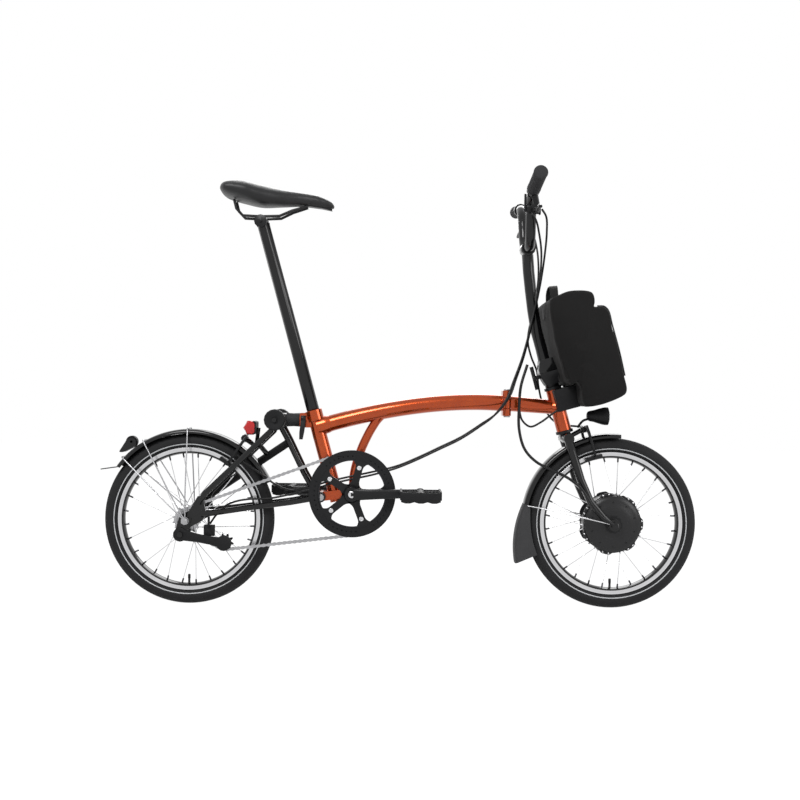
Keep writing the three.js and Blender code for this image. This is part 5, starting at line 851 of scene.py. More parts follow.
@dataclass
class Motor:
    """Hub motor in the front wheel: dished shell, lobed flanges with spoke heads, cover ring and screws."""

    radius: float = 70.0
    half: float = 44.0
    lobes: int = 7
    lobe_radius: float = 76.0
    flange: float = 26.0
    flange_thickness: float = 3.0
    lobe_dip: float = 2.4
    rivet_circle: float = 72.6
    rivet_turn: float = 0.1
    screw_circle: float = 54.0
    screw_side: float = 38.2
    lock_ring_radius: float = 21.0
    lock_ring_tooth: float = 1.0

    def shell(self) -> None:
        """Turned shell: a flat face that steps down from the boss to the rounded shoulder."""
        drops = [(15, 0), (16, 0.6), (17, 2.2), (30, 2.8), (44, 3.4), (46, 4.4), (58, 6), (65, 8.4),
                 (68.6, 11.6), (self.radius, 16)]
        face = [(r, self.half - drop) for r, drop in drops]
        right = [(r, -y) for r, y in face]
        shell = spun(right + face[::-1], FRONT_AXLE, steps=128)
        piece = object_from("front_motor_shell", [shell], MOTOR, "front_wheel", smooth=30)
        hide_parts("front_motor")

    def flanges(self) -> None:
        """Flanges whose edge radius rises and falls once for each lobe, with two spoke heads on a lobe."""
        angle = np.arange(224) * TURN / 224
        lobe = np.tanh(4.0 * (np.cos(self.lobes * angle) - 0.25))
        radius = self.lobe_radius - self.lobe_dip + self.lobe_dip * lobe
        edge = np.stack([FRONT_AXLE[0] + radius * np.cos(angle), FRONT_AXLE[2] + radius * np.sin(angle)],
                        axis=-1)
        hole = round_outline((FRONT_AXLE[0], FRONT_AXLE[2]), self.radius - 1, 96)
        near, far = self.flange - self.flange_thickness / 2, self.flange + self.flange_thickness / 2
        plates = [prism(edge, *sorted((side * near, side * far)), holes=[hole]) for side in (1, -1)]
        object_from("front_motor_flanges", plates, MOTOR, "front_wheel", bevel=0.4)
        heads = []
        for side in (1, -1):
            for turn in (TURN * lobe / self.lobes + aside for lobe in range(self.lobes)
                         for aside in (-self.rivet_turn, self.rivet_turn)):
                reach = self.rivet_circle * np.array([math.cos(turn), 0, math.sin(turn)])
                place = FRONT_AXLE + reach + ACROSS * side * far
                heads.append(spun([(1.9, -0.4), (1.9, 0.5), (1.2, 1.0)], place, ACROSS * side, 8))
        object_from("front_motor_rivets", heads, ALLOY, "front_wheel")

    def screws(self) -> None:
        """Screws of the side covers and the toothed lock ring round the axle on each side."""
        shells = []
        for side in (1, -1):
            for turn in (np.arange(10) + 0.5) * TURN / 10:
                place = FRONT_AXLE + [self.screw_circle * math.cos(turn), side * self.screw_side,
                                      self.screw_circle * math.sin(turn)]
                shells.append(spun([(2.6, -1), (2.6, 0.8), (1.8, 1.2), (1.5, 0.4)], place, ACROSS * side, 12))
            teeth = np.arange(48) * TURN / 48
            rim = self.lock_ring_radius + self.lock_ring_tooth * np.sign(np.sin(teeth * 12))
            edge = np.stack([FRONT_AXLE[0] + rim * np.cos(teeth), FRONT_AXLE[2] + rim * np.sin(teeth)],
                            axis=-1)
            shells.append(prism(edge, *sorted((side * 41.2, side * 43.6)),
                                holes=[round_outline((FRONT_AXLE[0], FRONT_AXLE[2]), 15.2, 32)]))
        object_from("front_motor_screws", shells, SATIN, "front_wheel", bevel=0.2)

    def build(self) -> None:
        """Makes the whole motor."""
        self.shell()
        self.flanges()
        self.screws()


@dataclass
class RearHub:
    """Small hub of the rear wheel with its two flanges."""

    end: float = 36.0
    flange_radius: float = 24.0
    barrel_radius: float = 13.0
    thread_end: float = 51.5

    def build(self) -> None:
        """Turned hub: two thin flanges on a waisted barrel, and a narrow end at the left."""
        half = [(15, self.end), (15, 29), (self.flange_radius, 28.3), (self.flange_radius, 25.7), (15.5, 25),
                (13.5, 15), (self.barrel_radius, 0)]
        profile = [(r, -y) for r, y in half] + half[::-1][1:] + [(10, 41), (10, self.thread_end)]
        piece = object_from("rear_hub_body", [spun(profile, REAR_AXLE, steps=64)], ALLOY, "rear_wheel",
                            bevel=0.3)
        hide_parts("rear_hub")


# Frame


@dataclass
class MainFrame:
    """Lacquered rear half of the frame: seat tube, curved main tube, brace, bracket shell and hinge half."""

    seat_radius: float = 17.8
    tube_radius: float = 20.0
    brace_radius: float = 11.0
    brace_end: float = 4.5

    def main_curve(self) -> np.ndarray:
        """Cubic curve from the seat tube to the hinge: the four control places weighted by their shares.

        Returns:
            Points along the middle of the tube.
        """
        start = SEAT_TOP - UP * 42
        end = HINGE - FORWARD * 7
        rise, fall = math.radians(17), math.radians(4)
        first = start + 150 * np.array([math.cos(rise), 0, math.sin(rise)])
        second = end + 150 * np.array([-math.cos(fall), 0, math.sin(fall)])
        t = np.linspace(0, 1, 72)[:, None]
        early, late = 3 * (1 - t) ** 2 * t, 3 * (1 - t) * t ** 2
        return (1 - t) ** 3 * start + early * first + late * second + t ** 3 * end

    def tubes(self) -> None:
        """Main tube, seat tube with its collar, brace and bracket shell."""
        curve = self.main_curve()
        travelled = np.concatenate([[0], np.cumsum(np.linalg.norm(np.diff(curve, axis=0), axis=1))])
        swell = self.tube_radius + 2.6 * np.clip(1 - (travelled - 24) / 9, 0, 1) * (travelled < 33)
        seat = spun([(16.3, 0.0), (16.9, 0.6), (21.0, 0.6), (21.5, 0), (21.5, -25), (20.8, -26),
                     (self.seat_radius, -27), (self.seat_radius, -231), (16.3, -231)], SEAT_TOP, UP, 56,
                    hollow=True)
        brace = smooth_path([[470, 0, 473], [455, 0, 449], [441, 0, 425], [421, 0, 380], [406, 0, 326],
                             [CRANK[0], 0, CRANK[2] + 6]], 10)
        share = np.linspace(0, 1, len(brace))
        brace_radii = self.brace_radius + self.brace_end * np.clip(1 - share / 0.16, 0, 1) ** 1.5
        shell = spun([(17, -34), (19.4, -34), (20, -33.4), (20, 33.4), (19.4, 34), (17, 34)], CRANK, steps=48,
                     hollow=True)
        shells = [pipe(curve, swell, 48), seat, pipe(brace, brace_radii, 32), shell]
        piece = object_from("main_frame_tubes", shells, LACQUER, "frame", smooth=30)
        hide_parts("main_frame")

    def lugs(self) -> None:
        """Cast lug behind the seat tube, the rear pivot's plates and the ears of the clamp lever."""
        lug = prism(rounded([(270.5, 438), (300, 438), (300, 474), (270.5, 474)], 4), -13, 13)
        height = 11
        start = REAR_PIVOT[0] - 4
        cheek = rounded([(start, REAR_PIVOT[2] - height), (CRANK[0], CRANK[2] - height),
                         (CRANK[0], CRANK[2] + height), (start, REAR_PIVOT[2] + height)], 5)
        cheeks = [prism(cheek, *sorted((side * 18, side * 24))) for side in (1, -1)]
        pivot = spun([(6.3, -24), (12.4, -24), (13, -23.4), (13, 23.4), (12.4, 24), (6.3, 24)],
                     REAR_PIVOT, steps=40, hollow=True)
        bolt, low, high = 280.3, 457.7, 464.3
        ears = [prism(rounded([(bolt + a, low), (bolt + b, low), (bolt + b, high), (bolt + a, high)], 0.8),
                      -24.2, -12.7)
                for a, b in ((-9.3, -6.3), (6.3, 9.3))]
        object_from("main_frame_lugs", [lug, *cheeks, pivot, *ears], LACQUER, "frame", bevel=1.0)

    def hinge(self) -> None:
        """Hinge plate with its barrel."""
        object_from("main_frame_hinge", hinge_half(-1, [(490.5, 516.5)]), LACQUER, "frame", bevel=0.9)

    def build(self) -> None:
        """Makes the rear half of the frame."""
        self.tubes()
        self.lugs()
        self.hinge()


def hinge_half(side: int, barrels: list[tuple[float, float]]) -> list[Shell]:
    """Half of the main hinge: rounded plate across the bicycle, barrels and the web to them.

    Args:
        side: -1 for the rear half and 1 for the front half.
        barrels: Lower and upper height of each barrel.

    Returns:
        Its closed surfaces.
    """
    near, far = sorted((side * 0.3, side * 9.0))
    outline = rounded([(-23, 472.5), (24, 472.5), (24, 534.5), (-23, 534.5)], 11, 7)
    shells = [prism(outline, -far, -near, origin=FORWARD * HINGE[0], right=ACROSS)]
    for low, high in barrels:
        barrel = [(5.3, low), (9.6, low), (10.5, low + 0.9), (10.5, high - 0.9), (9.6, high), (5.3, high)]
        shells.append(spun(barrel, np.array([HINGE[0], HINGE_PIN_SIDE, 0.0]), UPRIGHT, 40, hollow=True))
        start, end = HINGE[0] + near, HINGE[0] + far
        shells.append(prism(rounded([(start, low), (end, low), (end, high), (start, high)], 0.8), -31.5, -22))
    return shells


@dataclass
class FrontFrame:
    """Lacquered front half of the frame: hinge half, front tube and head tube with its cups."""

    tube_radius: float = 19.5
    tube_end_radius: float = 17.0
    head_radius: float = 18.5
    head_length: float = 104.0
    start: np.ndarray = field(default_factory=lambda: HINGE + FORWARD * 4.35)

    def build(self) -> None:
        """Makes the tubes, the cups and the hinge half."""
        seat = HEAD_BOTTOM + UP * 58
        path = self.start + (seat - self.start) * np.linspace(0, 1, 24)[:, None]
        tube = pipe(path, np.linspace(self.tube_radius, self.tube_end_radius, 24), 48)
        top = self.head_length + 2
        head = spun([(14.6, -2), (self.head_radius, -2), (self.head_radius, top), (14.6, top)], HEAD_BOTTOM,
                    UP, 56, hollow=True)
        gusset = pipe(path[-4:-1], [17.2, 18.6, 20.5], 48)
        boss = spun([(8.7, 22), (8.7, 29.6), (8.2, 30)], self.start, ACROSS, 24)
        piece = object_from("front_frame_tubes", [tube, head, gusset, boss], LACQUER, "front", smooth=30)
        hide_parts("front_frame")
        object_from("front_frame_hinge", hinge_half(1, [(472.5, 490.2), (516.8, 534.5)]), LACQUER, "front",
                    bevel=0.9)
        cups = [spun([(14.6, a), (20.9, a), (21.5, a + 0.6), (21.5, b - 0.6), (20.9, b), (14.6, b)],
                     HEAD_BOTTOM, UP, 56, hollow=True)
                for a, b in ((-7, 0), (self.head_length, self.head_length + 7))]
        object_from("headset_cups", cups, SATIN, "front", smooth=30)


@dataclass
class RearFrame:
    """Black rear triangle with its holders for brake, lamp, guard and pump."""

    rounding: float = 0.7

    def build(self) -> None:
        """Makes the softened frame."""
        softened("rear_frame", ENAMEL, "rear", self.rounding)


# Bag, saddle


@dataclass
class Bag:
    """Battery bag on the head tube: sagging cloth shell, side panels, piping, zips, handle and lid strap."""

    half: float = 125.0
    edge_draw: float = 0.062
    ripple_height: float = 0.9
    fold_height: float = 0.7
    settled: float = 1.2
    outline: list[tuple[float, float]] = field(default_factory=lambda: [
        (921.5, 546.5), (941.5, 552.5), (955, 500.8), (992, 501), (1051, 526), (1056, 537), (1050.6, 572),
        (1037, 629), (1019.6, 692.5), (1010.6, 726.5), (997.8, 738), (975.5, 738), (976.4, 756), (969, 769.6),
        (920.8, 772.4), (894.7, 763.4), (872, 751), (872, 709), (898, 598)])

    def side_outline(self) -> np.ndarray:
        """Side outline of the bag as a smooth closed curve.

        Returns:
            Points in the middle plane.
        """
        loop = np.array([(x, 0, z) for x, z in self.outline])
        return smooth_path(np.vstack([loop, loop[:1]]), 6)[:-1]

    def body(self) -> None:
        """Shell: the outline carried across the bag, drawn in near both sides and rippled by slow waves.

        In the last tenth towards a side the outline shrinks by the edge draw times the share of that tenth to
        the power 2.4. The folds move each point away from the middle by sines of its height and side share.
        """
        loop = self.side_outline()
        middle = np.array([960.0, 0.0, 640.0])
        share = np.concatenate([np.linspace(-1, -0.9, 8), np.linspace(-0.88, 0.88, 46),
                                np.linspace(0.9, 1, 8)])
        keep = (1 - self.edge_draw * np.clip((np.abs(share) - 0.9) / 0.1, 0, 1) ** 2.4)[:, None, None]
        rings = middle + (loop - middle)[None] * keep
        rings[..., 1] = share[:, None] * self.half
        away = (loop - middle) / np.linalg.norm(loop - middle, axis=1, keepdims=True)
        height = loop[:, 2][None]
        slow, quick = np.sin(height * 0.11 + share[:, None] * 5.0), np.sin(share[:, None] * 9.0 + 0.6)
        folds = self.ripple_height * slow * quick + self.fold_height * np.sin(height * 0.05 + 1.3)
        rings = rings + (folds - self.settled)[..., None] * away[None]
        piece = object_from("battery_bag_shell", [skin(rings)], CLOTH, "bag", smooth=180)
        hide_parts("battery_bag")

    def side_panels(self) -> None:
        """Crowned side panels of the main part and of the front pocket, with piping round each.

        A panel is its outline drawn in to the middle; it rises by one less the fourth power of that share.
        """
        main = rounded([(907, 560), (930, 562), (962, 520), (1002, 512), (1018, 530), (1008, 610), (980, 700),
                        (962, 752), (925, 760), (884, 742), (884, 706)], 16, 5)
        pocket = rounded([(1010, 520), (1040, 531), (1045, 545), (1036, 590), (1010, 690), (998, 722),
                          (985, 728), (990, 700), (1012, 600)], 10, 5)
        for side, hand in ((1, "left"), (-1, "right")):
            for label, outline, rise in (("main", main, 3.4), ("pocket", pocket, 3.0)):
                centre = outline.mean(axis=0)
                inset = np.linspace(1, 0.02, 14)[:, None, None]
                flat = centre + (outline - centre)[None] * inset
                ripple = 0.35 * np.sin(flat[..., 1] * 0.12)
                lift = rise * (1 - inset[..., 0] ** 4) + ripple * (1 - inset[..., 0])
                rings = np.stack([flat[..., 0], side * (self.half - 3.4 + lift), flat[..., 1]], axis=-1)
                base = rings[:1] * [1, 0, 1] + [0, side * (self.half - 8), 0]
                panel = skin(np.vstack([base, rings]))
                object_from(f"bag_{label}_panel_{hand}", [panel], CLOTH, "bag", smooth=60)
                edge = np.stack([outline[:, 0], np.full(len(outline), side * (self.half - 3.0)),
                                 outline[:, 1]], axis=-1)
                piping = carried(edge, disc_section(8) * 1.5, ACROSS, looped=True)
                object_from(f"bag_{label}_piping_{hand}", [piping], PIPING, "bag")

    def straps(self) -> None:
        """Carrying handle, webbing across the lid and the two zips of the front pocket."""
        route = smooth_path([[892, -44, 757], [891, -37, 778], [892, -20, 790.5], [893, 0, 793],
                             [892, 20, 790.5], [891, 37, 778], [892, 44, 757]], 8)
        section = rounded([(-10, -1.8), (10, -1.8), (10, 1.8), (-10, 1.8)], 1.5, 4)
        handle = carried(route, section, np.array([1.0, 0, 0.1]))
        object_from("bag_handle", [handle], PIPING, "bag")
        zip_route = np.array([(984.5, 737.5), (1000, 737), (1010.5, 728), (1021, 692), (1039, 628),
                              (1052, 572)])
        seams = []
        for side in (0.82, -0.82):
            path = smooth_path([[x + 1.2, side * self.half, z + 0.6] for x, z in zip_route], 8)
            seams.append(pipe(path, 1.9, 8))
        object_from("bag_zips", seams, CABLE, "bag")
        band = rounded([(-19, -0.9), (19, -0.9), (19, 0.9), (-19, 0.9)], 0.8, 3)
        lid = smooth_path([[872.5, 0, 712], [872.6, 0, 748], [893, 0, 762], [921, 0, 772.6], [966, 0, 770.5],
                           [976, 0, 757], [976.5, 0, 742]], 8)
        object_from("bag_lid_strap", [carried(lid, band)], PIPING, "bag")

    def build(self) -> None:
        """Makes the bag."""
        self.body()
        self.side_panels()
        self.straps()


@dataclass
class Saddle:
    """Saddle: padded cover that swells as cloth, and the rails with their clamp."""

    rear: float = 69.0
    length: float = 284.0
    side_power: float = 0.78
    top_power: float = 0.85
    belly_power: float = 0.55
    tuck: float = 0.14
    channel_depth: float = 0.10
    channel_narrowing: float = 3.4

    def cover(self) -> None:
        """Crowned cushion: width, top and depth follow smooth curves along it, with a shallow channel on top.

        Each ring is a powered cosine across and a powered sine up, tucked in below its widest line.
        """
        stations, around = 72, 56
        share = np.linspace(0, 1, stations)
        knots = [0, 0.03, 0.09, 0.2, 0.36, 0.54, 0.72, 0.88, 0.97, 1]
        widths = [34, 59, 71, 73.5, 60, 36, 25, 22.5, 17, 8]
        tops = [1031, 1038.5, 1041.6, 1039.5, 1030.5, 1021.5, 1015, 1007, 997, 988]
        lows = [1018, 1010, 1004, 996, 986, 986, 987, 984, 981, 980]
        half = smooth_path([[k, w, 0] for k, w in zip(knots, widths)], 12)
        top = smooth_path([[k * 100, z, 0] for k, z in zip(knots, tops)], 12)
        low = smooth_path([[k * 100, z, 0] for k, z in zip(knots, lows)], 12)
        width = np.interp(share, half[:, 0], half[:, 1])
        high = np.interp(share * 100, top[:, 0], top[:, 1])
        depth = high - np.interp(share * 100, low[:, 0], low[:, 1])
        angle = (np.arange(around) + 0.5) * TURN / around
        c, s = np.cos(angle), np.sin(angle)
        across = np.sign(c) * np.abs(c) ** self.side_power
        above = np.where(s > 0, np.abs(s) ** self.top_power, -np.abs(s) ** self.belly_power)
        tuck = np.where(s < 0, 1 - self.tuck * np.abs(s), 1.0)
        groove = self.channel_depth * np.clip(1 - np.abs(c) * self.channel_narrowing, 0, 1)
        channel = np.where(s > 0, groove, 0.0)[None] * np.clip(np.sin(share * math.pi), 0, 1)[:, None]
        rings = np.stack([np.broadcast_to((self.rear + self.length * share)[:, None], (stations, around)),
                          width[:, None] * (across * tuck)[None],
                          (high - depth / 2)[:, None] + depth[:, None] / 2 * (above[None] - channel)],
                         axis=-1)
        piece = object_from("saddle_cover", [skin(rings)], LEATHER, "saddle", smooth=180)
        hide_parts("saddle_cushion")
        swelled(piece)

    def build(self) -> None:
        """Makes the cover and softens the rails."""
        self.cover()
        softened("saddle_rails", SATIN, "saddle", 0.4)


def swelled(piece: bpy.types.Object) -> None:
    """Lets a cushion swell a little as cloth under pressure, caps how far it moves, and smooths it once.

    Args:
        piece: The cushion.
    """
    voxel, pressure, last_frame, most = 0.0045, 4.0, 15, 0.0022
    LOG.info("%s swells", piece.name)
    remesh = piece.modifiers.new("Even mesh", "REMESH")
    remesh.mode = "VOXEL"
    remesh.voxel_size = voxel
    before = coordinates(baked(piece))
    cloth = piece.modifiers.new("Cover", "CLOTH")
    cloth.settings.use_pressure = True
    cloth.settings.uniform_pressure_force = pressure
    cloth.settings.effector_weights.gravity = 0.0
    scene = bpy.context.scene
    for number in range(1, last_frame + 1):
        scene.frame_set(number)
    after = coordinates(baked(piece))
    scene.frame_set(1)
    step = after - before
    size = np.linalg.norm(step, axis=1, keepdims=True)
    held = before + step * np.minimum(1.0, most / np.maximum(size, 1e-9))
    piece.data.vertices.foreach_set("co", held.ravel())
    evened(piece)
    finer = piece.modifiers.new("Finer", "SUBSURF")
    finer.levels = finer.render_levels = 1


def baked(piece: bpy.types.Object) -> bpy.types.Mesh:
    """Applies what the modifiers give and takes them off.

    Args:
        piece: The object.

    Returns:
        Its new mesh.
    """
    graph = bpy.context.evaluated_depsgraph_get()
    mesh = bpy.data.meshes.new_from_object(piece.evaluated_get(graph))
    piece.modifiers.clear()
    piece.data = mesh
    return mesh


def coordinates(mesh: bpy.types.Mesh) -> np.ndarray:
    """Places of a mesh's points.

    Args:
        mesh: The mesh.

    Returns:
        A row for each point.
    """
    flat = np.empty(len(mesh.vertices) * 3)
    mesh.vertices.foreach_get("co", flat)
    return flat.reshape(-1, 3)


def evened(piece: bpy.types.Object) -> None:
    """Evens out a mesh a little and shades it smooth.

    Args:
        piece: The object that the mesh belongs to.
    """
    work = bmesh.new()
    work.from_mesh(piece.data)
    for _ in range(3):
        bmesh.ops.smooth_vert(work, verts=work.verts, factor=0.35, use_axis_x=True, use_axis_y=True,
                              use_axis_z=True)
    work.to_mesh(piece.data)
    work.free()
    piece.data.shade_smooth()


# Drive


@dataclass
class Arc:
    """Stretch of chain on a wheel: centre, pitch radius, start angle, sweep and its number of pitches."""

    centre: np.ndarray
    radius: float
    start: float
    sweep: float
    pitches: float

    def at(self, share: float) -> tuple[float, float]:
        """Place at a share of the arc."""
        turn = self.start + share * self.sweep
        return self.centre[0] + self.radius * math.cos(turn), self.centre[1] + self.radius * math.sin(turn)


@dataclass
class Run:
    """Straight stretch of chain: first place, heading, length and its number of pitches."""

    start: np.ndarray
    heading: float
    length: float
    pitches: float

    def at(self, share: float) -> tuple[float, float]:
        """Place at a share of the run."""
        reach = share * self.length
        return self.start[0] + reach * math.cos(self.heading), self.start[1] + reach * math.sin(self.heading)


@dataclass
class ChainLine:
    """Closed line of the chain round the chainring, the sprocket and the jockey wheel, counted in pitches."""

    pitch: float = 12.7
    wheels: list[tuple] = field(default_factory=lambda: [
        ((CRANK[0], CRANK[2]), 50), ((REAR_AXLE[0], REAR_AXLE[2]), 13), (JOCKEY, 9)])

    def stretches(self) -> list[Arc | Run]:
        """Arcs and straight runs in their order: each run touches both of its wheels at the same side.

        Returns:
            An arc and a run for each wheel.
        """
        circles = [(np.array(centre), self.pitch / 2 / math.sin(math.pi / teeth))
                   for centre, teeth in self.wheels]
        runs, normals = [], []
        for (here, radius), (beyond, next_radius) in zip(circles, circles[1:] + circles[:1]):
            gap = np.linalg.norm(beyond - here)
            growth = next_radius - radius
            heading = math.atan2(beyond[1] - here[1], beyond[0] - here[0]) - math.asin(growth / gap)
            normal = heading - math.pi / 2
            length = math.sqrt(gap ** 2 - growth ** 2)
            start = here + radius * np.array([math.cos(normal), math.sin(normal)])
            runs.append(Run(start, heading, length, length / self.pitch))
            normals.append(normal)
        parts = []
        for number, (centre, radius) in enumerate(circles):
            start = normals[number - 1]
            sweep = (normals[number] - start) % TURN
            parts += [Arc(centre, radius, start, sweep, sweep / TURN * self.wheels[number][1]), runs[number]]
        return parts

    def at(self, number: float) -> tuple[float, float]:
        """Place of the line at a number of pitches from its start.

        Args:
            number: How many pitches on.

        Returns:
            The place in the plane of the chain.
        """
        for part in self.stretches():
            if number <= part.pitches:
                return part.at(number / part.pitches)
            number -= part.pitches
        return self.at(0.0)

    def pins(self) -> np.ndarray:
        """Places of all pins, a whole number of them evenly along the line.

        Returns:
            A row of two plane numbers for each pin.
        """
        total = sum(part.pitches for part in self.stretches())
        return np.array([self.at(i * total / round(total)) for i in range(round(total))])

    def phase(self, number: int) -> float:
        """Angle of the first pin that lies on a wheel, so that the wheel's gullets meet the pins.

        Args:
            number: Which wheel, counted from the chainring.

        Returns:
            The angle in radians.
        """
        parts = self.stretches()
        arc = parts[2 * number]
        before = sum(part.pitches for part in parts[:2 * number])
        return arc.start + (math.ceil(before) - before) / arc.pitches * arc.sweep


def toothed(centre: tuple, teeth: int, phase: float, pitch: float = 12.7) -> np.ndarray:
    """Edge of a chain wheel: its radius rises from each roller seat to a rounded tooth as a powered cosine.

    Args:
        centre: Middle of the wheel.
        teeth: Number of teeth.
        phase: Angle of a gullet.
        pitch: Distance between pins.

    Returns:
        The outline.
    """
    samples, seat_depth, tooth_height = 10, 4.0, 7.2
    turn = np.arange(teeth * samples) * TURN / (teeth * samples)
    wave = 0.5 - 0.5 * np.cos(turn * teeth)
    radius = pitch / 2 / math.sin(math.pi / teeth) - seat_depth + tooth_height * wave ** 1.3
    return np.asarray(centre) + np.stack([radius * np.cos(turn + phase), radius * np.sin(turn + phase)],
                                         axis=-1)


@dataclass
class Drive:
    """Chain, chainring, cranks with the chain guard ring, pedals, sprockets, jockey wheel and tensioner."""

    line: ChainLine = field(default_factory=ChainLine)
    arms: int = 5
    first_arm: float = math.radians(3)
    bolt_circle: float = 65.0
    window_circle: float = 92.0
    window_step: float = math.radians(7.2)
    window_radius: float = 1.9
    guard_radius: float = 104.5
    guard_opening: float = 84.0
    ring_opening: float = 80.0
    tab_depth: float = 20.0
    roller_radius: float = 3.9
    pin_radius: float = 1.7
    spider_half: float = 9.0
    hub_flare: float = 9.0
    rim_flare: float = 26.0
    arm_length: float = 165.0
    arm_thickness: float = 6.7

    def chain(self) -> None:
        """Rollers, pins and waisted plates; inner and outer plates take turns along the line."""
        pins = self.line.pins()
        step = np.roll(pins, -1, axis=0) - pins
        along = step / np.linalg.norm(step, axis=1, keepdims=True)
        rollers, plates = [], []
        round_end, waist = 4.1, 2.6
        near_end = [(-round_end * math.sin(t), round_end * math.cos(t)) for t in np.linspace(0, math.pi, 5)]
        far_end = [(self.line.pitch - a, -b) for a, b in near_end]
        middle = self.line.pitch / 2
        shape = np.array([*near_end, (middle, -waist), *far_end, (middle, waist)])
        for index, (place, way) in enumerate(zip(pins, along)):
            across = np.array([-way[1], way[0]])
            pin = np.array([place[0], CHAIN_SIDE, place[1]])
            rollers.append(spun([(self.roller_radius, -2.0), (self.roller_radius, 2.0)], pin, steps=8))
            rollers.append(spun([(self.pin_radius, -3.9), (self.pin_radius, 3.9)], pin, steps=6))
            edge = place + shape[:, 0:1] * way + shape[:, 1:2] * across
            for side in (1, -1):
                near = 2.3 if index % 2 == 0 else 3.1
                plates.append(prism(edge,
                                    *sorted((CHAIN_SIDE + side * near, CHAIN_SIDE + side * (near + 0.7)))))
        piece = object_from("chain_rollers", rollers, STEEL, "frame", smooth=50)
        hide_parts("chain")
        object_from("chain_plates", plates, STEEL, "frame")

    def chainring(self) -> None:
        """Toothed ring whose opening draws in under each bolt by the sixth power of a cosine."""
        centre = (CRANK[0], CRANK[2])
        edge = toothed(centre, self.line.wheels[0][1], self.line.phase(0))
        turn = np.arange(200) * TURN / 200
        tabs = np.clip(np.cos(self.arms * (turn - self.first_arm)), 0, 1) ** 6
        inner = self.ring_opening - self.tab_depth * tabs
        hole = np.asarray(centre) + np.stack([inner * np.cos(turn), inner * np.sin(turn)], axis=-1)
        ring = prism(edge, CHAIN_SIDE - 1.2, CHAIN_SIDE + 1.2, holes=[hole])
        piece = object_from("chainring_toothed", [ring], DARK_STEEL, "crank", bevel=0.3)
        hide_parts("chainring")

    def guard_ring(self) -> None:
        """Outer guard ring: a flat ring with a rolled edge and a row of small round holes."""
        centre = (CRANK[0], CRANK[2])
        holes = []
        for group in range(self.arms):
            for step in range(-3, 4):
                turn = self.first_arm + (group + 0.5) * TURN / self.arms + step * self.window_step
                place = np.array(centre) + self.window_circle * np.array([math.cos(turn), math.sin(turn)])
                holes.append(round_outline(place, self.window_radius, 10))
        outer = round_outline(centre, self.guard_radius, 160)
        opening = round_outline(centre, self.guard_opening, 120)
        ring = prism(outer, -53.2, -50.9, holes=[opening, *holes])
        profile = [(103, -53.4), (105.4, -53.4), (106, -52.8), (106, -50.9), (105.2, -50.4), (103, -50.6)]
        rim = spun(profile, CRANK, steps=160, hollow=True)
        object_from("crank_guard_ring", [ring, rim], PLASTIC, "crank", bevel=0.25)

    def spider(self) -> None:
        """Arms from the hub to the guard ring with the hub and its bolts.

        The half width of an arm is even, plus a square curve near the hub and a steeper one near the ring.
        """
        shells, bolts = [], []
        along = np.linspace(16, 86.5, 14)
        near_hub = np.clip((34 - along) / 18, 0, 1)
        near_ring = np.clip((along - 62) / 25, 0, 1)
        width = self.spider_half + self.hub_flare * near_hub ** 2 + self.rim_flare * near_ring ** 2.6
        flat = np.concatenate([np.stack([along, width], axis=-1), np.stack([along, -width], axis=-1)[::-1]])
        for turn in self.first_arm + np.arange(self.arms) * TURN / self.arms:
            way = np.array([math.cos(turn), math.sin(turn)])
            across = np.array([-math.sin(turn), math.cos(turn)])
            edge = np.array([CRANK[0], CRANK[2]]) + flat[:, 0:1] * way + flat[:, 1:2] * across
            shells.append(prism(edge, -52.4, -45.6))
            place = CRANK + [self.bolt_circle * math.cos(turn), 0, self.bolt_circle * math.sin(turn)]
            bolt = [(5.6, -52.2), (5.6, -54.6), (4.9, -55.2), (2.7, -55.2), (2.7, -53.4), (0.8, -53.2)]
            bolts.append(spun(bolt, place, steps=20))
        hub = [(9, -45.6), (23, -45.6), (23.5, -46.4), (22.5, -51.5), (19, -55), (17, -62), (17, -76.2),
               (16.2, -77), (9, -77), (8.6, -76)]
        object_from("crank_spider", [*shells, spun(hub, CRANK, steps=48, hollow=True)], SATIN, "crank",
                    bevel=1.2)
        nut = [(8.4, -75.4), (8.4, -76.6), (7.4, -77.2), (4.3, -77.2), (4.2, -74.6), (1.0, -74.4)]
        bolts.append(spun(nut, CRANK, steps=24))
        object_from("crank_bolts", bolts, ALLOY, "crank", bevel=0.2)

    def arm(self, side: int) -> None:
        """Crank arm: a rounded section that narrows from the boss to the eye and steps outward near the hub.

        Args:
            side: -1 for the drive side and 1 for the left.
        """
        turn = math.radians(1.7) + (math.pi if side > 0 else 0)
        way = np.array([math.cos(turn), 0, math.sin(turn)])
        share = np.array([0, 0.06, 0.14, 0.25, 0.4, 0.6, 0.8, 0.92, 1.0])
        wide = np.array([14.5, 14.2, 13.5, 12.6, 11.8, 11.2, 10.8, 10.8, 11.0])
        out = 69 + 10 * np.clip(share / 0.25, 0, 1) ** 0.8
        path = CRANK + way * (share * self.arm_length)[:, None] + ACROSS * (side * out)[:, None]
        corner = rounded([(-1, -1), (1, -1), (1, 1), (-1, 1)], 0.7, 5)
        sections = corner[None] * np.stack([np.full(len(wide), self.arm_thickness), wide], axis=-1)[:, None]
        label = "right" if side < 0 else "left"
        eye = spun([(5.6, side * 72.3), (12.2, side * 72.3), (13, side * 73.1), (13, side * 85.2),
                    (12.2, side * 86), (5.6, side * 86)],
                   CRANK + way * self.arm_length, steps=36, hollow=True)
        shells = [carried(path, sections), eye]
        if side > 0:
            shells.append(spun([(8.4, 37.8), (17, 37.8), (17, 76.2), (16.2, 77), (8.4, 77)], CRANK, steps=40,
                               hollow=True))
            shells.append(spun([(7.9, -68), (7.9, 70)], CRANK, steps=24))
        piece = object_from(f"crank_arm_{label}", shells, SATIN, "crank", smooth=35)
        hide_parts(f"crank_{label}")

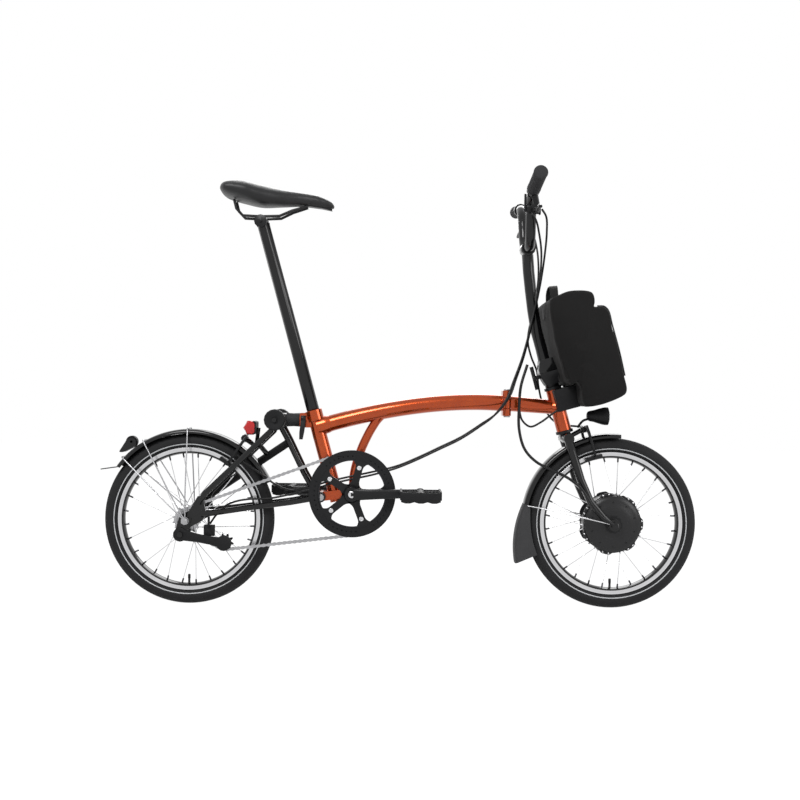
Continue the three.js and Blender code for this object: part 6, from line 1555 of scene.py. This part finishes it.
    def wheels(self) -> None:
        """Sprockets with their carrier and the jockey wheel."""
        shells = []
        axle = (REAR_AXLE[0], REAR_AXLE[2])
        for teeth, middle, phase in ((13, CHAIN_SIDE, self.line.phase(1)), (16, CHAIN_SIDE + 4.9, 0.0)):
            bore = round_outline(axle, 14.6, 40)
            shells.append(prism(toothed(axle, teeth, phase), middle - 1.1, middle + 1.1, holes=[bore]))
        shells.append(spun([(5.4, -51.3), (15, -51.3), (15, -36.4), (5.4, -36.4)], REAR_AXLE, steps=40,
                           hollow=True))
        piece = object_from("sprocket_pair", shells, STEEL, "sprocket_set", bevel=0.2)
        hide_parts("sprockets")
        middle = np.array(JOCKEY)
        holes = [round_outline(middle + [10.6 * math.cos(t), 10.6 * math.sin(t)], 1.7, 8)
                 for t in np.arange(6) * TURN / 6]
        edge = toothed(JOCKEY, self.line.wheels[2][1], self.line.phase(2))
        wheel = prism(edge, CHAIN_SIDE - 1.2, CHAIN_SIDE + 1.2,
                      holes=[round_outline(JOCKEY, 4.4, 20), *holes])
        profile = [(4.4, -45.2), (8.2, -45.2), (8.2, -41.9), (4.4, -41.9)]
        hub = spun(profile, np.array([JOCKEY[0], 0, JOCKEY[1]]), steps=24, hollow=True)
        piece = object_from("jockey_toothed", [wheel, hub], PLASTIC, "jockey", bevel=0.2)
        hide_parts("jockey_wheel")

    def build(self) -> None:
        """Makes the whole drive."""
        self.chain()
        self.chainring()
        self.guard_ring()
        self.spider()
        self.arm(-1)
        self.arm(1)
        self.wheels()
        softened("pedal_left", PLASTIC, "pedal_l", 0.6)
        softened("pedal_right", PLASTIC, "pedal_r", 0.6)
        softened("tensioner_arm", PLASTIC, "tensioner", 1.0)
        softened("chain_pusher", PLASTIC, "pusher", 0.4)
        softened("bottom_bracket", STEEL, "frame", 0.3)


# Mudguards, fork, posts and controls


@dataclass
class Mudguard:
    """Channel section carried round a wheel, with its wire stays and rubber flap."""

    radius: float = 221.5
    half: float = 24.0
    skirt: float = 11.0
    crown: float = 9.0
    inner_crown: float = 8.6
    crown_wall: float = 2.0
    side_wall: float = 2.2
    flap_widening: float = 4.6
    flap_skirt: float = 42.0
    flap_reach: float = 35.5
    wire_radius: float = 1.7

    def section(self, half: float, skirt: float) -> np.ndarray:
        """Crowned channel of one thin wall: width and drop are powers of a quarter turn's cosine and sine.

        Args:
            half: Half of its width.
            skirt: How far its sides reach inward.

        Returns:
            Closed outline of offsets (width, inward).
        """
        turn = np.linspace(0, math.pi / 2, 9)
        drop = 1 - np.sin(turn) ** 0.8
        within = half - self.side_wall
        high, low = self.crown * drop, self.crown_wall + self.inner_crown * drop
        outer = np.vstack([[(half, skirt)], np.stack([half * np.cos(turn) ** 0.55, high], axis=-1)])
        inner = np.vstack([[(within, skirt)], np.stack([within * np.cos(turn) ** 0.6, low], axis=-1)])
        right = np.concatenate([outer, (outer * [-1, 1])[::-1][1:]])
        left = np.concatenate([inner, (inner * [-1, 1])[::-1][1:]])
        return np.concatenate([right, left[::-1]])

    def arc(self, axle: np.ndarray, start: float, end: float, steps: int) -> Shell:
        """Channel from one angle to another round an axle.

        Args:
            axle: Middle of the wheel.
            start: First angle in degrees.
            end: Last angle in degrees.
            steps: Number of sections.

        Returns:
            The closed surface.
        """
        angle = np.radians(np.linspace(start, end, steps))
        shape = self.section(self.half, self.skirt)
        radius = np.broadcast_to(self.radius - shape[None, :, 1], (steps, len(shape)))
        rings = axle + np.stack([radius * np.cos(angle)[:, None],
                                 np.broadcast_to(shape[None, :, 0], radius.shape),
                                 radius * np.sin(angle)[:, None]], axis=-1)
        return skin(rings)

    def front(self) -> None:
        """Front guard and the flap below it, whose width, skirt and reach grow as powers of the way down."""
        channel = self.arc(FRONT_AXLE, 84.5, 172, 64)
        piece = object_from("front_mudguard_channel", [channel], ENAMEL, "steerer", smooth=60)
        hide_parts("front_mudguard")
        angle = np.radians(np.linspace(168, 203, 26))
        share = np.linspace(0, 1, 26)
        rings = []
        for turn, part in zip(angle, share):
            shape = self.section(self.half + 0.4 + self.flap_widening * part,
                                 16 + self.flap_skirt * part ** 0.9)
            radius = self.radius + 0.3 + self.flap_reach * part ** 1.1 - shape[:, 1]
            rings.append(FRONT_AXLE
                         + np.stack([radius * math.cos(turn), shape[:, 0], radius * math.sin(turn)], axis=-1))
        object_from("front_mudguard_flap", [skin(np.array(rings))], FLAP, "steerer", smooth=60)

    def rear(self) -> None:
        """Rear guard with its tail blade, roller cheeks and roller."""
        blade = prism(rounded([(-24, 0), (24, 0), (17, 44), (-17, 44)], 6), 0, 2.4,
                      origin=np.array([-176.5, 0, 337.5]), right=ACROSS,
                      over=np.array([-0.9889, 0, -0.1478]))
        ear = rounded([(-164, 372), (-133, 388), (-134, 404), (-145, 408.6), (-156, 404), (-176, 372)], 6)
        cheeks = [prism(ear, *sorted((side * 8.4, side * 11))) for side in (1, -1)]
        pin = spun([(3.2, -11), (3.2, 11)], MUDGUARD_ROLLER, steps=20)
        shells = [self.arc(REAR_AXLE, 25, 144, 84), blade, *cheeks, pin]
        piece = object_from("rear_mudguard_channel", shells, ENAMEL, "rear", smooth=60)
        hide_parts("rear_mudguard")
        half = [(3.6, -8), (6, -8), (7, -6.4), (12, -6.4), (13, -8), (14, -7.4), (14.5, -6)]
        wheel = spun(half + [(r, -y) for r, y in half[::-1]], MUDGUARD_ROLLER, steps=40, hollow=True)
        piece = object_from("mudguard_roller_wheel", [wheel], PLASTIC, "guard_wheel", smooth=30)
        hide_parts("mudguard_roller")

    def stays(self) -> None:
        """Wire stays bent over the rear guard, with their eyes on the axle, and the flap's two wires."""
        shells = []
        places = [(8, 59.6), (60, 57), (213, 27.5), (222.6, 25.2), (223.8, 20), (223.8, -20), (222.6, -25.2),
                  (213, -27.5), (60, -61.5), (8, -64.4)]
        for degrees in (91, 120.5, 137.5):
            turn = math.radians(degrees)
            route = np.array([REAR_AXLE + [r * math.cos(turn), y, r * math.sin(turn)] for r, y in places])
            shells.append(pipe(route, self.wire_radius, 10, np.array([math.sin(turn), 0, -math.cos(turn)])))
        for low, high in ((58.1, 61.1), (-65.9, -62.9)):
            eye = [(5.4, low), (9.4, low), (9.8, low + 0.5), (9.8, high - 0.5), (9.4, high), (5.4, high)]
            shells.append(spun(eye, REAR_AXLE, steps=32, hollow=True))
        piece = object_from("mudguard_wires", shells, STEEL, "rear", smooth=50)
        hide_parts("mudguard_stays")
        front = []
        for side in (1, -1):
            offsets = np.array([[-14, side * 66.5, 4], [-70, side * 60, 16], [-170, side * 34, 36],
                                [-208, side * 27.0, 42]])
            front.append(pipe(smooth_path(FRONT_AXLE + offsets, 8), 1.5, 8))
        object_from("front_guard_wires", front, ALLOY, "steerer")

    def build(self) -> None:
        """Makes both mudguards."""
        self.front()
        self.rear()
        self.stays()


@dataclass
class Cockpit:
    """Fork, hinge castings, steering post, handlebar, grips, brake levers and shifter."""

    clamp: np.ndarray = field(default_factory=lambda: np.array([829.6, 0.0, 886.0]))
    bar_radius: float = 12.4
    grip_radius: float = 15.4
    rib_height: float = 0.35
    rib_waves: float = 150.0

    def bar_route(self) -> np.ndarray:
        """Route of the handlebar from right to left, a smooth curve through its bends.

        Returns:
            Points along its middle.
        """
        half = [(28, 0, 0), (48, 0, 5), (68, -1, 26), (80, -2, 60), (96, -3, 98), (122, -4, 117),
                (133, -3.8, 119.9), (190, -3, 127), (262, -2, 136)]
        right = [(x, -y, z) for y, x, z in half[::-1]]
        left = [(x, y, z) for y, x, z in half]
        return smooth_path(np.array(right + [(0, 0, 0)] + left, dtype=float) + self.clamp, 9)

    def handlebar(self) -> None:
        """Bent bar, and rubber grips whose radius follows the sign of a sine between their collars."""
        route = self.bar_route()
        piece = object_from("handlebar_bend", [pipe(route, self.bar_radius, 32, FORWARD)], ENAMEL, "post",
                            smooth=40)
        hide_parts("handlebar")
        for side, label in ((1, "left"), (-1, "right")):
            start = self.clamp + [-3.5, side * 153, 122.5]
            end = self.clamp + [-2.1, side * 265, 136.4]
            along = np.linspace(0, 1, 120)
            ribbed = (along > 0.08) & (along < 0.93)
            ribs = self.grip_radius + self.rib_height * np.sign(np.sin(along * self.rib_waves)) * ribbed
            ribs = np.where(along > 0.955, 16.5, np.where(along < 0.03, 16.2, ribs))
            ribs[-3:] = [16.3, 15.4, 12.0]
            length = np.linalg.norm(end - start)
            grip = spun(list(zip(ribs, along * length)), start, end - start, 40)
            piece = object_from(f"grip_{label}_ribbed", [grip], GRIP, "post", smooth=50)
            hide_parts(f"grip_{label}")

    def build(self) -> None:
        """Makes the bar and the grips, and softens what holds them."""
        self.handlebar()
        for node, finish, body in (
                ("steering_post", ENAMEL, "post"), ("post_hinge_base", SATIN, "steerer"),
                ("fork", ENAMEL, "steerer")):
            softened(node, finish, body, 0.8)
        for node, finish, body in (
                ("brake_bracket_left", SATIN, "post"), ("brake_bracket_right", SATIN, "post"),
                ("brake_lever_left", SATIN, "lever_l"), ("brake_lever_right", SATIN, "lever_r"),
                ("shift_trigger", PLASTIC, "trigger"), ("post_hinge_lever", SATIN, "stem_lever"),
                ("frame_hinge_lever", SATIN, "hinge_lever"), ("battery_dock", PLASTIC, "front")):
            softened(node, finish, body, 0.9)


@dataclass
class Lamps:
    """Headlamp with its lens and mirror, and the red tail lamp with its housing."""

    place: np.ndarray = field(default_factory=lambda: np.array([1007.0, 0.0, 474.0]))
    shell: list[tuple[float, float]] = field(default_factory=lambda: [
        (7, -26), (10.5, -24), (13, -19), (14.5, -10), (17.6, 0), (21, 12), (22, 18), (22, 25.6),
        (21.2, 26.2), (19.8, 25), (19.6, 20)])
    mirror: list[tuple[float, float]] = field(default_factory=lambda: [
        (19.4, 25.2), (16, 21.6), (8, 20.8), (1, 20.6), (1, 20.2), (8, 20.4), (19.4, 21.0)])
    lens: list[tuple[float, float]] = field(default_factory=lambda: [
        (20.4, 25.4), (20.2, 26.6), (16, 28.4), (8, 29.6), (1, 29.9), (1, 27.9), (8, 27.6), (16, 26.4),
        (20, 25.4)])

    def build(self) -> None:
        """Makes both lamps: the headlamp's shell, mirror and lens are turned about the line of travel."""
        wire = pipe(smooth_path([[987, 0, 467.5], [972, 0, 462], [963, 0, 452], [958, 0, 445]], 8), 3.0, 12)
        shell = spun(self.shell, self.place, FORWARD, 48)
        piece = object_from("headlamp_shell", [shell, wire], PLASTIC, "steerer", smooth=35)
        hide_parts("headlamp")
        object_from("headlamp_mirror", [spun(self.mirror, self.place, FORWARD, 40)], REFLECTOR, "steerer")
        object_from("headlamp_lens", [spun(self.lens, self.place, FORWARD, 40)], LENS, "steerer")
        softened("tail_lamp", RED_LENS, "rear", 1.6)
        housing = prism(rounded([(156, 420), (164.5, 421), (164.5, 451), (156, 453.6)], 3), -25, 25)
        object_from("tail_lamp_housing", [housing], PLASTIC, "rear", bevel=1.0)


@dataclass
class Cables:
    """Cable outers along their clips."""

    brake_radius: float = 2.5
    motor_radius: float = 3.5
    rear_brake: list[tuple[float, float, float]] = field(default_factory=lambda: [
        (847, -131, 963), (858, -127, 946), (863, -104, 912), (864, -62, 862), (860, -30, 806),
        (852, -20, 757), (840, -21, 700), (826, -25, 640), (818, -30, 612), (800, -42, 562), (784, -54, 520),
        (752, -52, 478), (716, -45, 452), (668, -40, 420), (618, -35, 395), (560, -33, 367), (512, -32, 347),
        (445, -30, 330), (400, -27, 320), (370, -27, 313), (342, -24, 306), (318, -16, 298), (283, -14, 290),
        (250, -22, 284), (215, -31, 298), (185, -35, 320), (150, -37, 345), (121, -35, 369.5)])
    gear: list[tuple[float, float, float]] = field(default_factory=lambda: [
        (817, -106, 965), (836, -99, 945), (848, -80, 912), (856, -62, 868), (856, -40, 808), (850, -27, 757),
        (838, -28, 700), (823, -31, 640), (813, -36, 608), (793, -48, 556), (776, -60, 514), (745, -58, 472),
        (712, -51, 446), (664, -46, 414), (614, -41, 389), (556, -39, 361), (508, -38, 341), (445, -36, 323),
        (400, -33, 313), (370, -32, 306), (342, -29, 299), (318, -22, 289.5), (283, -20, 283),
        (250, -27, 274), (200, -33, 264), (150, -38, 262), (118, -38, 256), (92, -32, 244), (72, -32, 224),
        (58.5, -37, 204), (56.8, -38, 200.3)])
    front_brake: list[tuple[float, float, float]] = field(default_factory=lambda: [
        (846, 132, 963), (857, 127, 945), (864, 98, 905), (864, 58, 860), (860, 28, 808), (852, 20.5, 757),
        (841, 21, 705), (836, 27, 660), (846, 40, 622), (862, 50, 585), (868, 56, 545), (880, 58, 500),
        (905, 57, 462), (937, 46, 450), (967.4, 29.6, 447)])
    motor: list[tuple[float, float, float]] = field(default_factory=lambda: [
        (828, -36, 598), (812, -44, 545), (808, -48, 500), (808, -52, 440), (822, -54, 392), (850, -56, 362),
        (890, -59, 342), (930, -60, 322), (960, -60, 298), (982, -64, 264), (1006, -69, 234),
        (1036, -70.9, 212)])
    dock_lead: list[tuple[float, float, float]] = field(default_factory=lambda: [
        (808, -48, 488), (816, -47, 462), (836, -44, 447), (862, -40, 458), (884, -37, 474),
        (902.4, -35, 487.2)])

    def build(self) -> None:
        """Makes the cables, one piece for each."""
        thin, thick = self.brake_radius, self.motor_radius
        for name, routes, body in (("rear_brake_cable", [(self.rear_brake, thin)], "frame"),
                                   ("gear_cable", [(self.gear, thin)], "frame"),
                                   ("front_brake_cable", [(self.front_brake, thin)], "steerer"),
                                   ("motor_cable", [(self.motor, thick), (self.dock_lead, thin)], "front")):
            shells = [pipe(smooth_path(route, 8), radius, 14) for route, radius in routes]
            piece = object_from(f"{name}_outer", shells, CABLE, body)
            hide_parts(name)


# Stage


@dataclass
class Stage:
    """Pale floor and backdrop, soft lamps and the camera of the photograph, in metres."""

    distance: float = 2.7
    roll: float = 0.64
    lens: float = 49.0
    floor_reach: float = 9.0
    floor_white: float = 1.09
    floor_share: float = 0.88
    world_light: float = 0.38
    soft_lamps: list[tuple] = field(default_factory=lambda: [
        ("key", (-1.2, -2.6, 2.9), 1.6, 88.0), ("fill", (2.6, -1.6, 1.6), 1.8, 32.0),
        ("back", (0.4, 2.6, 2.4), 2.4, 60.0)])

    def seen(self, tree: bpy.types.NodeTree) -> bpy.types.NodeSocket:
        """Tells rays that show a thing from rays that light it.

        Args:
            tree: Node tree that gets the nodes.

        Returns:
            The socket of a value that is 1 for camera, glossy and transmission rays.
        """
        rays = tree.nodes.new("ShaderNodeLightPath")
        direct = maths(tree, "MAXIMUM", rays.outputs["Is Camera Ray"], rays.outputs["Is Glossy Ray"])
        return maths(tree, "MAXIMUM", direct, rays.outputs["Is Transmission Ray"])

    def floor(self) -> None:
        """Floor that looks white from the camera and keeps a faint shadow."""
        mesh = bpy.data.meshes.new("floor")
        reach = self.floor_reach
        mesh.from_pydata([(-reach, -reach, 0), (reach, -reach, 0), (reach, reach, 0), (-reach, reach, 0)], [],
                         [(0, 1, 2, 3)])
        floor = bpy.data.objects.new("floor", mesh)
        bpy.context.scene.collection.objects.link(floor)
        pale = bpy.data.materials.new("Pale floor")
        pale.use_nodes = True
        tree = pale.node_tree
        shader = tree.nodes["Principled BSDF"]
        shader.inputs["Base Color"].default_value = (0.86, 0.86, 0.86, 1)
        shader.inputs["Roughness"].default_value = 0.9
        white = tree.nodes.new("ShaderNodeEmission")
        white.inputs["Strength"].default_value = self.floor_white
        both = tree.nodes.new("ShaderNodeMixShader")
        tree.links.new(maths(tree, "MULTIPLY", self.seen(tree), self.floor_share), both.inputs["Fac"])
        tree.links.new(shader.outputs[0], both.inputs[1])
        tree.links.new(white.outputs[0], both.inputs[2])
        tree.links.new(both.outputs[0], tree.nodes["Material Output"].inputs["Surface"])
        mesh.materials.append(pale)

    def world(self) -> None:
        """White background for the camera and for reflections, a softer level for the light."""
        world = bpy.data.worlds.new("Studio")
        bpy.context.scene.world = world
        world.use_nodes = True
        tree = world.node_tree
        back = tree.nodes["Background"]
        back.inputs["Color"].default_value = (1, 1, 1, 1)
        strength = maths(tree, "MULTIPLY_ADD", self.seen(tree), 1 - self.world_light, self.world_light)
        tree.links.new(strength, back.inputs["Strength"])

    def lamps(self) -> None:
        """Soft round lamps, each turned to the middle of the bicycle."""
        for name, place, size, power in self.soft_lamps:
            light = bpy.data.lights.new(name, "AREA")
            light.shape = "DISK"
            light.size = size
            light.energy = power
            lamp = bpy.data.objects.new(name, light)
            lamp.location = place
            lamp.rotation_euler = (Vector((0, 0, 0.45)) - Vector(place)).to_track_quat("-Z", "Y").to_euler()
            bpy.context.scene.collection.objects.link(lamp)

    def camera(self) -> None:
        """Camera level with the middle of the bicycle, turned a little about its view line."""
        data = bpy.data.cameras.new("camera")
        data.sensor_width = 36.0
        data.lens = self.lens
        camera = bpy.data.objects.new("camera", data)
        bpy.context.scene.collection.objects.link(camera)
        place = Matrix.Translation((0.0015, -self.distance, 0.5085))
        level = Matrix.Rotation(math.pi / 2, 4, "X")
        camera.matrix_world = place @ level @ Matrix.Rotation(math.radians(self.roll), 4, "Z")
        bpy.context.scene.camera = camera

    def build(self) -> None:
        """Makes the stage."""
        bpy.context.scene.view_settings.view_transform = "Standard"
        self.floor()
        self.world()
        self.lamps()
        self.camera()


# Small parts


@dataclass
class SmallParts:
    """Pieces whose solids already have their final form: only their edges are softened."""

    rounding: float = 0.6
    finishes: list[tuple[str, Finish, str]] = field(default_factory=lambda: [
        ("seatpost", ENAMEL, "post_tube"), ("seat_clamp_lever", SATIN, "clamp_lever"),
        ("suspension_block", GRIP, "rear"), ("rear_pivot_pin", STEEL, "frame"),
        ("frame_hinge_pin", STEEL, "frame"), ("rear_axle", STEEL, "rear"),
        ("front_brake_arm_left", SATIN, "brake_front_l"), ("front_brake_arm_right", SATIN, "brake_front_r"),
        ("rear_brake_arm_left", SATIN, "brake_rear_l"), ("rear_brake_arm_right", SATIN, "brake_rear_r"),
        ("roller_left", PLASTIC, "wheel_l"), ("roller_right", PLASTIC, "wheel_r"),
        ("hand_pump", PLASTIC, "rear")])

    def build(self) -> None:
        """Softens each piece."""
        for node, finish, body in self.finishes:
            softened(node, finish, body, self.rounding)


def main() -> None:
    """Builds the bicycle in order."""
    logging.basicConfig(level=logging.INFO, format="%(name)s: %(message)s")
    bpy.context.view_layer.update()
    for assembly in (
            Stage(),
            Wheel("rear", "rear_wheel", REAR_AXLE, REAR_TRACK, 24.0, 27.0, math.radians(62)),
            Wheel("front", "front_wheel", FRONT_AXLE, FRONT_TRACK, 76.0, 26.0, math.radians(9)),
            Motor(), RearHub(), MainFrame(), FrontFrame(), RearFrame(), Drive(), Mudguard(), Cockpit(),
            Lamps(), Cables(), Bag(), Saddle(), SmallParts()):
        LOG.info("Builds %s", type(assembly).__name__)
        assembly.build()
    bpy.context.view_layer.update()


if __name__ == "__main__":
    main()
